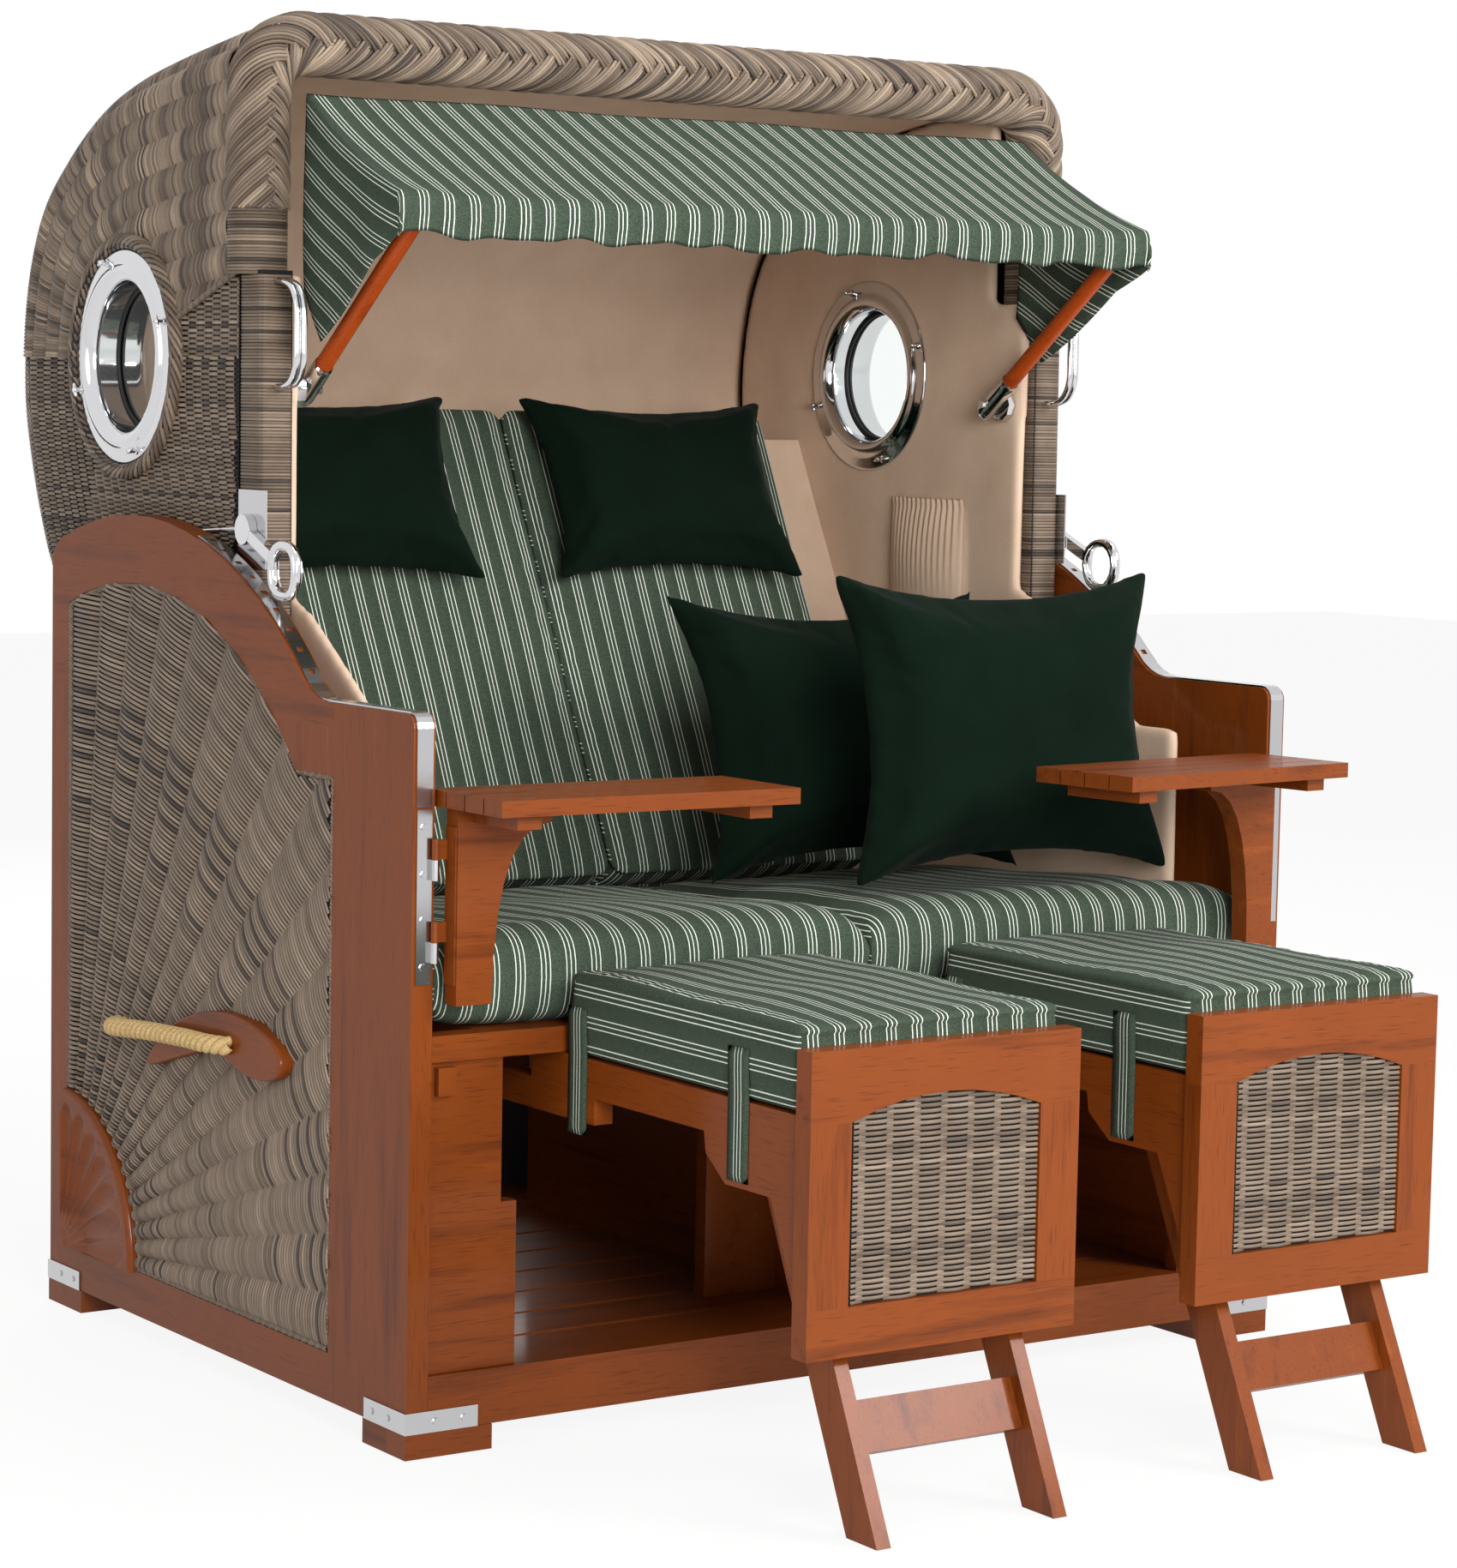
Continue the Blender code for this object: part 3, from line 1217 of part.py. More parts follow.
def back_and_pillows():
    width = BACK_CUSHION_REACH - CUSHION_SPACE / 2
    middle = CUSHION_SPACE / 2 + width / 2
    along = BACK_CUSHION_START + BACK_CUSHION_LENGTH / 2
    for name, sign in (("left", -1), ("right", 1)):
        place = slope_matrix(sign * middle, along, -BACK_CUSHION / 2)
        shape = pillow(width, BACK_CUSHION_LENGTH, BACK_CUSHION, place, True, BACK_CROWN_SHARE,
                       BACK_PULL_SHARE)
        soften(piece("back_cushion_" + name, [shape], STRIPED, HOOD))
    reach = LINER_INNER - GAP
    board = block((-reach, 0, -BACK_BOARD), (reach, BACK_BOARD_LENGTH, 0))
    board = moved(board, slope_matrix(0, BACK_CUSHION_START, -BACK_CUSHION - GAP))
    piece("backrest_board", [board], WOOD, HOOD)
    pillows = (("left", LEFT_PILLOW_LOW, LEFT_PILLOW_HIGH), ("right", RIGHT_PILLOW_LOW, RIGHT_PILLOW_HIGH))
    for name, low, high in pillows:
        place = slope_matrix((low + high) / 2, PILLOW_START + PILLOW_LENGTH / 2, PILLOW / 2 - PILLOW_SINK)
        shape = pillow(high - low, PILLOW_LENGTH, PILLOW, place, True, HEAD_CROWN_SHARE, HEAD_PULL_SHARE)
        soften(piece("head_pillow_" + name, [shape], GREEN, HOOD))


# Awning

def awning():
    plate_face = LINER_INNER - GAP
    arm_outer = AWNING_ARM_REACH
    arm_inner = arm_outer - AWNING_ARM
    pin_end = arm_inner - AWNING_CAP
    socket_face = arm_outer - AWNING_ARM / 2 + AWNING_CAP_RADIUS + GAP
    profile = [(AWNING_PIN_RADIUS, pin_end), (AWNING_PIN_RADIUS, socket_face),
               (AWNING_PLATE_RADIUS, socket_face), (AWNING_PLATE_RADIUS, plate_face)]
    place = Matrix.Translation((0, AWNING_Y, AWNING_Z)) @ PLANES["X"]
    pair("awning_pivot", [moved(spindle(profile, PIN_SIDES), place)], STEEL, HOOD)
    start, end = Vector((AWNING_Y, AWNING_Z)), Vector((AWNING_BAR_Y, AWNING_BAR_Z))
    along = (end - start).normalized()
    middle = (arm_inner + arm_outer) / 2
    tail = start - along * AWNING_TAIL
    nose = end + along * AWNING_BAR_RADIUS
    pole = rod([(middle, *tail), (middle, *nose)], AWNING_ARM / 2, PIN_SIDES)
    socket_end = start + along * AWNING_SOCKET
    socket = rod([(middle, *(tail - along * SHEET)), (middle, *socket_end)], AWNING_CAP_RADIUS, PIN_SIDES)
    clear = AWNING_PIN_RADIUS + AWNING_PIN_CLEARANCE
    bore = spindle([(clear, pin_end - OVERRUN), (clear, arm_outer + OVERRUN)], PIN_SIDES)
    arm = boolean(united([pole, socket]), moved(bore, place), "DIFFERENCE")
    reach = middle
    bar = rod([(-reach, *end), (reach, *end)], AWNING_BAR_RADIUS, ROD_SIDES)
    piece("awning_frame", [bar] + both_sides([arm]), WOOD, AWNING)
    piece("awning_cloth", [awning_cloth()], STRIPED, AWNING)


# Latches

def latches():
    face = SKIN_REACH + GAP
    plate_outer = face + SHEET
    rows = [(LATCH_PLATE_FRONT, LATCH_PLATE_LOW), (LATCH_PLATE_BACK, LATCH_PLATE_LOW),
            (LATCH_PLATE_BACK, LATCH_PLATE_HIGH), (LATCH_PLATE_FRONT, LATCH_PLATE_HIGH)]
    plate = slab([rows], face, plate_outer, "X")
    end = LATCH_PLATE_BACK + LATCH_ROD_LENGTH
    run = [(LATCH_ROD_X, LATCH_PLATE_BACK - LATCH_ROD_INSET, LATCH_Z),
           (LATCH_ROD_X, end, LATCH_Z - LATCH_ROD_BEND), (LATCH_ROD_X, end, LATCH_Z - LATCH_ROD_DROP)]
    pair("latch_plate", [plate, rod(run, LATCH_ROD_RADIUS, SCREW_SIDES)], STEEL, HOOD)
    low = plate_outer + GAP
    high = low + LATCH_THICK
    pivot = Vector((LATCH_Y, LATCH_Z))
    middle = Vector((LATCH_RING_Y, LATCH_RING_Z))
    along = (middle - pivot).normalized()
    side = Vector((along.y, -along.x)) * LATCH_STEM_HALF
    start = pivot + along * LATCH_BOSS / 2
    finish_at = middle - along * (LATCH_RING_RADIUS - LATCH_RING_BAND / 2)
    stem = [tuple(start + side), tuple(finish_at + side), tuple(finish_at - side), tuple(start - side)]
    ring = [circle(middle, LATCH_RING_RADIUS, RING_SIDES),
            circle(middle, LATCH_RING_RADIUS - LATCH_RING_BAND, RING_SIDES)]
    lever = united([slab([circle(pivot, LATCH_BOSS, 12)], low, high, "X"),
                    slab([stem], low + GAP, high - GAP, "X"), slab(ring, low + SHEET, high + SHEET, "X")])
    for name, sign in (("left", -1), ("right", 1)):
        carrier = joint_frame("latch_pivot_" + name, (sign * low, LATCH_Y, LATCH_Z), HOOD)
        piece("latch_lever_" + name, [lever if sign > 0 else mirrored(lever)], STEEL, carrier)


# Footrests

def rest_rail_outline():
    back = REST_FRONT + REST_BOARD + GAP
    return [(back, REST_RAIL_GUSSET_LOW), (back + REST_RAIL_GUSSET, REST_RAIL_BOTTOM),
            (REST_RAIL_DEEP_END, REST_RAIL_BOTTOM), (REST_RAIL_CHAMFER_Y, REST_RAIL_CHAMFER_Z),
            (REST_RAIL_SHALLOW_Y, REST_RAIL_SHALLOW), (REST_HEEL_START, REST_RAIL_SHALLOW),
            (REST_HEEL_START, RUNNER_HIGH + GAP), (REST_HEEL_END, RUNNER_HIGH + GAP),
            (REST_HEEL_END, REST_HEEL_TOP), (-REST_HEEL_START, REST_HEEL_TOP),
            (-REST_HEEL_START, REST_RAIL_TOP - GAP), (back, REST_RAIL_TOP - GAP)]


def rest_window(inset):
    low, high = REST_INNER + REST_STILE + inset, REST_OUTER - REST_STILE - inset
    middle = (low + high) / 2
    crown = REST_WINDOW_HIGH + 2 * REST_WINDOW_CROWN - inset
    arch = bend((high, REST_WINDOW_HIGH), (middle, crown), (low, REST_WINDOW_HIGH), WINDOW_STEPS)
    return [(low, REST_WINDOW_LOW + inset), (high, REST_WINDOW_LOW + inset)] + arch


def footrest_shapes():
    """The right-hand footrest's solids, by node, and the flip from its outer to its inner side."""
    back = REST_FRONT + REST_BOARD
    centre = (REST_INNER + REST_OUTER) / 2
    flip = Matrix.Translation((2 * centre, 0, 0)) @ Matrix.Diagonal((-1, 1, 1, 1))
    outer = [(REST_INNER, REST_LOW), (REST_OUTER, REST_LOW), (REST_OUTER, REST_HIGH), (REST_INNER, REST_HIGH)]
    frame = slab([outer, rest_window(0)], REST_FRONT, back, "Y")
    clear = LEG_PIN_RADIUS + LEG_PIN_CLEARANCE
    outer_low = REST_RAIL_OUTER - REST_RAIL
    rail = slab([rest_rail_outline(), circle((LEG_Y, LEG_Z), clear, PIN_SIDES)], outer_low,
                REST_RAIL_OUTER, "X")
    boss_low = LEG_OUTER + GAP
    boss_profile = [(clear + GAP, boss_low), (LEG_HALF / 2, boss_low), (LEG_HALF / 2, outer_low + SINK),
                    (clear + GAP, outer_low + SINK)]
    boss = turned(boss_profile, 10, Matrix.Translation((0, LEG_Y, LEG_Z)) @ PLANES["X"])
    side = united([rail, boss])
    slat_high = REST_RAIL_TOP - 2 * GAP
    deck_inner = 2 * centre - outer_low
    deck = slotted_deck((deck_inner - SINK, back - SINK, slat_high - REST_SLAT),
                        (outer_low + SINK, REST_DECK_END, slat_high), REST_SLATS, REST_RAIL)
    middle = (REST_FRONT + back) / 2
    fill = slab([rest_window(GAP)], middle - REST_WICKER / 2, middle + REST_WICKER / 2, "Y")
    low_x, high_x = REST_INNER + CUSHION_SPACE, REST_OUTER - CUSHION_SPACE
    front, rear = back + 2 * CUSHION_SPACE, REST_DECK_END
    thick = REST_CUSHION_TOP - REST_RAIL_TOP
    place = Matrix.Translation((centre, (front + rear) / 2, REST_RAIL_TOP + thick / 2))
    cage = pillow(high_x - low_x - 4 * STRAP, rear - front, thick, place, True, PAD_CROWN_SHARE,
                  PAD_PULL_SHARE)
    pad = [settled(cage, None, soften)] + strap_shapes(flip)
    return [frame, side, moved(side, flip), deck], [fill], pad, flip, centre


def strap_shapes(flip):
    """The straps that hold the pad, hanging over both side rails."""
    straps = []
    low = REST_RAIL_OUTER + GAP
    for front in (STRAP_FRONT_Y, STRAP_BACK_Y):
        back = front + STRAP_WIDTH
        fall = block((low, front, STRAP_BOTTOM), (low + STRAP, back, STRAP_TOP))
        tab = block((low - STRAP_TAB, front + GAP, STRAP_TOP - STRAP * 3),
                    (low + STRAP / 2, back - GAP, STRAP_TOP - GAP))
        strap = united([fall, tab])
        straps += [strap, moved(strap, flip)]
    return straps


def leg_shapes(flip):
    """Two legs with a bar across, on their pivot pins."""
    down = Vector((-math.sin(LEG_LEAN), -math.cos(LEG_LEAN)))
    side = Vector((math.cos(LEG_LEAN), -math.sin(LEG_LEAN)))
    pivot = Vector((LEG_Y, LEG_Z))
    feet = []
    for sign in (-1, 1):
        start = pivot + side * LEG_HALF * sign
        feet.append(tuple(start + down * (start.y / math.cos(LEG_LEAN))))
    angle = math.atan2(side.y, side.x)
    top = arc(pivot, LEG_HALF, angle, angle + math.pi, WINDOW_STEPS)
    leg = slab([top + feet], LEG_OUTER - LEG_BOARD, LEG_OUTER, "X")
    pin = spindle([(LEG_PIN_RADIUS, LEG_OUTER - SINK), (LEG_PIN_RADIUS, REST_RAIL_OUTER - GAP)], PIN_SIDES)
    pin = moved(pin, Matrix.Translation((0, LEG_Y, LEG_Z)) @ PLANES["X"])
    outer = united([leg, pin])
    corners = []
    for z, order in ((LEG_BAR_LOW, (-1, 1)), (LEG_BAR_HIGH, (1, -1))):
        spot = pivot + down * ((LEG_Z - z) / math.cos(LEG_LEAN))
        corners += [tuple(spot + side * LEG_BAR_HALF * sign) for sign in order]
    bar = slab([corners], LEG_INNER + LEG_BOARD - SINK, LEG_OUTER - LEG_BOARD + SINK, "X")
    return [bar, outer, moved(outer, flip)]


def footrests():
    frame, wicker, pad, flip, centre = footrest_shapes()
    solids = (("footrest_frame_", united(frame), WOOD), ("footrest_wicker_", united(wicker), CANE),
              ("footrest_cushion_", united(pad), STRIPED))
    legs = united(leg_shapes(flip))
    for name, sign in (("left", -1), ("right", 1)):
        slide = joint_frame("footrest_slide_" + name, (sign * centre, 0, RUNNER_HIGH), BASE)
        fold = joint_frame("leg_pivot_" + name, (sign * centre, LEG_Y, LEG_Z), slide)
        for stem, solid, material in solids:
            piece(stem + name, [solid if sign > 0 else mirrored(solid)], material, slide)
        piece("footrest_legs_" + name, [legs if sign > 0 else mirrored(legs)], WOOD, fold)


# Tables

def table_shape():
    """The right-hand table before it is swung: planks, battens, bracket and hinge leaf."""
    run = TABLE_BACK - TABLE_FRONT
    width = (run - TABLE_PLANK_SPACE * (TABLE_PLANKS - 1)) / TABLE_PLANKS
    plank_low = TABLE_TOP - TABLE_PLANK
    high = plank_low + SINK
    foot_inner = TABLE_BRACKET_OUTER - TABLE_BRACKET_FOOT
    tip = (TABLE_BRACKET_TIP, high - TABLE_BRACKET_NOSE)
    curve = bend(tip, (foot_inner, tip[1]), (foot_inner, TABLE_BRACKET_LOW), BRACKET_STEPS)
    outline = [(tip[0], high)] + curve + [(TABLE_BRACKET_OUTER, TABLE_BRACKET_LOW), (TABLE_BRACKET_OUTER, high)]
    shapes = [slab([outline[::-1]], TABLE_BRACKET_FRONT, TABLE_BRACKET_BACK, "Y")]
    batten_low = plank_low - BATTEN
    for start in (TABLE_INNER + BATTEN_INSET, TABLE_OUTER - BATTEN_INSET - BATTEN_WIDTH):
        low = (start, TABLE_FRONT + BATTEN_INSET / 2, batten_low)
        shapes.append(block(low, (start + BATTEN_WIDTH, TABLE_BRACKET_BACK - SINK, plank_low + SINK / 2)))
    for i in range(TABLE_PLANKS):
        start = TABLE_FRONT + i * (width + TABLE_PLANK_SPACE)
        shapes.append(block((TABLE_INNER, start, plank_low), (TABLE_OUTER, start + width, TABLE_TOP)))
    leaf_end = TABLE_BRACKET_OUTER + SHEET
    shapes.append(block((TABLE_BRACKET_OUTER - SINK, TABLE_BRACKET_FRONT + SHEET, LEAF_LOW),
                        (leaf_end, TABLE_BRACKET_BACK - SHEET / 2, LEAF_HIGH - TABLE_PLANK)))
    for height in KNUCKLE_HEIGHTS:
        low, top = height + GAP / 2, height + KNUCKLE_LENGTH
        shapes.append(block((leaf_end - SINK, HINGE_Y - SHEET / 2, low + GAP),
                            (HINGE_X, HINGE_Y + SHEET / 2, top - GAP)))
        shapes.append(rod([(HINGE_X, HINGE_Y, low), (HINGE_X, HINGE_Y, top)], KNUCKLE_RADIUS, ROD_SIDES))
    return united(shapes)


def tables():
    shape = table_shape()
    for name, sign, swing in (("left", -1, 0.0), ("right", 1, RIGHT_TABLE_SWING)):
        pivot = joint_frame("table_hinge_" + name, (sign * HINGE_X, HINGE_Y, LEAF_LOW), BASE)
        piece("table_" + name, [shape if sign > 0 else mirrored(shape)], WOOD, pivot)
        pivot.rotation_euler.z = swing


# Seat cushion and loose cushions

def seat_cushions():
    step = SEAT_CUSHION_STEP
    rows = []
    stations = (SEAT_CUSHION_FRONT, SEAT_CUSHION_FRONT + SEAT_CUSHION_NOSE, step - SEAT_STEP_FRONT, step - SEAT_STEP_BACK,
                step * SEAT_BEHIND_SHARE, SEAT_CUSHION_BACK * SEAT_REAR_SHARE, SEAT_CUSHION_BACK)
    for y in stations:
        reach = SEAT_CUSHION_WIDE if y < step - SEAT_STEP_MIDDLE else SEAT_CUSHION_NARROW
        rows.append((y, -reach, reach))
    last = len(rows) - 1

    def top(share, row):
        y = stations[round(row * last)]
        fall = SEAT_CUSHION_FALL * (y - SEAT_CUSHION_FRONT) / (SEAT_CUSHION_BACK - SEAT_CUSHION_FRONT)
        edge = min(share, 1 - share, SEAT_EDGE_SHARE) / SEAT_EDGE_SHARE
        rim = min(1.0, (y - SEAT_CUSHION_FRONT) / step, (SEAT_CUSHION_BACK - y) / step)
        seam = SEAT_SEAM_SHARE if share == SEAT_SHARES[len(SEAT_SHARES) // 2] else 0
        thick = SEAT_CUSHION_TOP - fall - SEAT_TOP
        return SEAT_TOP + GAP + thick * (SEAT_FLAT_SHARE + SEAT_CROWN_SHARE * (edge + rim) - seam)

    def bottom(share, row):
        return SEAT_TOP + GAP

    cage = cushion(rows, SEAT_SHARES, top, bottom, 0)
    soften(piece("seat_cushion", [cage], STRIPED, BASE))
    loose = (("front", FRONT_LOOSE_WIDTH, FRONT_LOOSE_HEIGHT, FRONT_LOOSE_X, FRONT_LOOSE_Y, FRONT_LOOSE_TILT,
              FRONT_LOOSE_SINK),
             ("rear", REAR_LOOSE_WIDTH, REAR_LOOSE_HEIGHT, REAR_LOOSE_X, REAR_LOOSE_Y, REAR_LOOSE_TILT,
              REAR_LOOSE_SINK))
    for name, width, height, x, y, tilt, sink in loose:
        fall = SEAT_CUSHION_FALL * (y - SEAT_CUSHION_FRONT) / (SEAT_CUSHION_BACK - SEAT_CUSHION_FRONT)
        foot = SEAT_CUSHION_TOP - fall + GAP - sink
        rise = foot + height / 2 * math.cos(tilt) + LOOSE_CUSHION / 4 * math.sin(tilt)
        turn = Matrix.Rotation(math.pi / 2 - tilt, 4, "X")
        place = Matrix.Translation((x, y + height / 2 * math.sin(tilt), rise)) @ turn
        shape = pillow(width, height, LOOSE_CUSHION, place, False, LOOSE_CROWN_SHARE, LOOSE_PULL_SHARE)
        soften(piece("scatter_cushion_" + name, [shape], GREEN, BASE))


hood_shell()
portholes()
hood_lining()
hood_posts()
back_and_pillows()
awning()
latches()
footrests()
tables()
seat_cushions()

BASE.location.y = -(HOOD_DEPTH - FRONT_REACH) / 2
bpy.context.view_layer.update()
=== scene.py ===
import math

import bmesh
import bpy
import numpy as np
from mathutils import Matrix, Vector


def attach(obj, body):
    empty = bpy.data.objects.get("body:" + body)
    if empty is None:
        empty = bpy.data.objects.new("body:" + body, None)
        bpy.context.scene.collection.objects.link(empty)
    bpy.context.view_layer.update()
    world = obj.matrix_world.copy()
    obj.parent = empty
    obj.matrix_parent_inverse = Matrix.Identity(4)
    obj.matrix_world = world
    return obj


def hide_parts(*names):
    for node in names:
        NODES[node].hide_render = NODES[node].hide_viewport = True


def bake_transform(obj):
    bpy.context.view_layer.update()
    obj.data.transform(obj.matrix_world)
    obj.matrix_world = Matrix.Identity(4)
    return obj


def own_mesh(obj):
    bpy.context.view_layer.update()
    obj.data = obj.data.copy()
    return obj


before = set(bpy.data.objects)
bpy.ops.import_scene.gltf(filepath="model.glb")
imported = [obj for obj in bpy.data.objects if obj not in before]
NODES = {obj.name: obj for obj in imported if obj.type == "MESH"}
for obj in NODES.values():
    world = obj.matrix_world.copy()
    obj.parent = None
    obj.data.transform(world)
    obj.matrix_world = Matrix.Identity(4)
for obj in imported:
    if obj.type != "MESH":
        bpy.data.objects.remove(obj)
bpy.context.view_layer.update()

# Sizes in metres, in the row frame: +X right, +Y back, +Z up, ground at zero
SIDES = ((1, "right"), (-1, "left"))
SIDE_FACE = 0.6193  # X of the base's outer wicker face
SKIN_FACE = 0.592  # X of the hood's outer side face
EDGE = 0.05  # Radius of the hood's edge between side and roof
PIVOT = (0.40, 0.382)  # Y and Z of the pivot bolts
PORT = (0.485, 1.20)  # Y and Z of the portholes' middle
BOW_Y = 0.185  # The braided bow stands upright in this plane
BOW_X = 0.575  # Its legs' distance from the middle
BOW_TOP = 1.5645  # Height of its middle line
BOW_BEND = 0.058  # Bend radius of its corners
BRAID_FOOT = 1.370  # The braid starts here, above the collar
FAN_CORNER = (0.584, 0.083)  # Rear lower corner of a side panel's opening
FAN_RADIUS = 0.1985  # The carved shell's outer radius
PANEL_ARC = 0.545  # Radius of the opening's arched top about the pivot
SHEET = 0.0016  # Thickness of every cloth sheet, hems included
# The hood's rear outline (Y, Z), from the roof's front edge over the back down to the bottom
PROFILE = np.array([(0.2188, 1.58), (0.381, 1.558), (0.497, 1.537), (0.593, 1.508),
                    (0.68, 1.463), (0.751, 1.405), (0.795, 1.330), (0.818, 1.239),
                    (0.82, 1.14), (0.7925, 1.041), (0.753, 0.954), (0.719, 0.90),
                    (0.66, 0.78), (0.625, 0.65), (0.605, 0.50), (0.5945, 0.33)])


# Mesh helpers

def add_mesh(name, verts, faces, material, body, attributes=None, smooth=True):
    """A mesh piece from arrays: points (n, 3), faces (m, 3 or 4) and one float a point for each attribute."""
    mesh = bpy.data.meshes.new(name)
    verts = np.asarray(verts, dtype=np.float32).reshape(-1, 3)
    if isinstance(faces, list):
        mesh.from_pydata(verts.tolist(), [], [[int(c) for c in face] for face in faces])
    else:
        faces = np.asarray(faces, dtype=np.int32)
        sides = faces.shape[1]
        mesh.vertices.add(len(verts))
        mesh.vertices.foreach_set("co", verts.ravel())
        mesh.loops.add(faces.size)
        mesh.loops.foreach_set("vertex_index", faces.ravel())
        mesh.polygons.add(len(faces))
        mesh.polygons.foreach_set("loop_start", np.arange(0, faces.size, sides, dtype=np.int32))
    mesh.update(calc_edges=True)
    mesh.validate()
    if smooth:
        mesh.shade_smooth()
    for key, values in (attributes or {}).items():
        layer = mesh.attributes.new(key, "FLOAT", "POINT")
        layer.data.foreach_set("value", np.asarray(values, dtype=np.float32).ravel())
    mesh.materials.append(material)
    piece = bpy.data.objects.new(name, mesh)
    bpy.context.scene.collection.objects.link(piece)
    if body:
        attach(piece, body)
    return piece


def grid_faces(rows, columns, around=False):
    """Faces of a rows by columns grid of points, closed across its columns if it goes around."""
    r = np.arange(rows - 1)[:, None]
    c = np.arange(columns if around else columns - 1)[None, :]
    d = (c + 1) % columns
    return np.stack([r * columns + c, r * columns + d, (r + 1) * columns + d, (r + 1) * columns + c],
                    -1).reshape(-1, 4)


def unit(a):
    """Each vector divided by its own length."""
    return a / np.maximum(np.linalg.norm(a, axis=-1, keepdims=True), 1e-9)


def canes(name, centre, normal, width, height, tone, material, body, sides=4, keep=None):
    """Half-round strands laid along centre lines.

    centre and normal are (strands, points, 3). A cross-section point at angle a from the normal
    lies at centre + across * width / 2 * sin(a) + normal * height * cos(a), a from -80 to 80 degrees.
    """
    along = np.gradient(centre, axis=1)
    across = unit(np.cross(along, normal))
    a = np.radians(np.linspace(-80, 80, sides))[None, None, :, None]
    verts = (centre[:, :, None] + across[:, :, None] * (width / 2 * np.sin(a))
             + normal[:, :, None] * (height * np.cos(a)))
    count, points = centre.shape[:2]
    base = grid_faces(points, sides)
    faces = base[None] + (np.arange(count) * points * sides)[:, None, None]
    if keep is not None:
        used = keep[:, :-1] & keep[:, 1:]
        faces = faces.reshape(count, points - 1, sides - 1, 4)[used]
    faces = faces.reshape(-1, 4)
    tones = np.broadcast_to(np.asarray(tone).reshape(count, -1), (count, points))
    tones = np.repeat(tones[:, :, None], sides, 2)
    flat = verts.reshape(-1, 3)
    used_points = np.unique(faces)
    lookup = np.zeros(len(flat), dtype=np.int64)
    lookup[used_points] = np.arange(len(used_points))
    return add_mesh(name, flat[used_points], lookup[faces], material, body,
                    {"tone": tones.reshape(-1)[used_points]})


def lengths(line):
    """Length along a line of points up to each of them."""
    return np.concatenate([[0], np.cumsum(np.linalg.norm(np.diff(line, axis=0), axis=1))])


def at_lengths(line, spots):
    """Points of a line at the given lengths along it."""
    length = lengths(line)
    return np.stack([np.interp(spots, length, line[:, k]) for k in range(line.shape[1])], -1)


def spline(p, start, end, steps):
    """Catmull-Rom through p[start] to p[end]: between b and c, with a before and d after,

    (2 b + (c - a) t + (2 a - 5 b + 4 c - d) t^2 + (3 b - a - 3 c + d) t^3) / 2.
    """
    t = np.linspace(0, 1, steps, endpoint=False)[:, None]
    parts = []
    for i in range(start, end):
        a, b, c, d = (p[(i + k) % len(p)] for k in (-1, 0, 1, 2))
        parts.append(0.5 * (2 * b + (c - a) * t + (2 * a - 5 * b + 4 * c - d) * t ** 2
                            + (3 * b - a - 3 * c + d) * t ** 3))
    return parts


def smooth_line(points, count):
    """An open curve through the points, as count points evenly apart along it."""
    p = np.asarray(points, dtype=float)
    p = np.vstack([2 * p[0] - p[1], p, 2 * p[-1] - p[-2]])
    line = np.vstack(spline(p, 1, len(p) - 2, 12) + [p[-2:-1]])
    return at_lengths(line, np.linspace(0, lengths(line)[-1], count))


def closed_curve(points, count):
    """A closed curve through the points, as count points evenly apart along it."""
    p = np.asarray(points, dtype=float)
    line = np.vstack(spline(p, 0, len(p), 24) + [p[:1]])
    return at_lengths(line, np.linspace(0, lengths(line)[-1], count, endpoint=False))


# Materials

def linear(code):
    """Linear colour of an sRGB hex code."""
    values = [int(code[i:i + 2], 16) / 255 for i in (0, 2, 4)]
    return tuple(v / 12.92 if v <= 0.04045 else ((v + 0.055) / 1.055) ** 2.4 for v in values) + (1.0,)


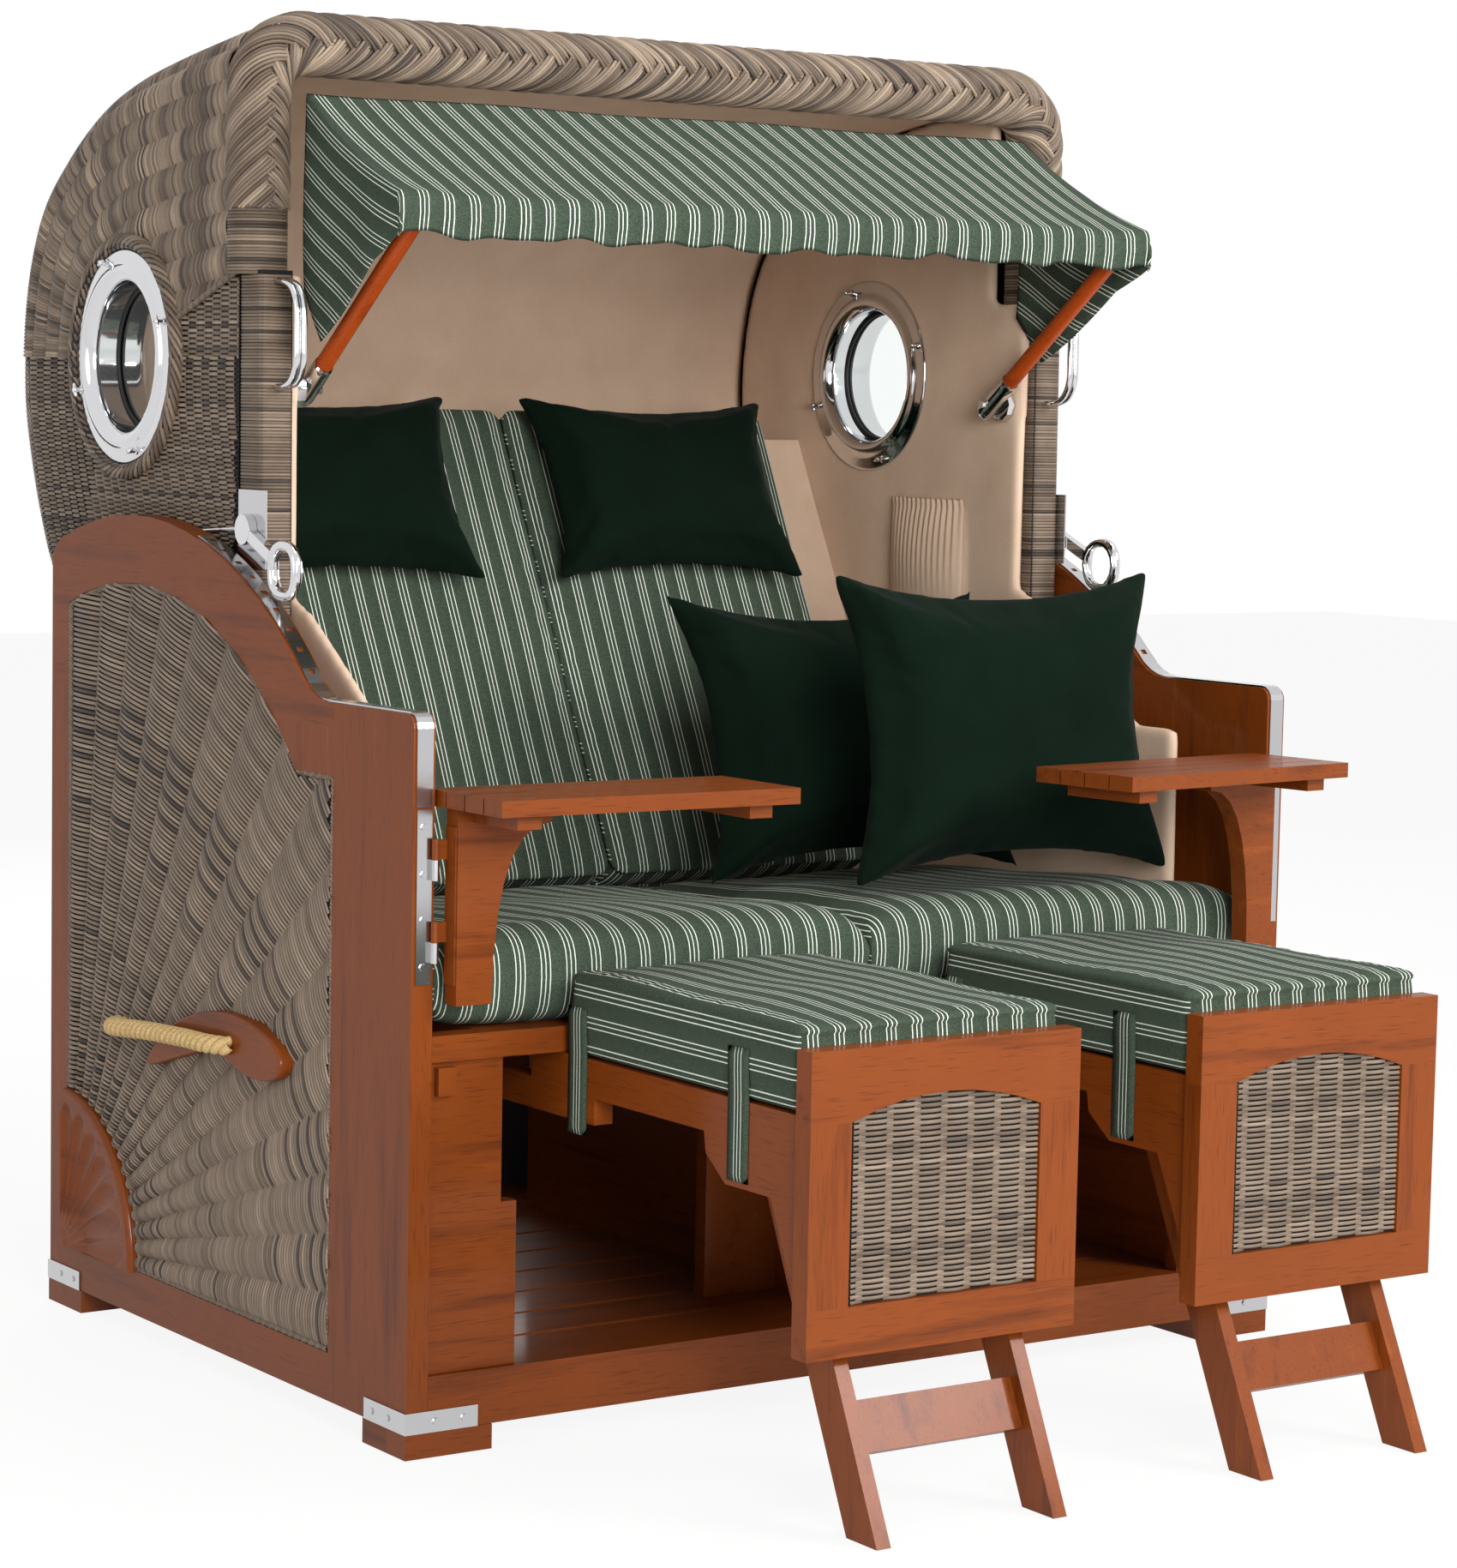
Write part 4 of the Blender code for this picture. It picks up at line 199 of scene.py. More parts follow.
class Shader:
    """A material's node tree with short calls for adding nodes."""

    def __init__(self, name):
        self.material = bpy.data.materials.new(name)
        self.material.use_nodes = True
        self.tree = self.material.node_tree
        self.surface = self.tree.nodes["Principled BSDF"]

    def add(self, kind, inputs=None, **settings):
        """A new node with its settings, each input given a value or linked to a socket."""
        node = self.tree.nodes.new("ShaderNode" + kind)
        for key, value in settings.items():
            setattr(node, key, value)
        for key, value in (inputs or {}).items():
            self.put(node.inputs[key], value)
        return node

    def put(self, socket, value):
        if isinstance(value, bpy.types.NodeSocket):
            self.tree.links.new(value, socket)
        else:
            socket.default_value = value

    def set(self, **inputs):
        """Give the surface's sockets their values; an underscore stands for a space."""
        for key, value in inputs.items():
            self.put(self.surface.inputs[key.replace("_", " ")], value)

    def coordinates(self):
        return self.add("TexCoord").outputs["Object"]

    def split(self, vector):
        return self.add("SeparateXYZ", {0: vector}).outputs

    def math(self, operation, a, b=0.0, c=0.0):
        return self.add("Math", {0: a, 1: b, 2: c}, operation=operation).outputs[0]

    def noise(self, vector, scale, detail=3.0, roughness=0.5):
        inputs = {"Vector": vector, "Scale": scale, "Detail": detail, "Roughness": roughness}
        return self.add("TexNoise", inputs).outputs["Fac"]

    def stretched(self, vector, scale):
        return self.add("Mapping", {"Vector": vector, "Scale": scale}).outputs[0]

    def ramp(self, value, stops):
        node = self.add("ValToRGB", {"Fac": value})
        band = node.color_ramp
        while len(band.elements) < len(stops):
            band.elements.new(0.5)
        for element, (spot, code) in zip(band.elements, stops):
            element.position = spot
            element.color = linear(code)
        return node.outputs["Color"]

    def mix(self, share, a, b, blend="MIX"):
        node = self.add("Mix", data_type="RGBA", blend_type=blend)
        self.put(node.inputs["Factor"], share)
        self.put(node.inputs["A"], a)
        self.put(node.inputs["B"], b)
        return node.outputs["Result"]

    def bump(self, height, strength, distance, under=None):
        inputs = {"Height": height, "Strength": strength, "Distance": distance}
        if under is not None:
            inputs["Normal"] = under
        return self.add("Bump", inputs).outputs[0]


def rattan(name, dark=0.0):
    """Round polyrattan strands: brown, grey, beige and near black ones side by side, faintly streaked.

    Extruded plastic, so a soft satin shine. Each strand's colour comes from its tone attribute, with a drift
    over about 30 mm; on twisted canes that attribute also holds painted shade towards the twist's middle.
    dark mixes in near black, for what lies in shade behind the strands.
    """
    s = Shader(name)
    tone = s.add("Attribute", attribute_name="tone").outputs["Fac"]
    place = s.coordinates()
    drift = s.noise(place, 35.0, 2.0)
    value = s.math("ADD", tone, s.math("MULTIPLY", s.math("SUBTRACT", drift, 0.5), 0.25))
    colour = s.ramp(value, [(0.0, "2c2725"), (0.22, "453c37"), (0.42, "655649"), (0.6, "7e6e5f"),
                            (0.78, "958372"), (1.0, "b39f88")])
    streak = s.noise(place, 900.0, 2.0)
    colour = s.mix(s.math("MULTIPLY", streak, 0.25), colour, linear("4a3c32"))
    if dark:
        colour = s.mix(dark, colour, linear("120e0c"))
    s.set(Base_Color=colour, Roughness=0.45, Specular_IOR_Level=0.25)
    s.set(Normal=s.bump(streak, 0.2, 0.0003))
    return s.material


# Noise scales by the grain's direction: figure about 30 mm across the grain, and pores about 1.6 mm
LONG_GRAIN = {"X": (2.2, 34.0, 34.0), "Y": (34.0, 2.2, 34.0), "Z": (34.0, 34.0, 2.2)}
FINE_GRAIN = {"X": (26.0, 620.0, 620.0), "Y": (620.0, 26.0, 620.0), "Z": (620.0, 620.0, 26.0)}


def mahogany(name, grain="Z", others=(), tint="7c3b0d", deep="4f2106", pale="9a5015"):
    """Varnished red-brown mahogany: straight fine grain, short dark pores, a glossy coat.

    others lists (axis, mask): where the mask's shader gives 1, the boards' grain runs along that axis.
    """
    s = Shader(name)
    place = s.coordinates()

    def laid(table):
        vector = s.stretched(place, table[grain])
        for axis, mask in others:
            blend = s.add("Mix", data_type="VECTOR")
            s.put(blend.inputs["Factor"], mask(s, place))
            s.put(blend.inputs[4], vector)
            s.put(blend.inputs[5], s.stretched(place, table[axis]))
            vector = blend.outputs[1]
        return vector

    figure = s.noise(laid(LONG_GRAIN), 1.0, 5.0, 0.6)
    colour = s.ramp(figure, [(0.25, deep), (0.45, tint), (0.62, tint), (0.85, pale)])
    speck = s.noise(laid(FINE_GRAIN), 1.0, 2.0)
    dots = s.ramp(speck, [(0.30, "000000"), (0.42, "ffffff")])
    colour = s.mix(s.math("MULTIPLY", s.math("SUBTRACT", 1.0, dots), 0.45), colour, linear("2e0f06"))
    cloud = s.noise(place, 7.0, 2.0)
    colour = s.mix(s.math("MULTIPLY", cloud, 0.35), colour, linear(deep))
    s.set(Base_Color=colour, Roughness=0.5, Specular_IOR_Level=0.12, Coat_Weight=0.22,
          Coat_Roughness=0.12)
    s.set(Normal=s.bump(speck, 0.12, 0.0003))
    return s.material


def within(*limits):
    """A mask that is 1 inside all the limits (axis number, low, high).

    X counts as its distance from the middle.
    """
    def mask(s, place):
        parts = s.split(place)
        share = None
        for axis, low, high in limits:
            value = s.math("ABSOLUTE", parts[0]) if axis == 0 else parts[axis]
            near = s.math("MULTIPLY", s.math("GREATER_THAN", value, low), s.math("LESS_THAN", value, high))
            share = near if share is None else s.math("MULTIPLY", share, near)
        return share
    return mask


def chrome(name, shade="d6d6d8", rough=0.05):
    """Polished stainless steel: a clear mirror with faint wipe marks."""
    s = Shader(name)
    place = s.coordinates()
    marks = s.noise(place, 60.0, 4.0)
    rough_value = s.math("ADD", rough, s.math("MULTIPLY", marks, 0.06))
    s.set(Base_Color=linear(shade), Metallic=1.0, Roughness=rough_value)
    s.set(Normal=s.bump(s.noise(place, 25.0, 2.0), 0.04, 0.001))
    return s.material


def weave_relief(s, scale=1700.0):
    """Plain cloth's own relief: two crossed sets of threads about 0.9 mm apart, as the sines' product."""
    place = s.coordinates()
    x, y, z = s.split(place)
    first = s.math("SINE", s.math("MULTIPLY", s.math("ADD", x, s.math("MULTIPLY", y, 0.6)), scale * 4))
    second = s.math("SINE", s.math("MULTIPLY", s.math("ADD", z, s.math("MULTIPLY", y, 0.8)), scale * 4))
    return s.math("MULTIPLY", first, second)


def plain_cloth(name, base, light, sheen=0.25, mottle=0.35):
    """Matt woven cloth: two close shades of yarn, fine thread relief and soft sheen at the edges."""
    s = Shader(name)
    place = s.coordinates()
    yarn = s.noise(place, 1400.0, 2.0)
    patch = s.noise(place, 18.0, 3.0)
    share = s.math("ADD", s.math("MULTIPLY", yarn, 0.7), s.math("MULTIPLY", patch, mottle))
    colour = s.ramp(share, [(0.3, base), (0.75, light)])
    s.set(Base_Color=colour, Roughness=0.95, Specular_IOR_Level=0.06, Sheen_Weight=sheen, Sheen_Roughness=0.4)
    s.set(Normal=s.bump(s.math("ADD", yarn, s.math("MULTIPLY", weave_relief(s), 0.3)), 0.35, 0.0004))
    return s.material


def striped_cloth(name, along=None):
    """Grey-green flecked cloth with white lines in threes, 1.3 mm wide and 5.8 mm apart, every 33 mm.

    The lines lie at equal steps of the stripe attribute, or of the object's X where along is None.
    Faces that look to the side take the lines from their height.
    """
    s = Shader(name)
    coordinates = s.add("TexCoord")
    place = coordinates.outputs["Object"]
    x, _, z = s.split(place)
    if along == "attribute":
        across = s.add("Attribute", attribute_name="stripe").outputs["Fac"]
    else:
        facing = s.math("ABSOLUTE", s.split(coordinates.outputs["Normal"])[0])
        sideways = s.math("GREATER_THAN", facing, 0.72)
        across = s.math("ADD", s.math("MULTIPLY", x, s.math("SUBTRACT", 1.0, sideways)),
                        s.math("MULTIPLY", z, sideways))
    fray = s.math("MULTIPLY", s.math("SUBTRACT", s.noise(place, 900.0, 1.0), 0.5), 0.0002)
    spot = s.math("ADD", s.math("ADD", across, fray), 10.0)
    repeat = 0.033
    cell = s.math("MULTIPLY", s.math("FRACT", s.math("DIVIDE", spot, repeat)), repeat)
    lines = None
    for centre in (0.0107, 0.0165, 0.0223):
        near = s.math("LESS_THAN", s.math("ABSOLUTE", s.math("SUBTRACT", cell, centre)), 0.00064)
        lines = near if lines is None else s.math("ADD", lines, near)
    wide = s.math("SINE", s.math("MULTIPLY", spot, 2 * math.pi / repeat))
    yarn = s.noise(place, 1100.0, 2.0, 0.7)
    ground = s.ramp(yarn, [(0.3, "212a20"), (0.5, "39453a"), (0.7, "5f6c5d")])
    warm = s.noise(place, 700.0, 1.0)
    ground = s.mix(s.math("MULTIPLY", s.math("GREATER_THAN", warm, 0.62), 0.3), ground, linear("48492f"))
    ground = s.mix(s.math("MULTIPLY", s.math("ADD", wide, 1.0), 0.10), ground, linear("263127"))
    colour = s.mix(lines, ground, linear("d5dccf"))
    s.set(Base_Color=colour, Roughness=0.95, Specular_IOR_Level=0.08, Sheen_Weight=0.02, Sheen_Roughness=0.4)
    s.set(Normal=s.bump(s.math("ADD", yarn, s.math("MULTIPLY", lines, 0.6)), 0.4, 0.0004))
    return s.material


def clear_glass(name):
    """Thin clear pane with a faint green tint; it lets light through without bending it."""
    s = Shader(name)
    tree = s.tree
    see = s.add("BsdfTransparent", {"Color": linear("fcfefd")}).outputs[0]
    shine = s.add("BsdfGlossy", {"Color": linear("ffffff"), "Roughness": 0.02}).outputs[0]
    facing = s.add("Fresnel", {"IOR": 1.25}).outputs[0]
    behind = s.add("NewGeometry").outputs["Backfacing"]
    share = s.math("MULTIPLY", facing, s.math("SUBTRACT", 1.0, behind))
    both = s.add("MixShader", {0: share, 1: see, 2: shine}).outputs[0]
    tree.links.new(both, tree.nodes["Material Output"].inputs["Surface"])
    return s.material


def rope_fibre(name):
    """Pale golden natural fibre rope: fine lengthwise hairs, and painted shade that darkens it in the hollows
    between its strands.
    """
    s = Shader(name)
    place = s.coordinates()
    hair = s.noise(s.stretched(place, (900.0, 160.0, 900.0)), 1.0, 3.0)
    depth = s.add("Attribute", attribute_name="tone").outputs["Fac"]
    colour = s.ramp(hair, [(0.25, "a07e4c"), (0.5, "c9a971"), (0.75, "e6cd9b")])
    # Painted shade: the tone attribute falls towards the rope's middle line, so the hollows between its
    # strands come out darker.
    colour = s.mix(s.math("MULTIPLY", s.math("SUBTRACT", 1.0, depth), 0.6), colour, linear("7c5c31"))
    s.set(Base_Color=colour, Roughness=0.9)
    s.set(Normal=s.bump(hair, 0.35, 0.0004))
    return s.material


def rubber(name):
    """Black rubber seal, slightly dusty."""
    s = Shader(name)
    dust = s.noise(s.coordinates(), 300.0, 2.0)
    s.set(Base_Color=s.ramp(dust, [(0.3, "0c0c0c"), (0.8, "1d1d1d")]), Roughness=0.6)
    return s.material


# Outlines and surfaces of the frame

def inside(points, outline):
    """True where a point (..., 2) lies inside the closed outline, by counting the edges that it crosses."""
    y, z = points[..., 0], points[..., 1]
    hit = np.zeros(y.shape, dtype=bool)
    a = np.asarray(outline)
    b = np.roll(a, -1, axis=0)
    for (ya, za), (yb, zb) in zip(a, b):
        if za != zb:
            hit ^= ((za > z) != (zb > z)) & (y < (yb - ya) * (z - za) / (zb - za) + ya)
    return hit


def arc_points(centre, radius, start, end, count):
    """centre + radius (cos a, sin a) for count angles from start to end."""
    a = np.linspace(start, end, count)
    return np.stack([centre[0] + radius * np.cos(a), centre[1] + radius * np.sin(a)], -1)


# The opening of a side panel: a sill, an upright front and rear, and an arc about the pivot on top
OPEN_START = math.acos((FAN_CORNER[0] - PIVOT[0]) / PANEL_ARC)
OPEN_END = math.pi - math.asin((0.735 - PIVOT[1]) / PANEL_ARC)
OPENING = np.vstack([[(-0.102, 0.083), FAN_CORNER],
                     arc_points(PIVOT, PANEL_ARC, OPEN_START, OPEN_END, 40), [(-0.102, 0.735)]])

# The hood's outline as a line of points, with its outward normals and its length up to each point
LINE = smooth_line(PROFILE, 600)
LINE_ALONG = unit(np.gradient(LINE, axis=0))
LINE_OUT = np.stack([-LINE_ALONG[:, 1], LINE_ALONG[:, 0]], -1)
if LINE_OUT[0, 1] < 0:
    LINE_OUT = -LINE_OUT
LINE_LENGTH = lengths(LINE)


def nearest_on_line(points):
    """Distance of each point (..., 2) from the hood's outline, and the outline's outward normal there."""
    flat = points.reshape(-1, 2)
    best = np.empty(len(flat), dtype=int)
    for start in range(0, len(flat), 20000):
        block = flat[start:start + 20000]
        gap = ((block[:, None] - LINE[None, ::2]) ** 2).sum(-1)
        best[start:start + 20000] = gap.argmin(1) * 2
    gap = np.abs(((flat - LINE[best]) * LINE_OUT[best]).sum(1))
    return gap.reshape(points.shape[:-1]), LINE_OUT[best].reshape(points.shape)


def side_skin(points):
    """The hood's right side over points (Y, Z): flat, and rounding over to the roof at its outline.

    At distance d < R inside the outline, X = face - R (1 - sqrt(1 - (1 - d / R)^2)).
    """
    gap, out = nearest_on_line(points)
    s = np.clip(1 - gap / EDGE, 0, 1)
    c = np.sqrt(1 - s ** 2)
    x = SKIN_FACE - EDGE * (1 - c)
    place = np.concatenate([x[..., None], points], -1)
    normal = unit(np.concatenate([c[..., None], out * s[..., None]], -1))
    return place, normal


def weave_height(along, row, band, rise):
    """Over and under a stake every band: rise * cos(pi * along / band), turned about on every other row."""
    sign = np.where(row % 2 == 0, 1.0, -1.0)[:, None]
    return rise * np.cos(np.pi * (along / band)) * sign


def strand_tones(count, seed, mean=0.58, spread=0.09, patch=0.0, dark_share=0.05):
    """A tone from 0 to 1 for each strand: even mid browns, and a few dark ones.

    Where patch isn't 0, they drift in patches of 8 to 16 strands of the same parity.
    """
    chance = np.random.default_rng(seed)
    tone = chance.normal(mean, spread, count)
    for parity in (0, 1):
        knots = chance.normal(0, patch, count // 14 + 3)
        spots = np.arange(count)[parity::2] / 14.0 + parity * 0.5
        tone[parity::2] += np.interp(spots, np.arange(len(knots)), knots)
    dark = chance.random(count) < dark_share
    tone[dark] = chance.uniform(0.12, 0.3, dark.sum())
    return np.clip(tone, 0.05, 0.97)


def run_length(points):
    """Length along each row of points up to each of them."""
    step = np.linalg.norm(np.diff(points, axis=1), axis=2)
    return np.concatenate([np.zeros((len(points), 1)), np.cumsum(step, axis=1)], 1)


RATTAN = rattan("polyrattan_strands")
CORE = rattan("polyrattan_shadow", 0.86)


# Woven side panels: strands on arcs round the carved shell's corner

def panel_weave(sign, side):
    """Arcs about the rear lower corner: (Y, Z) = corner + r (-cos t, sin t), in and out of 16 ribs.

    A strand stands out by 7.4 mm * cos(pi (16 t / (pi / 2) + 1 / 2)), a little squared; the next one is
    turned about. Its parts that lie behind the ribs are left out.
    """
    radii = np.arange(0.196, 1.0, 0.0031)
    bands = 16
    turn = np.linspace(0, math.pi / 2, bands * 7 + 1)
    r, t = np.meshgrid(radii, turn, indexing="ij")
    flat = np.stack([FAN_CORNER[0] - r * np.cos(t), FAN_CORNER[1] + r * np.sin(t)], -1)
    row = np.arange(len(radii))
    wave = np.cos(np.pi * (t / (math.pi / 2) * bands + 0.5)) * np.where(row % 2 == 0, 1.0, -1.0)[:, None]
    height = 0.0074 * np.sign(wave) * np.abs(wave) ** 0.8 - 0.0004
    centre = np.concatenate([(SIDE_FACE + height)[..., None] * sign, flat], -1)
    normal = np.broadcast_to(np.array([sign, 0.0, 0.0]), centre.shape)
    keep = inside(flat, OPENING) & (height > -0.0055)
    if sign > 0:
        centre, normal, keep = centre[:, ::-1], normal[:, ::-1], keep[:, ::-1]
    tones = strand_tones(len(radii), 3, 0.66, 0.08)
    piece = canes("side_strands_" + side, centre, normal, 0.0042, 0.0020, tones, RATTAN, "base", keep=keep)
    # Binding cane twisted along the opening and round the shell
    shell = arc_points(FAN_CORNER, 0.203, math.pi, math.pi / 2, 30)
    route = np.vstack([OPENING[:1] + [0.003, 0.003], [(0.38, 0.086)], shell, [(0.581, 0.3)],
                       [(0.581, 0.59)], arc_points(PIVOT, PANEL_ARC - 0.003, OPEN_START, OPEN_END, 60),
                       [(-0.099, 0.733), (-0.099, 0.4), (-0.099, 0.087)]])
    dense = []
    for a, b in zip(route, route[1:]):
        steps = max(2, int(np.linalg.norm(b - a) / 0.004))
        dense.append(a + (b - a) * np.linspace(0, 1, steps, endpoint=False)[:, None])
    line = np.vstack(dense)
    line = np.concatenate([np.full((len(line), 1), sign * (SIDE_FACE + 0.0028)), line], 1)
    rope = twisted("panel_binding_" + side, line, 0.0022, 0.0022, 3, 0.016, RATTAN, "base", 7)


def sweep_frames(line, up=(1.0, 0.0, 0.0)):
    """Unit tangents with two crossing unit vectors along a line of points."""
    along = unit(np.gradient(line, axis=0))
    side = unit(np.cross(along, np.broadcast_to(np.asarray(up), along.shape)))
    top = np.cross(side, along)
    return along, side, top


def tube(line, radius, sides, up=(1.0, 0.0, 0.0)):
    """Points and faces of a round tube along a line; radius may change along it."""
    _, side, top = sweep_frames(line, up)
    a = np.linspace(0, 2 * math.pi, sides, endpoint=False)[None, :, None]
    radius = np.broadcast_to(np.asarray(radius, dtype=float), (len(line),))[:, None, None]
    verts = line[:, None] + radius * (np.cos(a) * side[:, None] + np.sin(a) * top[:, None])
    return verts.reshape(-1, 3), grid_faces(len(line), sides, True)


def twisted(name, line, circle, radius, strands, lay, material, body, seed, up=(1.0, 0.0, 0.0),
            sides=6):
    """Round strands wound about each other on a circle round the line.

    At length s, the k-th lies at the angle 2 pi (s / lay + k / strands).
    """
    length = lengths(line)
    _, side, top = sweep_frames(line, up)
    verts, faces, tones = [], [], []
    chance = np.random.default_rng(seed)
    for k in range(strands):
        a = 2 * math.pi * (length / lay + k / strands)
        middle = line + circle * (np.cos(a)[:, None] * side + np.sin(a)[:, None] * top)
        v, f = tube(middle, radius, sides, up)
        f = f[:, ::-1]
        faces.append(f + len(line) * sides * k)
        verts.append(v)
        # rim falls from 1 at the outside towards the line's middle, so the tone darkens the hollows between
        # the strands: painted shade. The random factor is each strand's own tone.
        rim = np.linalg.norm(v.reshape(len(line), sides, 3) - line[:, None], axis=2) / (circle + radius)
        shade = chance.uniform(0.35, 0.75) if material is RATTAN else 1.0
        tones.append((np.clip(rim, 0, 1) * shade).ravel())
    return add_mesh(name, np.vstack(verts), np.vstack(faces), material, body, {"tone": np.concatenate(tones)})


# Hood weave

def hood_wrap(name, first, last, pitch, band, rise, inward, reach, seed, cut):
    """Strands that run along X over the roof or back and turn over both edges down the sides.

    They start on the outline between two arc lengths. inward gives each one's direction down the side,
    reach how far it runs there, and the wave counts from the middle of the chair outwards. cut gives
    the part of the side (Y, Z) that they cover. The coarse weave has bands of more than 30 mm.
    """
    wide = band > 0.03
    spots = np.arange(first, last, pitch)
    base = np.stack([np.interp(spots, LINE_LENGTH, LINE[:, k]) for k in (0, 1)], -1)
    out = unit(np.stack([np.interp(spots, LINE_LENGTH, LINE_OUT[:, k]) for k in (0, 1)], -1))
    head = inward(base)
    turn = np.linspace(math.pi / 2, 0, 9)
    near = EDGE * (1 - np.sin(turn))
    step = 0.0070 if wide else 0.0052
    far = np.arange(EDGE + step, reach, step)
    q = np.concatenate([near, far])
    flat = base[:, None] + head[:, None] * q[None, :, None]
    place, normal = side_skin(flat)
    count = len(spots)
    across = np.arange(0.0, SKIN_FACE - EDGE - 0.001, step)
    top = np.empty((count, len(across), 3))
    top[..., 0] = across[None]
    top[..., 1:] = base[:, None]
    top_normal = np.zeros_like(top)
    top_normal[..., 1:] = out[:, None]
    centre = np.concatenate([top, place], 1)
    normal = np.concatenate([top_normal, normal], 1)
    run = run_length(centre)
    height = weave_height(run, np.arange(count), band, rise)
    keep = height > -0.55 * rise
    keep[:, len(across):] &= cut(flat) | (q < 0.012)[None]
    lifted = centre + normal * height[..., None]
    tones = strand_tones(count, seed, 0.56, 0.15 if wide else 0.11, 0.15 if wide else 0.05)
    for sign, side in SIDES:
        scale = np.array([sign, 1.0, 1.0])
        piece = canes(name + "_" + side, lifted * scale, normal * scale, 0.0043 if wide else 0.0042,
                      0.0022, tones, RATTAN, "hood", keep=keep)


def arc_at(test):
    """Arc length of the first outline point that passes the test."""
    return LINE_LENGTH[np.argmax(test(LINE))]


def far_from_port(flat):
    """True outside the wreath's middle line, 141 mm from the porthole's centre."""
    return np.hypot(flat[..., 0] - PORT[0], flat[..., 1] - PORT[1]) > 0.141


def seam_height(y):
    """Height of the line below the front part of the side, where the fine weave starts."""
    return 1.288 - (y - 0.223) * 0.347


def hood_weave():
    """The hood's strands: coarse ones over the roof and round the portholes, fine ones down the back.

    They turn over the edge and run straight down in front, towards the porthole's centre beside it,
    and straight forward below it.
    """
    turn_in = arc_at(lambda p: p[:, 0] > PORT[0])
    level = arc_at(lambda p: p[:, 1] < PORT[1])
    end = LINE_LENGTH[-1] - 0.012

    def down(base):
        return np.broadcast_to(np.array([0.0, -1.0]), base.shape)

    def to_port(base):
        return unit(np.array(PORT) - base)

    def forward(base):
        return np.broadcast_to(np.array([-1.0, 0.0]), base.shape)

    hood_wrap("hood_front_strands", 0.002, turn_in, 0.00255, 0.038, 0.0052, down, 0.34, 11,
              cut=lambda p: (p[..., 1] > seam_height(p[..., 0])) & far_from_port(p))
    hood_wrap("hood_round_strands", turn_in, level, 0.00255, 0.038, 0.0052, to_port, 0.30, 12,
              cut=far_from_port)
    hood_wrap("hood_back_strands", level, end, 0.0031, 0.021, 0.0028, forward, 0.70, 13,
              cut=lambda p: far_from_port(p) & (p[..., 0] > 0.189) & inside(p, SIDE_SHAPE))
    # The fine weave in front of the porthole, between the seam and the porthole's centre
    heights = np.arange(1.2, 1.29, 0.0031)
    y = np.arange(0.189, 0.486, 0.0042)
    flat = np.stack(np.meshgrid(y, heights), -1)
    place, normal = side_skin(flat)
    run = run_length(place)
    height = weave_height(run, np.arange(len(heights)), 0.021, 0.0028)
    keep = (height > -0.0016) & far_from_port(flat) & (flat[..., 1] < seam_height(flat[..., 0]))
    lifted = place + normal * height[..., None]
    for sign, side in SIDES:
        scale = np.array([sign, 1.0, 1.0])
        piece = canes("hood_cheek_strands_" + side, lifted * scale, normal * scale, 0.0041, 0.0016,
                      strand_tones(len(heights), 14), RATTAN, "hood", keep=keep)


def seam_binding():
    """A twisted cane along the lower edge of the coarse weave, from the post to the porthole."""
    y = np.linspace(0.193, 0.372, 60)
    z = seam_height(y) + 0.0015
    for sign, side in SIDES:
        line = np.stack([np.full_like(y, sign * (SKIN_FACE + 0.0045)), y, z], -1)
        rope = twisted("seam_binding_" + side, line, 0.0022, 0.0024, 3, 0.016, RATTAN, "hood", 15)


# The hood's whole side: its rear outline, closed along the bottom and up the front
SIDE_SHAPE = np.vstack([LINE, [(0.40, 0.292), (0.32, 0.302), (0.1955, 0.60), (0.1955, 1.58)]])


# Posts, collars, braid and wreaths

def post_wrap(sign, side):
    """Canes wound round the post: one rounded rectangle every 3.75 mm, leaning with the post."""
    heights = np.arange(0.603, 1.296, 0.00375)
    corner, points = 0.008, []
    low_x, high_x, front, back = 0.551, 0.5925, 0.1405, 0.194
    for cx, cy, start in ((high_x - corner, back - corner, 0), (low_x + corner, back - corner, 90),
                          (low_x + corner, front + corner, 180), (high_x - corner, front + corner, 270)):
        a = np.radians(np.linspace(start, start + 90, 6))
        points.append(np.stack([cx + corner * np.cos(a), cy + corner * np.sin(a), np.cos(a), np.sin(a)], -1))
    loop = np.vstack(points + [points[0][:1]])
    chance = np.random.default_rng(21)
    count = len(heights)
    centre = np.empty((count, len(loop), 3))
    lean = -0.006 * (1.296 - heights) / 0.696
    centre[..., 0] = loop[None, :, 0] * sign
    centre[..., 1] = loop[None, :, 1] + lean[:, None]
    centre[..., 2] = heights[:, None] + chance.normal(0, 0.0002, count)[:, None]
    normal = np.zeros_like(centre)
    normal[..., 0] = loop[None, :, 2] * sign
    normal[..., 1] = loop[None, :, 3]
    if sign < 0:
        centre, normal = centre[:, ::-1], normal[:, ::-1]
    tones = strand_tones(count, 22, 0.56, 0.08, 0.05)
    return canes("post_canes_" + side, centre, normal, 0.0036, 0.0019, tones, RATTAN, "hood")


def collar(sign, side):
    """Canes wound round the bow's foot in 21 rings, in a few shades."""
    heights = np.arange(1.297, 1.375, 0.0038)
    a = np.linspace(0, 2 * math.pi, 33)
    count = len(heights)
    centre = np.empty((count, 33, 3))
    centre[..., 0] = sign * BOW_X + 0.0335 * np.cos(a)
    centre[..., 1] = BOW_Y + 0.0335 * np.sin(a)
    centre[..., 2] = heights[:, None]
    normal = np.stack(np.broadcast_arrays(np.cos(a), np.sin(a), 0.0), -1)[None] * np.ones((count, 1, 1))
    tones = strand_tones(count, 31, 0.5, 0.16)
    return canes("collar_canes_" + side, centre, normal, 0.0037, 0.0021, tones, RATTAN, "hood")


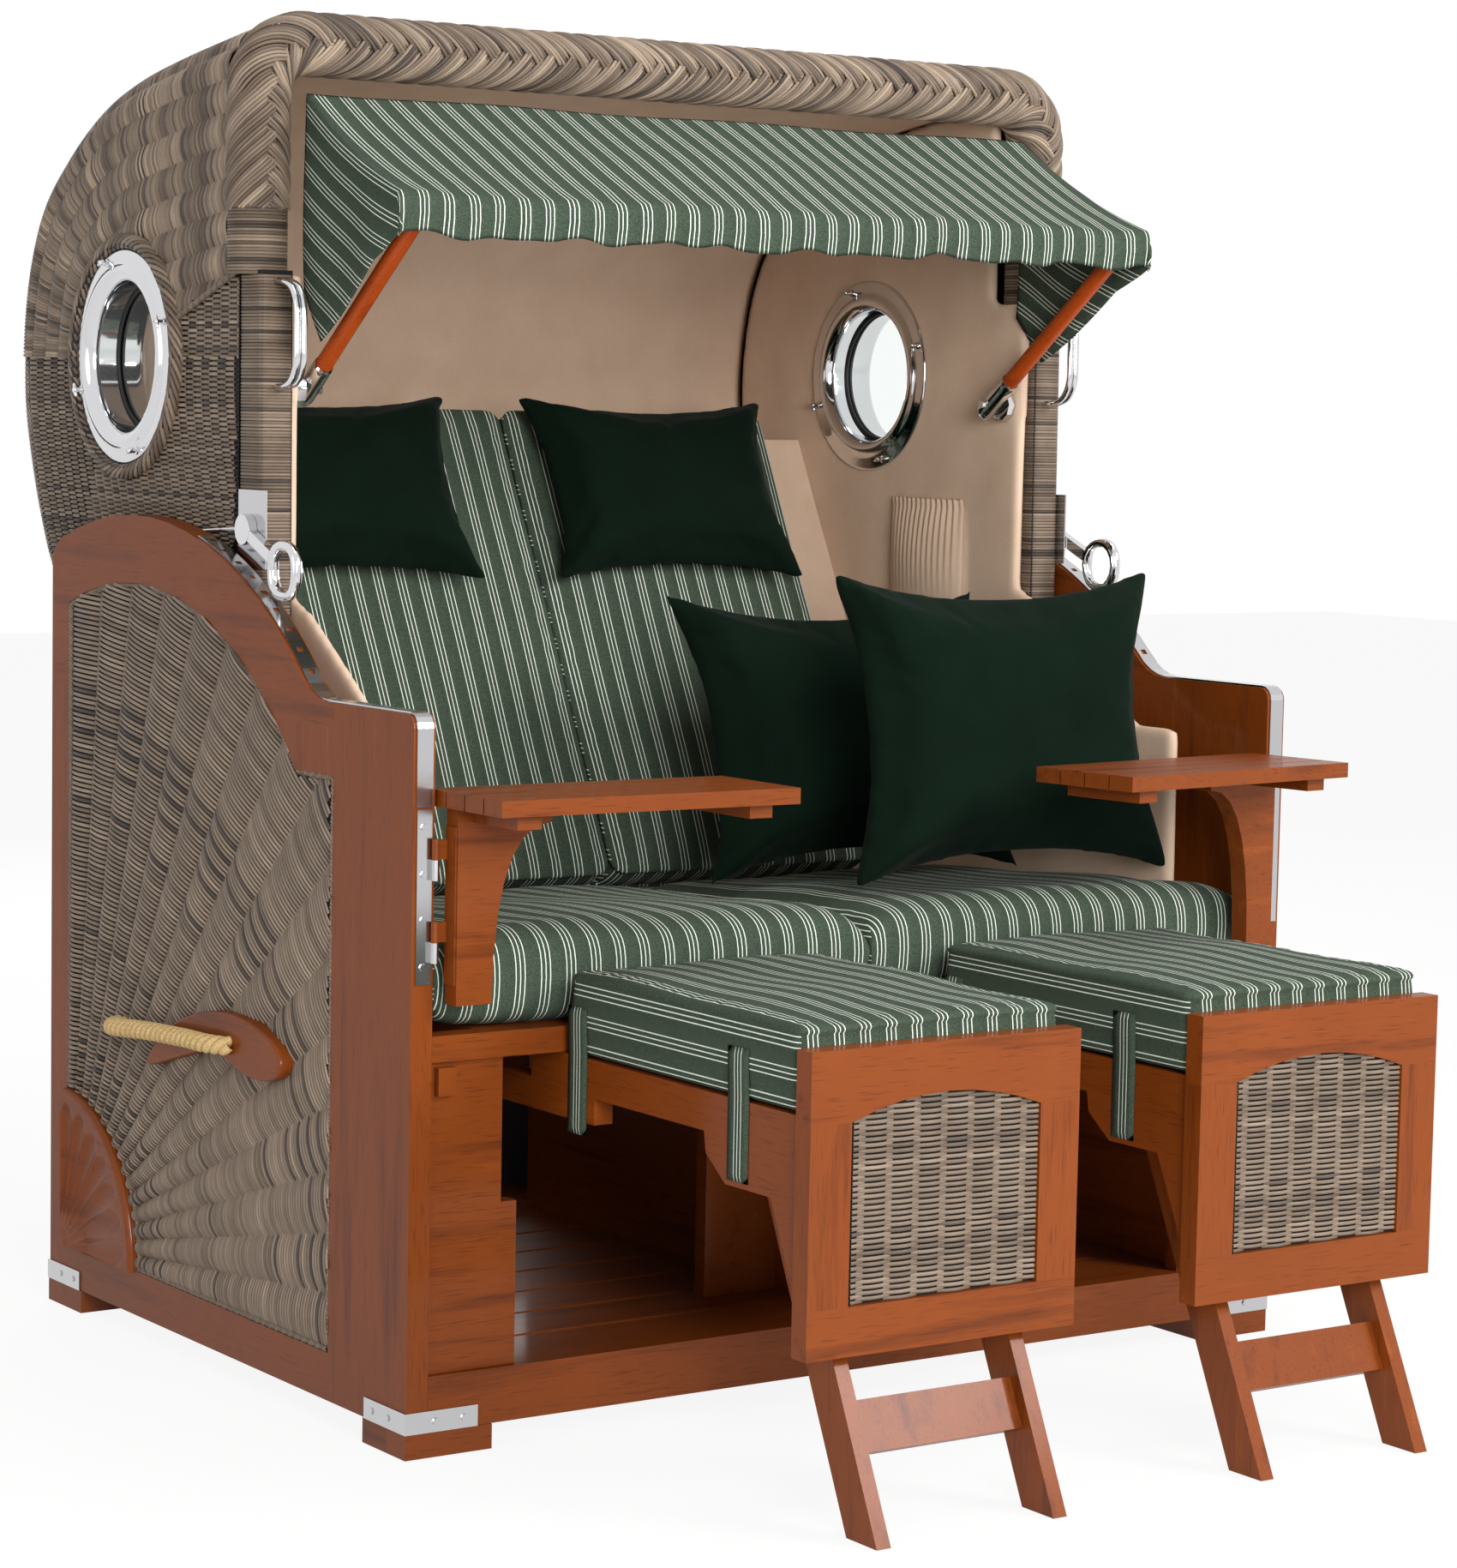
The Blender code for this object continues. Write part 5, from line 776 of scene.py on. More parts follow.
def bow_route(spots):
    """Points and outward vectors of the bow at given lengths from the left collar, and its whole length.

    It rises straight, bends by a quarter circle at each upper corner and runs level between them.
    """
    rise = BOW_TOP - BOW_BEND - BRAID_FOOT
    quarter = math.pi / 2 * BOW_BEND
    top = 2 * (BOW_X - BOW_BEND)
    s = np.asarray(spots, dtype=float)
    total = 2 * (rise + quarter) + top
    far = s > total / 2
    u = np.where(far, total - s, s)
    a = np.clip((u - rise) / BOW_BEND, 0, math.pi / 2)
    x = -BOW_X + BOW_BEND * (1 - np.cos(a)) + np.maximum(u - rise - quarter, 0)
    z = BRAID_FOOT + np.minimum(u, rise) + BOW_BEND * np.sin(a)
    tx, tz = np.sin(a), np.cos(a)
    x, tz = np.where(far, -x, x), np.where(far, -tz, tz)
    place = np.stack([x, np.full_like(x, BOW_Y), z], -1)
    out = np.stack([-tz, np.zeros_like(tx), tx], -1)
    return place, out, total


def braid():
    """Bundles of six canes in two helical families that cross in a zigzag spine at the front and at the back.

    The outer family runs phi = 215 to -35 degrees, the inner one phi = -215 to 35, both at 33 radians a metre
    along the bow. A cane lies at height * tanh((distance inside its crossing) / 9 degrees); the crossing of a
    bundle's middle canes comes 15 degrees past the spine, that of its outer ones 9 degrees before it, so each
    bundle ends in a point that dips under the next one of the other family.
    """
    total = bow_route([0.0])[2]
    lead = 33.0
    step = 2 * math.pi / lead / 6
    canes_in = 6
    starts = np.arange(-0.14, total + 0.04, step)
    points = 33
    lines, norms, shown, tones = [], [], [], []
    chance = np.random.default_rng(41)
    front = np.array([0.0, -1.0, 0.0])
    for family in (1, -1):
        swing = np.linspace(215, -35, points)
        for start in starts + (0.5 * step if family < 0 else 0.0):
            bundle = chance.normal(0.56, 0.07)
            for j in range(canes_in):
                shift = (j - (canes_in - 1) / 2) / ((canes_in - 1) / 2)
                u = start + shift * step * 0.43 - np.radians(swing) / lead
                place, out, _ = bow_route(np.clip(u, 0, total))
                phi = np.radians(swing) * family
                normal = np.cos(phi)[:, None] * front + np.sin(phi)[:, None] * out
                limit = 15 - 24 * abs(shift) ** 1.2
                inner = np.minimum(swing + limit, 180 + limit - swing)
                lift = np.tanh(inner / 9.0)
                radius = 0.0302 + 0.0030 * lift + 0.0020 * (1 - shift ** 2)
                lines.append(place + normal * radius[:, None])
                norms.append(normal)
                shown.append((u >= 0) & (u <= total) & (inner > -22))
                tones.append(np.clip(bundle + chance.normal(0, 0.17), 0.08, 0.95))
    piece = canes("bow_braid", np.stack(lines), np.stack(norms), 0.0042, 0.0028, np.array(tones), RATTAN,
                  "hood", sides=5, keep=np.stack(shown))


def bow_core():
    """The dark tube under the braid, with the two posts' cores below it."""
    total = bow_route([0.0])[2]
    place = bow_route(np.linspace(0, total, 160))[0]
    foot = place[:1] - [[0, 0, 0.072]]
    tail = place[-1:] - [[0, 0, 0.072]]
    line = np.vstack([foot, place, tail])
    verts, faces = tube(line, 0.0262, 24, (0.0, 1.0, 0.0))
    ends = []
    for row in (0, len(line) - 1):
        ring = np.arange(24) + row * 24
        middle = len(verts) + len(ends)
        ends.append(line[row])
        order = ring if row == 0 else ring[::-1]
        fan = np.stack([order[0::2], order[1::2], np.roll(order, -2)[0::2], np.full(12, middle)], -1)
        faces = np.vstack([faces, fan])
    return add_mesh("bow_core", np.vstack([verts, ends]), faces, CORE, "hood")


def post_core(sign, side):
    """The plain post under its winding, from the braid's collar down to its foot."""
    x, y = (0.5515, 0.5905), (0.1415, 0.192)
    verts = [(sign * a, b - lean, c) for c, lean in ((0.6, 0.006), (1.3, 0.0)) for b in y for a in x]
    faces = [(0, 2, 3, 1), (4, 5, 7, 6), (0, 1, 5, 4), (1, 3, 7, 5), (3, 2, 6, 7), (2, 0, 4, 6)]
    if sign < 0:
        faces = [f[::-1] for f in faces]
    return add_mesh("post_core_" + side, verts, faces, CORE, "hood", smooth=False)


def port_ring(angles, x, radius):
    """Points on an upright circle about the porthole's axis, at the given angles."""
    return np.stack([np.full_like(angles, x), PORT[0] + radius * np.cos(angles),
                     PORT[1] + radius * np.sin(angles)], -1)


def wreath(sign, side):
    """Thin canes twisted into a wreath round the porthole."""
    a = np.linspace(0, 2 * math.pi, 220)
    line = port_ring(a, sign * 0.5985, 0.1405)
    piece = twisted("wreath_" + side, line, 0.0070, 0.0030, 7, 0.085, RATTAN, "hood", 51)


# Woven fills of the rear frame and the footrests

def flat_weave(name, low, high, face, out, stake, rise, seed, body, outline=None, pitch=0.00295):
    """Horizontal strands over and under upright stakes on an upright face that looks along Y or -Y."""
    heights = np.arange(low[1] + pitch / 2, high[1], pitch)
    spots = np.arange(low[0], high[0], stake / 8)
    x, z = np.meshgrid(spots, heights)
    height = weave_height(x - low[0], np.arange(len(heights)), stake, rise)
    centre = np.stack([x, face + out * height, z], -1)
    normal = np.broadcast_to(np.array([0.0, out, 0.0]), centre.shape)
    keep = height > -0.55 * rise
    if outline is not None:
        keep &= inside(np.stack([x, z], -1), outline)
    if out > 0:
        centre, normal, keep = centre[:, ::-1], normal[:, ::-1], keep[:, ::-1]
    tones = strand_tones(len(heights), seed, 0.5, 0.07, 0.0, 0.02)
    piece = canes(name, centre, normal, 0.0041, 0.0018, tones, RATTAN, body, keep=keep)


def rest_outline(inset):
    """The footrest window: straight sides and sill, and a low crowned top."""
    low, high = 0.137 + inset, 0.383 - inset
    t = np.linspace(0, 1, 24)[:, None]
    a, b, c = np.array([high, 0.430]), np.array([0.26, 0.476 - inset]), np.array([low, 0.430])
    arch = (1 - t) ** 2 * a + 2 * t * (1 - t) * b + t ** 2 * c
    return np.vstack([[(low, 0.239 + inset), (high, 0.239 + inset)], arch])


# Soft pieces

def closed_grid(name, top, bottom, material, body, attributes=None):
    """One closed skin from two grids of points (rows, columns, 3) that share their rim."""
    rows, columns = top.shape[:2]
    index = np.arange(rows * columns).reshape(rows, columns)
    inner = np.zeros((rows, columns), dtype=bool)
    inner[1:-1, 1:-1] = True
    lower = index.copy()
    lower[inner] = rows * columns + np.arange(inner.sum())
    verts = np.vstack([top.reshape(-1, 3), bottom[inner]])

    def quads(table):
        return np.stack([table[:-1, :-1], table[:-1, 1:], table[1:, 1:], table[1:, :-1]], -1).reshape(-1, 4)

    faces = np.vstack([quads(index), quads(lower)[:, ::-1]])
    layers = {}
    for key, (first, second) in (attributes or {}).items():
        layers[key] = np.concatenate([first.ravel(), second[inner]])
    return add_mesh(name, verts, faces, material, body, layers)


def stuff(piece, pressure, cap):
    """Blow a closed cloth skin up with Blender's cloth, and let no point move further than the cap."""
    mesh = piece.data
    count = len(mesh.vertices)
    start = np.empty(count * 3, dtype=np.float32)
    mesh.vertices.foreach_get("co", start)
    start = start.reshape(-1, 3)
    cloth = piece.modifiers.new("cloth", "CLOTH")
    settings = cloth.settings
    settings.quality = 4
    settings.mass = 0.3
    settings.use_pressure = True
    settings.uniform_pressure_force = pressure
    settings.tension_stiffness = 25
    settings.compression_stiffness = 25
    settings.bending_stiffness = 0.4
    settings.effector_weights.gravity = 0
    cloth.collision_settings.use_collision = False
    scene = bpy.context.scene
    for number in range(1, 21):
        scene.frame_set(number)
    graph = bpy.context.evaluated_depsgraph_get()
    done = piece.evaluated_get(graph).to_mesh()
    end = np.empty(count * 3, dtype=np.float32)
    done.vertices.foreach_get("co", end)
    end = end.reshape(-1, 3)
    piece.evaluated_get(graph).to_mesh_clear()
    piece.modifiers.remove(cloth)
    scene.frame_set(1)
    move = end - start
    far = np.linalg.norm(move, axis=1, keepdims=True)
    move *= np.minimum(1.0, cap / np.maximum(far, 1e-9))
    mesh.vertices.foreach_set("co", (start + move).ravel())
    mesh.update()


def finish_soft(piece, node, levels=1):
    """Subdivision, then the CAD node that the piece stands in for is hidden."""
    if levels:
        apply_modifier(piece, "SUBSURF", levels=levels, render_levels=levels)
        piece.data.shade_smooth()
    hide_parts(node)


def ringed(name, outline, rings, material, body):
    """A closed skin of rings round a flat outline (points, 2): each ring is (inset, scale, height).

    A ring's points are the outline moved in by the inset along its normals, then scaled about the middle.
    """
    count = len(outline)
    step = np.roll(outline, -1, 0) - np.roll(outline, 1, 0)
    inward = unit(np.stack([-step[:, 1], step[:, 0]], -1))
    verts = []
    for inset, scale, height in rings:
        flat = (outline + inward * inset) * scale
        level = np.broadcast_to(np.asarray(height, dtype=float).reshape(-1, 1), (count, 1))
        verts.append(np.concatenate([flat, level], 1))
    for end in (rings[-1], rings[0]):
        verts.append(np.array([[0, 0, float(np.mean(end[2]))]]))
    faces = grid_faces(len(rings), count, True)

    def lid(ring, middle):
        return np.stack([ring[0::2], ring[1::2], np.roll(ring, -2)[0::2], np.full(count // 2, middle)], -1)

    first, middle = np.arange(count), len(rings) * count
    top = lid(first + middle - count, middle)
    low = lid(first, middle + 1)[:, ::-1]
    return add_mesh(name, np.vstack(verts), np.vstack([faces, top, low]), material, body)


def set_points(piece, change):
    """Move a mesh's points by a function of their (n, 3) array."""
    count = len(piece.data.vertices)
    place = np.empty(count * 3, dtype=np.float32)
    piece.data.vertices.foreach_get("co", place)
    place = change(place.reshape(-1, 3).astype(float))
    piece.data.vertices.foreach_set("co", place.astype(np.float32).ravel())
    piece.data.update()


def apply_modifier(piece, kind, **settings):
    """Put a modifier with its settings on a piece and apply it at once."""
    name = piece.modifiers.new("step", kind).name
    for key, value in settings.items():
        setattr(piece.modifiers[name], key, value)
    with bpy.context.temp_override(object=piece, active_object=piece, selected_objects=[piece]):
        bpy.ops.object.modifier_apply(modifier=name)


def pillow_outline(width, length, pull, count=240):
    """A rectangle whose sides pull in between pointed corners: side offset = pull * (1 - u^2)^1.3."""
    quarter = count // 4
    u = np.linspace(-1, 1, quarter, endpoint=False)
    dip = pull * (1 - u ** 2) ** 1.3
    low = np.stack([u * width / 2, -length / 2 + dip], -1)
    right = np.stack([width / 2 - dip, u * length / 2], -1)
    high = np.stack([-u * width / 2, length / 2 - dip], -1)
    left = np.stack([-width / 2 + dip, -u * length / 2], -1)
    return np.vstack([low, right, high, left])


def pillow_skin(name, width, length, thick, place, material, body, seed, pull, flat=0.0):
    """A stuffed pillow: pointed corners, sides pulled in, blown up by the cloth solver from a slimmer start.

    At scale s of its outline the half thickness is thick / 2 * (1 - s^2.6)^0.62, with pleats that run in from
    the seam. flat presses its back to the thing that it leans on.
    """
    chance = np.random.default_rng(seed)
    outline = pillow_outline(width, length, pull)
    angle = np.linspace(0, 2 * math.pi, len(outline), endpoint=False)
    waves = sum(np.sin(angle * k + chance.uniform(0, 6.3)) * w for k, w in ((23, 0.5), (37, 0.7), (61, 0.5)))
    rings = []
    scales = np.sin(np.linspace(0.04, 1, 26) * math.pi / 2)
    for side in (-1, 1):
        for s in scales if side < 0 else scales[::-1][1:]:
            height = thick / 2 * (1 - s ** 2.6) ** 0.62
            if side < 0:
                height *= 1 - flat
            pleat = 0.0016 * waves * np.exp(-((1 - s) / 0.13) ** 2) * (s < 0.999)
            rings.append((0.0, s, side * height + pleat))
    piece = ringed(name, outline, rings, material, body)
    apply_modifier(piece, "REMESH", mode="VOXEL", voxel_size=0.007)
    soft = chance.uniform(0, 6.3, 4)

    def wrinkle(points):
        u, v = points[:, 0] / width * 2, points[:, 1] / length * 2
        edge = np.clip(1.15 - np.maximum(np.abs(u), np.abs(v)), 0, 1)
        fold = (np.sin(u * 4.1 + v * 2.3 + soft[0]) + np.sin(v * 5.2 - u * 3.0 + soft[1])
                + 0.7 * np.sin((u + v) * 8.3 + soft[2]) + 0.5 * np.sin((u - v) * 11.0 + soft[3]))
        points[:, 2] += 0.0017 * fold * edge
        return points

    set_points(piece, wrinkle)
    matrix = np.array(place)
    set_points(piece, lambda points: points @ matrix[:3, :3].T + matrix[:3, 3])
    stuff(piece, 4.0, 0.014)
    apply_modifier(piece, "SMOOTH", factor=0.5, iterations=2)
    back = np.linalg.inv(matrix)

    def point_corners(points):
        """Draw the corners out: by 20 mm * |u v|^7 each way, and thin them."""
        local = points @ back[:3, :3].T + back[:3, 3]
        u, v = local[:, 0] / width * 2, local[:, 1] / length * 2
        near = (np.clip(np.abs(u), 0, 1) * np.clip(np.abs(v), 0, 1)) ** 7
        local[:, 0] += np.sign(u) * 0.020 * near
        local[:, 1] += np.sign(v) * 0.020 * near
        local[:, 2] *= 1 - 0.5 * np.clip(near * 2, 0, 1)
        return local @ matrix[:3, :3].T + matrix[:3, 3]

    set_points(piece, point_corners)
    return piece


def rounded_outline(width, length, corner, count=320):
    """A rectangle with round corners, as count points evenly apart."""
    parts = []
    for cx, cy, start in ((1, -1, -90), (1, 1, 0), (-1, 1, 90), (-1, -1, 180)):
        a = np.radians(np.linspace(start, start + 90, 12))
        parts.append(np.stack([cx * (width / 2 - corner) + corner * np.cos(a),
                               cy * (length / 2 - corner) + corner * np.sin(a)], -1))
    ring = np.vstack(parts + [parts[0][:1]])
    return at_lengths(ring, np.linspace(0, lengths(ring)[-1], count, endpoint=False))


def box_pad(name, width, length, thick, place, material, body, seed, corner=0.014, crown=0.004,
            round_=0.009):
    """A boxed cushion: a standing side band between two welts, a nearly flat top and a flat underside.

    The welts are ridges of about 2 mm where band and top meet. The band bulges by 3 mm between them, and
    the top puckers a little along its rim.
    """
    chance = np.random.default_rng(seed)
    outline = rounded_outline(width, length, corner)
    angle = np.linspace(0, 2 * math.pi, len(outline), endpoint=False)
    gathers = sum(np.sin(angle * k + chance.uniform(0, 6.3)) * w
                  for k, w in ((31, 0.4), (53, 0.5), (87, 0.4)))
    half = thick / 2
    profile = [(round_, s, -half) for s in np.linspace(0.06, 1, 14)[:-1]]
    profile += [(round_ * 0.55, 1, -half + 0.0006), (0.0012, 1, -half + 0.004), (-0.0010, 1, -half + 0.007),
                (-0.0006, 1, -half + 0.0095)]
    profile += [(0.0014 - 0.003 * (1 - w * w), 1, w * (half - 0.0115)) for w in np.linspace(-1, 1, 9)]
    profile += [(-0.0006, 1, half - 0.0095), (-0.0012, 1, half - 0.007), (0.0008, 1, half - 0.0042),
                (round_ * 0.45, 1, half - 0.0026), (round_, 1, half - 0.0014)]
    for s in np.linspace(0.985, 0.06, 24):
        lift = crown * (1 - s ** 3) - 0.0014 * np.exp(-(1 - s) / 0.03)
        profile.append((round_, s, half + lift + 0.0009 * gathers * np.exp(-((1 - s) / 0.10) ** 2)))
    piece = ringed(name, outline, profile, material, body)
    soft = chance.uniform(0, 6.3, 4)

    def wave(points):
        u, v = points[:, 0] / width * 2, points[:, 1] / length * 2
        fold = np.sin(u * 3.7 + v * 2.9 + soft[0]) + np.sin(v * 6.1 - u * 2.2 + soft[1])
        points[:, 2] += 0.0011 * fold * np.clip(points[:, 2] / half, 0, 1)
        return points

    set_points(piece, wave)
    matrix = np.array(place)
    set_points(piece, lambda points: points @ matrix[:3, :3].T + matrix[:3, 3])
    return piece


BACK_SLOPE = math.atan(0.507)


def slope_place(x, along, out):
    """A frame on the sloping back: X across, Y up the slope, Z out of its front."""
    up = Vector((0, math.sin(BACK_SLOPE), math.cos(BACK_SLOPE)))
    face = Vector((0, -math.cos(BACK_SLOPE), math.sin(BACK_SLOPE)))
    spot = Vector((x, 0.28, 0.54)) + up * along + face * out
    return Matrix.Translation(spot) @ Matrix((Vector((1, 0, 0)), up, face)).transposed().to_4x4()


def back_and_pillows(striped, green):
    """Two boxed pads up the back, two head pillows on them, and two loose pillows that lean on the side."""
    for side, sign, seed in (("left", -1, 61), ("right", 1, 62)):
        place = slope_place(sign * 0.2105, 0.348, -0.0375 + 0.0015)
        piece = box_pad("back_pad_" + side, 0.417, 0.660, 0.072, place, striped, "hood", seed, 0.02,
                        0.006, 0.012)
        finish_soft(piece, "back_cushion_" + side, 0)
    for side, low, high, seed in (("left", -0.515, -0.107, 63), ("right", 0.0, 0.395, 64)):
        place = slope_place((low + high) / 2, 0.544, 0.0382)
        piece = pillow_skin("pillow_" + side, high - low + 0.004, 0.280, 0.078, place, green, "hood",
                            seed, 0.014, flat=0.25)
        finish_soft(piece, "head_pillow_" + side)
    loose = (("front", 0.485, 0.385, 0.281, 0.095 - 0.28, math.radians(9), 0.5765, 65),
             ("rear", 0.475, 0.375, 0.23, 0.33 - 0.28, math.radians(18), 0.5545, 66))
    for name, width, height, x, y, tilt, foot, seed in loose:
        rise = foot + height / 2 * math.cos(tilt) + 0.115 / 4 * math.sin(tilt)
        turn = Matrix.Rotation(math.pi / 2 - tilt, 4, "X")
        place = Matrix.Translation((x, y + height / 2 * math.sin(tilt), rise)) @ turn
        piece = pillow_skin("loose_pillow_" + name, width + 0.006, height + 0.004, 0.104, place, green,
                            "base", seed, 0.026)
        finish_soft(piece, "scatter_cushion_" + name)


def seat_pads(striped):
    """Two seat pads that meet in the middle, each with a wide tongue before the hood's ears."""
    for side, sign, seed in (("left", -1, 71), ("right", 1, 72)):
        step = 0.0095
        y = np.concatenate([[-0.2745], np.arange(-0.270, 0.272, step), [0.2745]])
        narrow, wide, turn = 0.5285, 0.5905, 0.081 - 0.28
        ease = np.clip((turn - 0.004 - y) / 0.006, 0, 1)
        reach = narrow + (wide - narrow) * ease
        columns = 58
        share = np.linspace(0, 1, columns)
        share = 0.5 - 0.5 * np.cos(np.pi * share) * (1 - 0.35 * np.sin(np.pi * share) ** 2)
        share[0], share[-1] = 0, 1
        x = 0.0008 + (reach[:, None] - 0.0008) * share[None]
        yy = np.broadcast_to(y[:, None], x.shape).copy()
        fall = 0.033 * (yy + 0.276) / 0.551
        height = 0.578 - 0.4663 - fall
        chance = np.random.default_rng(seed)
        phase = chance.uniform(0, 6.3, 5)
        v = (yy + 0.2745) / 0.549 * 2 - 1
        u = share[None] * 2 - 1 + v * 0
        rim = np.clip((1 - np.abs(u) ** 14) * (1 - np.abs(v) ** 14), 0, 1)
        crown = (1 - u ** 4) * (1 - v ** 4)
        soft = (np.sin(u * 4 + v * 2.5 + phase[0]) + np.sin(v * 5 - u * 3 + phase[1])
                + 0.5 * np.sin(u * 9 + phase[2]))
        top_z = 0.4668 + height * (0.5 + 0.5 * rim ** 0.38 * (0.90 + 0.10 * crown)) + 0.0016 * soft * rim
        low_z = 0.4668 + height * (0.5 - 0.5 * rim ** 0.25)
        edge = rim <= 1e-9
        low_z[edge] = top_z[edge]
        scale = np.array([sign, 1, 1])
        top = np.stack([x, yy, top_z], -1) * scale
        bottom = np.stack([x, yy, low_z], -1) * scale
        if sign < 0:
            top, bottom = top[:, ::-1], bottom[:, ::-1]
        piece = closed_grid("seat_pad_" + side, top, bottom, striped, "base")
        stuff(piece, 3.0, 0.004)
        finish_soft(piece, "seat_cushion")


def rest_pads(striped, webbing):
    """A boxed pad on each footrest and four straps over its rails."""
    for side, sign, seed in (("left", -1, 81), ("right", 1, 82)):
        low, high, front, back = 0.0885, 0.4315, -0.732, -0.2905
        place = Matrix.Translation((sign * 0.26, (front + back) / 2, 0.4848))
        piece = box_pad("rest_pad_" + side, high - low - 0.004, back - front, 0.092, place, striped,
                        "footrest_" + side, seed)
        finish_soft(piece, "footrest_cushion_" + side, 0)
        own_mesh(piece)
        for number, y in enumerate((-0.645 + 0.02, -0.332 + 0.02)):
            for edge, face in (("outer", 1), ("inner", -1)):
                x = sign * (0.26 + face * 0.1712)
                out = sign * face
                z = np.linspace(0.350, 0.492, 20)
                bulge = 0.0011 * np.clip((z - 0.44) / 0.03, 0, 1)
                outer = x + out * (0.0012 + bulge)
                ys = np.array([y - 0.0195, y - 0.01, y, y + 0.01, y + 0.0195])
                grid = np.stack([np.broadcast_to(outer[:, None], (20, 5)), np.broadcast_to(ys[None], (20, 5)),
                                 np.broadcast_to(z[:, None], (20, 5))], -1)
                under = grid - np.array([out * SHEET, 0, 0])
                across = grid[..., 1] - y + 0.0165
                first, second = (under, grid) if out < 0 else (grid, under)
                strap = closed_grid(f"strap_{side}_{edge}_{number}", first, second, webbing,
                                    "footrest_" + side, {"stripe": (across, across)})
                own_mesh(strap)


# Lining

def pucker(points, seed):
    """Soft cloth waves over (Y, Z): a sum of five sines with wave lengths of 90 to 300 mm."""
    chance = np.random.default_rng(seed)
    total = np.zeros(points.shape[:-1])
    for _ in range(5):
        k = 2 * math.pi / chance.uniform(0.09, 0.30)
        a = chance.uniform(0, math.pi)
        spot = points[..., 0] * math.cos(a) + points[..., 1] * math.sin(a)
        total += np.sin(k * spot + chance.uniform(0, 6.3))
    return total / 5


def copied(node, name, material, body, voxel, seed, wave):
    """A cloth-covered copy of a flat CAD node: remeshed fine, its edges soft, its faces waved a little."""
    mesh = NODES[node].data.copy()
    piece = bpy.data.objects.new(name, mesh)
    bpy.context.scene.collection.objects.link(piece)
    apply_modifier(piece, "REMESH", mode="VOXEL", voxel_size=voxel)
    apply_modifier(piece, "SMOOTH", factor=0.5, iterations=3)

    def waved(points):
        points[:, 0] += wave * pucker(points[:, 1:], seed)
        return points

    set_points(piece, waved)
    mesh = piece.data
    mesh.materials.clear()
    mesh.materials.append(material)
    mesh.shade_smooth()
    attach(piece, body)
    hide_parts(node)


def lining(beige):
    """The beige cloth inside the hood: both sides, the back along the outline, and a gathered pocket.

    The pocket bulges by 10 + 10 sin(pi v)^0.8 mm times sin(pi u)^0.6 from its sewn edges, with 15 gathers
    that deepen towards its mouth.
    """
    copied("liner_left", "lining_left", beige, "hood", 0.0065, 91, 0.0011)
    copied("liner_right", "lining_right", beige, "hood", 0.0065, 92, 0.0011)
    rows = LINE[::4]
    out = LINE_OUT[::4]
    x = np.linspace(-0.5332, 0.5332, 90)
    wave = 0.0013 * pucker(np.stack(np.meshgrid(x, LINE_LENGTH[::4]), -1), 93)
    front = rows[:, None] - out[:, None] * (0.0222 + wave)[..., None]
    behind = rows[:, None] - out[:, None] * 0.0188 * np.ones((1, len(x), 1))
    grids = []
    for grid in (front, behind):
        grids.append(np.concatenate([np.broadcast_to(x[None, :, None], grid.shape[:2] + (1,)), grid], -1))
    grids[1][0], grids[1][-1] = grids[0][0], grids[0][-1]
    grids[1][:, 0], grids[1][:, -1] = grids[0][:, 0], grids[0][:, -1]
    piece = closed_grid("lining_back", grids[1], grids[0], beige, "hood")
    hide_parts("liner_back")
    # The pocket's front sheet, gathered on its elastic mouth
    v, u = np.meshgrid(np.linspace(0, 1, 40), np.linspace(0, 1, 90), indexing="ij")
    y = (0.541 - 0.28) + 0.160 * u
    z = 0.872 + 0.164 * v
    edge = np.clip(np.minimum(u, 1 - u) / 0.08, 0, 1)
    bag = np.sin(math.pi * u) ** 0.6 * (0.010 + 0.010 * np.sin(math.pi * np.clip(v * 1.05, 0, 1)) ** 0.8)
    gather = (0.0022 * np.sin(u * 2 * math.pi * 15 + 0.8 * np.sin(v * 3))
              * np.clip((v - 0.15) / 0.85, 0, 1) ** 1.2 * edge)
    bottom = np.clip(v / 0.06, 0, 1) ** 0.5
    x = 0.5325 - (bag + gather) * bottom - 0.0012
    hem = np.clip((v - 0.93) / 0.03, 0, 1)
    x -= SHEET * hem
    outer = np.stack([x, y, z], -1)
    inner = outer + np.array([SHEET, 0, 0])
    pocket = closed_grid("pocket", outer, inner, beige, "hood")


# Awning

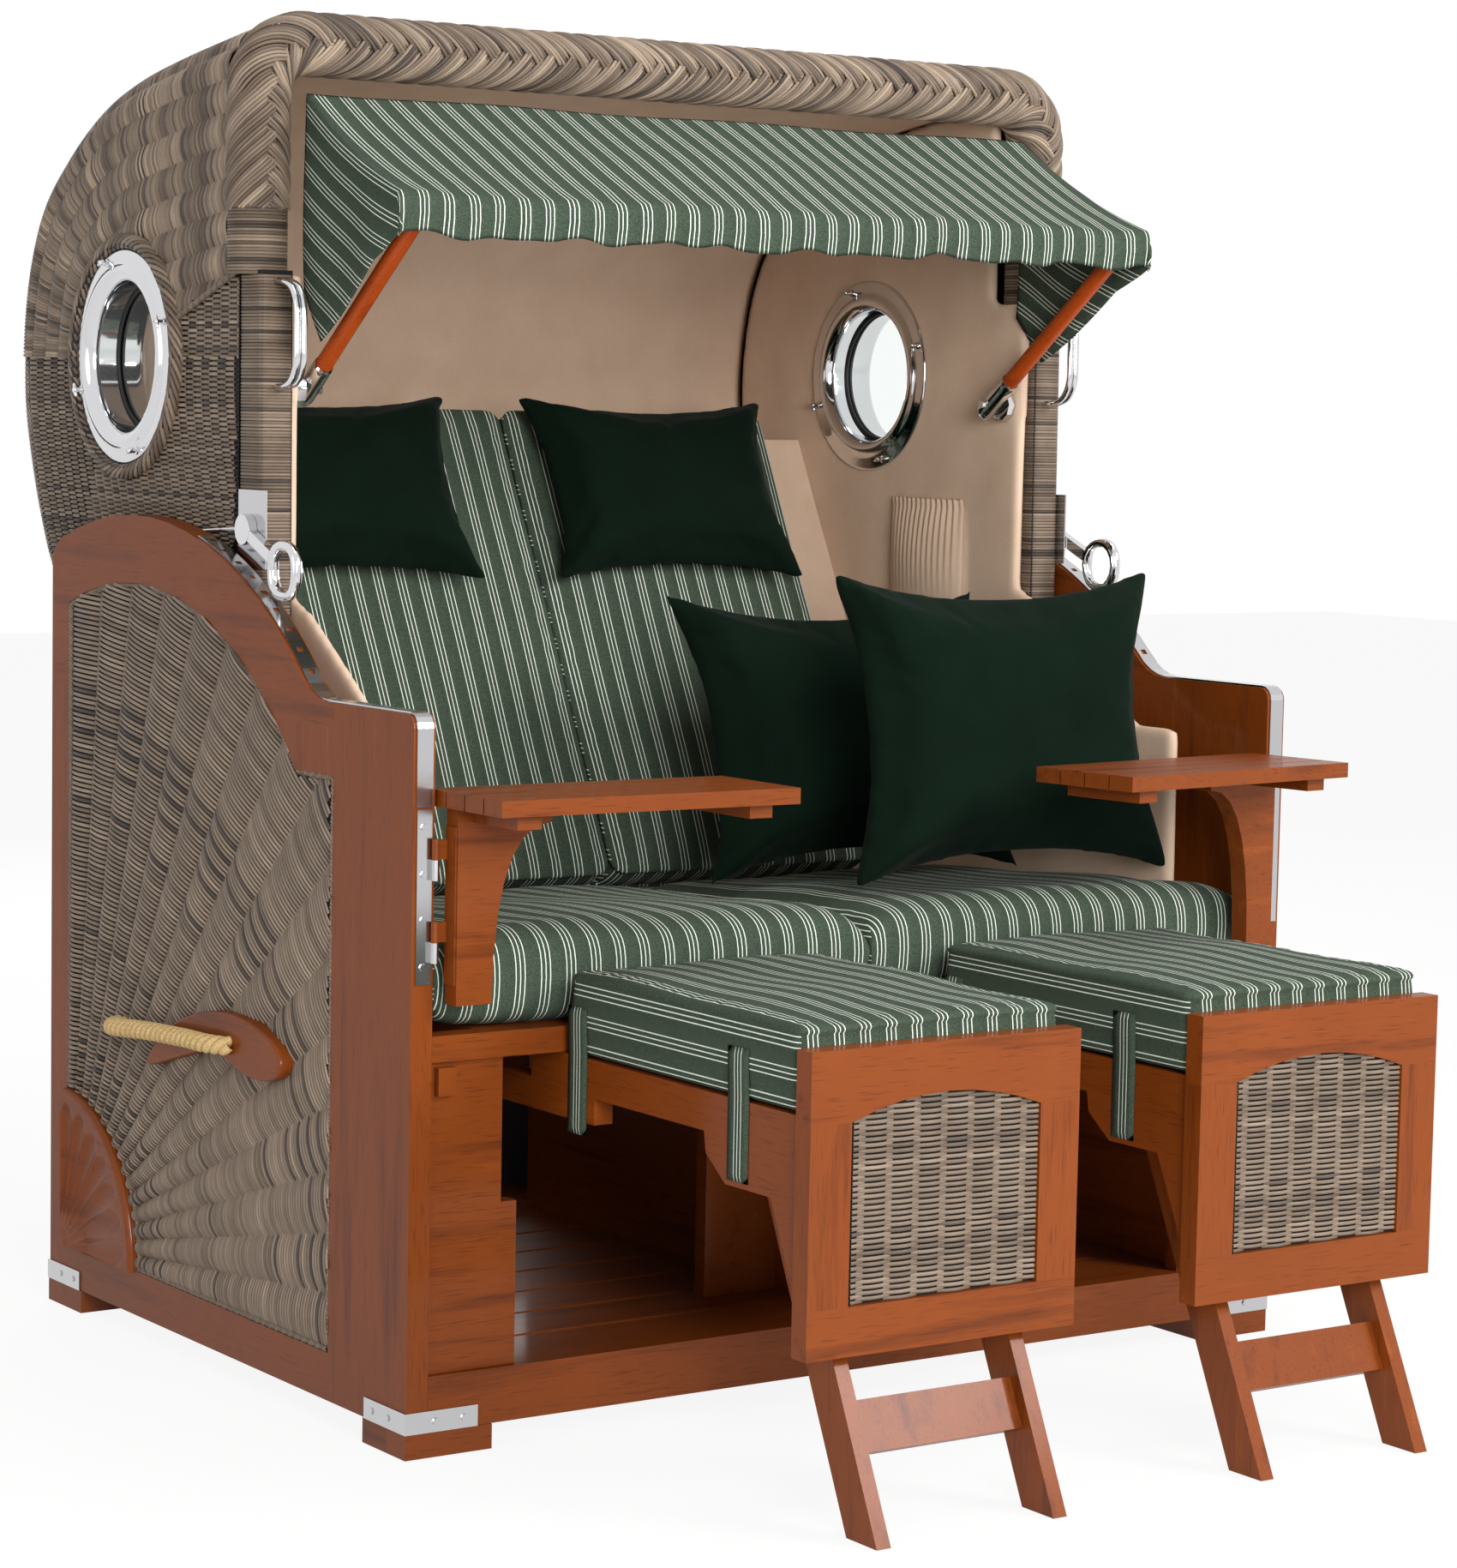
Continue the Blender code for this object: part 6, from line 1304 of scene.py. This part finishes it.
def awning(striped, arm_wood, steel):
    """Two round arms in steel sockets, a bar between them, and the cloth from the bow over the bar."""
    start, end = Vector((0, 0.18, 1.163)), Vector((0, -0.08, 1.362))
    along = (end - start).normalized()
    for sign, side in SIDES:
        x = Vector((sign * 0.5095, 0, 0))
        spots = np.linspace(0, (end - start).length + 0.022, 60)
        line = np.array([x + start - along * 0.016 + along * t for t in spots])
        taper = np.full(60, 0.0105)
        taper[:2], taper[-2:] = (0.0075, 0.0102), (0.0102, 0.0078)
        verts, faces = tube(line, taper, 24)
        pole = add_mesh("awning_arm_" + side, verts, capped(faces, 60, 24), arm_wood, "awning")
        line = np.array([x + start + along * t for t in np.linspace(-0.019, 0.05, 14)])
        wide = np.full(14, 0.0124)
        wide[0], wide[1], wide[-1] = 0.0102, 0.0120, 0.0115
        verts, faces = tube(line, wide, 28)
        socket = add_mesh("awning_socket_" + side, verts, capped(faces, 14, 28), steel, "awning")
        if sign > 0:
            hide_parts("awning_frame")
    line = np.array([(t, end.y, end.z) for t in np.linspace(-0.5095, 0.5095, 80)])
    verts, faces = tube(line, 0.009, 20, (0, 0, 1))
    bar = add_mesh("awning_bar", verts, capped(faces, 80, 20), arm_wood, "awning")
    # The cloth: roof, side cheeks, and a hem that falls in front of the bar and waves a little
    rows, columns = 60, 170
    v = np.linspace(0, 1.16, rows)[:, None]
    s = np.linspace(-1, 1, columns)[None, :]
    fold = 0.80
    u = np.clip(s / fold, -1, 1)
    drop = np.clip((np.abs(s) - fold) / (1 - fold), 0, 1)
    roof = np.clip(v, 0, 1)
    reach = 0.5285 + 0.016 * roof ** 0.8
    line = np.array([(0.0, 0.156, 1.5058), (0.5, 0.032, 1.4465), (0.93, -0.0765, 1.3905),
                     (0.99, -0.0905, 1.3835), (1.02, -0.0950, 1.3745), (1.08, -0.0962, 1.3580),
                     (1.16, -0.0935, 1.3370)])
    y = np.interp(v, line[:, 0], line[:, 1]) + 0 * s
    sag = 0.012 * np.sin(math.pi * roof)
    z = np.interp(v, line[:, 0], line[:, 2]) - sag * (u ** 2)
    cheek = np.interp(v, [0, 0.2, 0.45, 0.75, 1.0, 1.1, 1.16],
                      [0.23, 0.2576, 0.1886, 0.0966, 0.045, 0.012, 0.004])
    x = reach * u
    waves = np.sin(s * 41 + 1.2) * 0.6 + np.sin(s * 23 + 0.4) * 0.5 + np.sin(s * 67) * 0.3
    front = np.clip((v - 0.86) / 0.3, 0, 1)
    z = z - drop * cheek + 0.0040 * waves * front * (1 - drop) + 0.0012 * np.sin(u * 9 + v * 4) * (1 - drop)
    y = y + 0.0022 * np.sin(s * 53 + 2.0) * front * (1 - drop) + 0.0022 * front
    x = x + np.sign(s) * drop * (0.005 * np.sin(v * 9 + 1) * np.sin(drop * 3.1))
    top = np.stack([x, y, z], -1)
    normal = unit(np.cross(np.gradient(top, axis=1), np.gradient(top, axis=0)))
    normal *= np.where(normal[rows // 2, columns // 2, 2] > 0, 1, -1)
    under = top - normal * SHEET
    stripe = np.sign(s) * (reach * np.abs(u) + drop * cheek) + 0 * v
    sheet = closed_grid("awning_sheet", top[:, ::-1], under[:, ::-1], striped, "hood",
                        {"stripe": (stripe[:, ::-1], stripe[:, ::-1])})
    sheet.parent = None
    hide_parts("awning_cloth")
    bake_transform(sheet)


def capped(faces, rows, sides):
    """Tube faces with a flat cap at each end, as fans of four-cornered faces."""
    first = np.arange(sides)
    last = first + (rows - 1) * sides
    caps = []
    for ring, turn in ((first, 1), (last, -1)):
        for i in range(1, sides - 1, 2):
            k = min(i + 2, sides - 1)
            quad = [ring[0], ring[i], ring[i + 1], ring[k]]
            if len(set(quad)) == 4:
                caps.append(quad[::turn])
    return np.vstack([faces[:, ::-1], np.array(caps)[:, ::-1]])


# Carrying cheeks and rope

# The cheek's outline from its thin front end: shares of its length forwards to back and of its height
CAM_SHARES = ((0.0, 0.0), (0.233, 0.7), (0.59, 1.0), (0.9, 0.86), (1.0, 0.6), (0.97, 0.34),
              (0.785, 0.24), (0.47, 0.41))


def carrying(wood, fibre):
    """A comma-shaped cheek with a rounded edge on each side panel, and a rope bow beside it."""
    outline = [(0.332 - 0.339 * a, 0.35 + 0.09 * b) for a, b in CAM_SHARES]
    for sign, side in SIDES:
        ring = closed_curve(outline, 120)
        step = np.roll(ring, -1, 0) - np.roll(ring, 1, 0)
        inward = unit(np.stack([-step[:, 1], step[:, 0]], -1))
        spin = np.sign(np.sum(ring[:, 0] * np.roll(ring[:, 1], -1) - ring[:, 1] * np.roll(ring[:, 0], -1)))
        inward = inward * spin
        rows = []
        for inset, x in ((0.001, 0.6195), (0.0, 0.6230), (0.0, 0.6345), (0.0005, 0.6372),
                         (0.0014, 0.6388), (0.0026, 0.6397), (0.0034, 0.6399)):
            flat = ring + inward * inset
            rows.append(np.concatenate([np.full((120, 1), sign * x), flat], 1))
        faces = grid_faces(len(rows), 120, True)
        cheek = add_mesh("carrying_cheek_" + side, np.vstack(rows), faces, wood, "base")
        shell = bmesh.new()
        shell.from_mesh(cheek.data)
        rim = [e for e in shell.edges if e.is_boundary and min(abs(v.co.x) for v in e.verts) > 0.6390]
        bmesh.ops.triangle_fill(shell, edges=rim, use_beauty=True)
        bmesh.ops.recalc_face_normals(shell, faces=shell.faces)
        shell.to_mesh(cheek.data)
        shell.free()
        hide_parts("carry_handle_" + side)
        stand = ((0.0, 0.0), (0.02, 0.4), (0.06, 0.8), (0.14, 1.0), (0.4, 1.0), (0.7, 1.0), (0.87, 1.0),
                 (0.95, 0.78), (0.985, 0.5))
        points = [(sign * (0.624 + 0.0295 * b), 0.428 - 0.322 * a,
                   0.384 + 0.019 * a + 0.004 * math.sin(math.pi * a)) for a, b in stand]
        line = smooth_line(points, 260)
        rope = twisted("carrying_rope_" + side, line, 0.0056, 0.0060, 3, 0.040, fibre, "base", 95,
                       (0, 0, 1), 12)


# Carved shell

def carved_shell(wood):
    """A quarter fan in low relief: seven teardrop flutes sunk between ridges that meet at the corner.

    With r from the corner and t across the quarter turn, the flute is sunk by
    5.8 mm * |sin 14 t|^0.6, times a share that rises from 0 to 1 between 0.16 R and 0.36 R and falls to 0
    in a round end near 0.93 R.
    """
    for sign, side in SIDES:
        r = np.linspace(0.004, FAN_RADIUS, 90)[:, None]
        t = np.linspace(0, math.pi / 2, 240)[None, :]
        flute = np.abs(np.sin(14 * t))
        q = r / FAN_RADIUS
        open_ = np.clip((q - 0.16) / 0.2, 0, 1)
        end = np.clip((0.93 - q - 0.09 * (1 - flute ** 1.2)) / 0.05, 0, 1)
        depth = 0.0058 * flute ** 0.6 * open_ * end ** 0.5
        rim = 0.0015 * np.clip((1 - q) / 0.015, 0, 1) ** 0.5
        boss = 0.0022 * np.exp(-((q / 0.11) ** 4))
        x = (0.6354 - depth + rim + boss - 0.0018) * sign
        y = 0.585 - r * np.cos(t)
        z = 0.082 + r * np.sin(t)
        grid = np.stack([x + 0 * t, y, z], -1)
        wall = grid[-1:].copy()
        wall[..., 0] = sign * 0.6200
        grid = np.vstack([grid, wall])
        faces = grid_faces(91, 240)
        if sign < 0:
            faces = faces[:, ::-1]
        piece = add_mesh("carved_fan_" + side, grid.reshape(-1, 3), faces, wood, "base")


def turned_ring(name, profile, sign, material, body, centre=PORT, sides=128):
    """A closed profile of (radius, X) turned about an axis along X."""
    a = np.linspace(0, 2 * math.pi, sides, endpoint=False)
    r, x = np.array(profile).T
    verts = np.stack([np.broadcast_to(sign * x[:, None], (len(x), sides)),
                      centre[0] + r[:, None] * np.cos(a), centre[1] + r[:, None] * np.sin(a)], -1)
    spot = np.arange(sides)
    after, end = np.roll(spot, -1), (len(x) - 1) * sides
    last = np.stack([end + spot, end + after, after, spot], -1)
    faces = np.vstack([grid_faces(len(x), sides, True), last])
    area = np.sum(r * np.roll(x, -1) - x * np.roll(r, -1))
    if (area > 0) == (sign > 0):
        faces = faces[:, ::-1]
    piece = add_mesh(name, verts.reshape(-1, 3), faces, material, body)
    edge = piece.modifiers.new("edge", "EDGE_SPLIT")
    edge.split_angle = math.radians(50)
    return piece


# The portholes' flange profiles, outside and inside: radius from the axis, and X
PORT_OUTER = ((0.0890, 0.5634), (0.0950, 0.5634), (0.0950, 0.5984), (0.1305, 0.5984), (0.1305, 0.6004),
              (0.1300, 0.6015), (0.1288, 0.6022), (0.1265, 0.6025), (0.1180, 0.6027), (0.1135, 0.6032),
              (0.1118, 0.6044), (0.1102, 0.6062), (0.1080, 0.6076), (0.1050, 0.6083), (0.1018, 0.6080),
              (0.0985, 0.6066), (0.0950, 0.6042), (0.0922, 0.6012), (0.0902, 0.5978), (0.0892, 0.5940),
              (0.0890, 0.5900))
PORT_INNER = ((0.0950, 0.5597), (0.0890, 0.5597), (0.0890, 0.5420), (0.0893, 0.5375), (0.0906, 0.5330),
              (0.0928, 0.5292), (0.0960, 0.5262), (0.1000, 0.5244), (0.1040, 0.5242), (0.1075, 0.5254),
              (0.1102, 0.5274), (0.1120, 0.5290), (0.1150, 0.5297), (0.1265, 0.5299), (0.1290, 0.5303),
              (0.1302, 0.5311), (0.1305, 0.5325), (0.1305, 0.5336), (0.0950, 0.5336))


# A thumb nut's profile: radius, and height above the flange
THUMB_NUT = ((0.0, -0.001), (0.0052, -0.001), (0.0052, 0.002), (0.0030, 0.003), (0.0030, 0.007),
             (0.0036, 0.009), (0.0036, 0.011), (0.0026, 0.0125), (0.0, 0.013))
THUMB_BAR = (0.0008, 0.0019, 0.0021, 0.0021, 0.0021, 0.0021, 0.0021, 0.0019, 0.0008)


def portholes(steel):
    """Round-edged flanges outside and inside, each with four thumb nuts that have a bar across."""
    for sign, side in SIDES:
        outer = turned_ring("porthole_flange_outer_" + side, PORT_OUTER, sign, steel, "hood")
        inner = turned_ring("porthole_flange_inner_" + side, PORT_INNER, sign, steel, "hood")
        for piece, node in ((outer, "porthole_outer_"), (inner, "porthole_inner_")):
            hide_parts(node + side)
        for number, angle in enumerate((20.0, 110.0, 200.0, 290.0)):
            a = math.radians(angle)
            y, z = PORT[0] - 0.1215 * math.cos(a), PORT[1] + 0.1215 * math.sin(a)
            for face, foot, way in (("outer", 0.6024, 1), ("inner", 0.5300, -1)):
                knob = [(radius, foot + way * rise) for radius, rise in THUMB_NUT]
                nut = turned_ring(f"thumb_nut_{face}_{side}_{number}", knob, sign, steel, "hood", (y, z), 20)
                top = sign * (foot + way * 0.0095)
                bar = np.array([[top, y + math.sin(a) * s, z + math.cos(a) * s]
                                for s in np.linspace(-0.009, 0.009, len(THUMB_BAR))])
                verts, faces = tube(bar, THUMB_BAR, 10)
                wing = add_mesh(f"thumb_bar_{face}_{side}_{number}", verts, faces[:, ::-1], steel, "hood")


def bars(steel):
    """The grab bows beside the posts, and the thick D rings of the latch levers."""
    shares = ((0.0, 0.0), (0.35, 0.01), (0.75, 0.07), (0.98, 0.24), (1.0, 0.5), (0.98, 0.76), (0.75, 0.93),
              (0.35, 0.99), (0.0, 1.0))
    for sign, side in SIDES:
        path = [(sign * 0.570, 0.139 - 0.0525 * a, 1.165 + 0.123 * b) for a, b in shares]
        line = smooth_line(path, 70)
        for number, off in enumerate((-0.0043, 0.0043)):
            verts, faces = tube(line + [off, 0, 0], 0.0040, 14)
            bow = add_mesh(f"grab_bar_{side}_{number}", verts, faces[:, ::-1], steel, "hood")
            if number == 0:
                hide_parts("grab_bow_" + side)
        a = np.linspace(0, 2 * math.pi, 72)
        across, up = (np.abs(f(a)) ** 0.8 * np.sign(f(a)) for f in (np.cos, np.sin))
        ring = np.stack([np.full_like(a, sign * 0.6036), 0.058 + 0.0285 * across, 0.956 + 0.0290 * up], -1)
        verts, faces = tube(ring, 0.0063, 14)
        piece = add_mesh("latch_ring_" + side, verts, faces[:, ::-1], steel, "latch_" + side)


def gaskets(black):
    """Two rubber rings on each pane, outside and inside."""
    a = np.linspace(0, 2 * math.pi, 90)
    for sign, side in SIDES:
        for number, x in enumerate((0.5648, 0.5588)):
            verts, faces = tube(port_ring(a, sign * x, 0.0872), 0.0022, 8)
            ring = add_mesh(f"pane_seal_{side}_{number}", verts, faces[:, ::-1], black, "hood")


# Stage, camera and light

def stage_and_camera():
    """The camera fitted to the photo, a pale floor and world that look white to it, and five lamps."""
    bpy.context.scene.view_settings.view_transform = "Standard"
    right = Vector((0.82554534, -0.56400566, 0.01930034))
    down = Vector((-0.03678983, -0.0879143, -0.99544843))
    ahead = Vector((0.56313533, 0.82107776, -0.09332691))
    data = bpy.data.cameras.new("camera")
    data.lens, data.sensor_width, data.sensor_fit = 91.43, 36.0, "AUTO"
    data.clip_start, data.clip_end = 0.1, 60.0
    camera = bpy.data.objects.new("camera", data)
    turn = Matrix((right, -down, -ahead)).transposed().to_4x4()
    camera.matrix_world = Matrix.Translation((-2.75446, -3.98344, 1.14833)) @ turn
    bpy.context.scene.collection.objects.link(camera)
    bpy.context.scene.camera = camera
    s = Shader("pale_floor")
    grit = s.noise(s.coordinates(), 3.0, 2.0)
    s.set(Base_Color=s.ramp(grit, [(0.2, "eeeeec"), (0.8, "f4f4f2")]), Roughness=0.9)
    shine = s.add("Emission", {"Color": (1.0, 1.0, 1.0, 1.0), "Strength": 1.0}).outputs[0]
    rays = s.add("LightPath").outputs
    seen = s.math("MAXIMUM", rays["Is Camera Ray"], s.math("MAXIMUM", rays["Is Glossy Ray"],
                                                          rays["Is Transmission Ray"]))
    ray = s.math("MULTIPLY", seen, 0.9)
    both = s.add("MixShader", {0: ray, 1: s.surface.outputs[0], 2: shine}).outputs[0]
    s.tree.links.new(both, s.tree.nodes["Material Output"].inputs["Surface"])
    size = 14.0
    floor = add_mesh("floor", [(-size, -size, -0.001), (size, -size, -0.001), (size, size, -0.001),
                               (-size, size, -0.001)], [(0, 1, 2, 3)], s.material, None, smooth=False)
    world = bpy.context.scene.world or bpy.data.worlds.new("world")
    bpy.context.scene.world = world
    world.use_nodes = True
    tree = world.node_tree
    back = tree.nodes["Background"]
    back.inputs["Color"].default_value = (1, 1, 1, 1)
    path = tree.nodes.new("ShaderNodeLightPath")
    strength = tree.nodes.new("ShaderNodeMapRange")
    strength.inputs["To Min"].default_value = 0.42
    strength.inputs["To Max"].default_value = 1.0
    either = tree.nodes.new("ShaderNodeMath")
    either.operation = "MAXIMUM"
    every = tree.nodes.new("ShaderNodeMath")
    every.operation = "MAXIMUM"
    tree.links.new(path.outputs["Is Camera Ray"], either.inputs[0])
    tree.links.new(path.outputs["Is Glossy Ray"], either.inputs[1])
    tree.links.new(either.outputs[0], every.inputs[0])
    tree.links.new(path.outputs["Is Transmission Ray"], every.inputs[1])
    tree.links.new(every.outputs[0], strength.inputs["Value"])
    tree.links.new(strength.outputs[0], back.inputs["Strength"])
    lights = (("key", (2.4, -4.2, 3.0), 2.0, 190.0, (0, 0, 0.8)),
              ("front", (-1.7, -5.0, 1.9), 2.2, 210.0, (0.1, 0, 1.0)),
              ("fill", (-4.8, -0.6, 1.9), 2.4, 22.0, (0, 0, 0.8)),
              ("top", (0.2, -0.8, 4.6), 2.4, 45.0, (0, 0.1, 0.6)),
              ("rear", (2.0, 4.5, 2.6), 2.6, 80.0, (0, 0, 0.8)))
    for name, spot, wide, power, aim in lights:
        lamp = bpy.data.lights.new(name, "AREA")
        lamp.shape, lamp.size, lamp.energy = "DISK", wide, power
        holder = bpy.data.objects.new(name, lamp)
        holder.location = spot
        holder.rotation_euler = (Vector(aim) - Vector(spot)).to_track_quat("-Z", "Y").to_euler()
        bpy.context.scene.collection.objects.link(holder)


def coat(node, material, bevel=0.0):
    """A better finish on a CAD node, and edges rounded by the bevel's width."""
    piece = NODES[node]
    piece.data.materials.clear()
    piece.data.materials.append(material)
    if bevel:
        edge = piece.modifiers.new("edge", "BEVEL")
        edge.width, edge.segments = bevel, 2
        edge.limit_method, edge.angle_limit = "ANGLE", math.radians(40)
        edge.harden_normals = False


def build():
    """Finishes for the frame's nodes, then every modelled piece in its order."""
    stage_and_camera()
    steel = chrome("polished_stainless")
    rough_steel = chrome("pressed_stainless", "c4c4c6", 0.14)
    side_wood = mahogany("side_mahogany", "Z", [("Y", within((1, -0.101, 0.584), (2, -0.1, 0.0835))),
                                                ("Y", within((1, -0.101, 0.9), (2, 0.79, 1.2))),
                                                ("Y", within((0, 0.5, 0.6075), (2, 0.33, 0.43)))])
    long_wood = mahogany("cross_mahogany", "X", [("Y", within((1, -0.24, 0.58), (2, -0.1, 1.2))),
                                                 ("Z", within((0, 0.548, 0.7), (2, 0.09, 0.23)))])
    seat_wood = mahogany("seat_mahogany", "X", [("Y", within((1, -0.24, 0.9)))])
    slat_wood = mahogany("slat_mahogany", "X")
    upright_wood = mahogany("leg_mahogany", "Z")
    cheek_wood = mahogany("cheek_mahogany", "Y")
    rest_wood = mahogany("footrest_mahogany", "X", [("Z", within((1, -0.9, -0.7335), (2, 0.239, 0.43))),
                                                    ("Y", within((0, 0.40, 0.44), (1, -0.7335, 0.4))),
                                                    ("Y", within((0, 0.08, 0.115), (1, -0.7335, 0.4)))])
    arm_wood = mahogany("awning_mahogany", "Y", tint="a8440f", deep="7c2d0a", pale="c65a1c")
    striped = striped_cloth("striped_cloth")
    striped_sheet = striped_cloth("striped_awning_cloth", "attribute")
    green = plain_cloth("dark_green_cloth", "05100a", "0c1c12", 0.02)
    beige = plain_cloth("beige_lining", "c9ab92", "e2c9b2", 0.0, 0.3)
    webbing = striped_cloth("striped_webbing", "attribute")
    glass = clear_glass("clear_pane")
    black = rubber("black_seal")
    fibre = rope_fibre("natural_rope")
    mirrored = (("side_frame_", side_wood, 0.0022), ("side_wicker_", CORE, 0), ("footrest_wicker_", CORE, 0),
                ("footrest_frame_", rest_wood, 0.0022), ("footrest_legs_", upright_wood, 0.0018),
                ("table_", slat_wood, 0.0015), ("locking_rail_", rough_steel, 0.0006),
                ("hinge_post_leaf_", rough_steel, 0.0005), ("latch_plate_", rough_steel, 0.0005),
                ("latch_lever_", steel, 0.0008), ("pivot_bolt_", steel, 0.0006),
                ("awning_pivot_", steel, 0.0008), ("porthole_glass_", glass, 0),
                ("corner_bracket_front_", rough_steel, 0.0005), ("corner_bracket_rear_", rough_steel, 0.0005))
    for side in ("left", "right"):
        for node, material, bevel in mirrored:
            coat(node + side, material, bevel)
    for node, material, bevel in (("base_frame", long_wood, 0.0022), ("seat_frame", seat_wood, 0.0022),
                                  ("seat_deck", slat_wood, 0.0015), ("floor_deck", slat_wood, 0.0015),
                                  ("backrest_board", beige, 0), ("rear_wicker", CORE, 0),
                                  ("hood_wicker", CORE, 0)):
        coat(node, material, bevel)
    for sign, side in SIDES:
        panel_weave(sign, side)
        post = post_wrap(sign, side)
        collar(sign, side)
        post_core(sign, side)
        wreath(sign, side)
        shape = rest_outline(0.0005) * np.array([sign, 1.0])
        low_x, high_x = (0.137, 0.383) if sign > 0 else (-0.383, -0.137)
        flat_weave("footrest_strands_" + side, (low_x, 0.24), (high_x, 0.455), -0.7535, -1, 0.0350,
                   0.0026, 56, "footrest_" + side, shape)
    flat_weave("rear_strands", (-0.547, 0.091), (0.547, 0.229), 0.6265, 1, 0.035, 0.0026, 57, "base")
    core = bow_core()
    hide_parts("hood_bow")
    braid()
    hood_weave()
    seam_binding()
    back_and_pillows(striped, green)
    seat_pads(striped)
    rest_pads(striped, webbing)
    lining(beige)
    awning(striped_sheet, arm_wood, steel)
    carrying(cheek_wood, fibre)
    carved_shell(cheek_wood)
    gaskets(black)
    portholes(steel)
    bars(steel)


build()
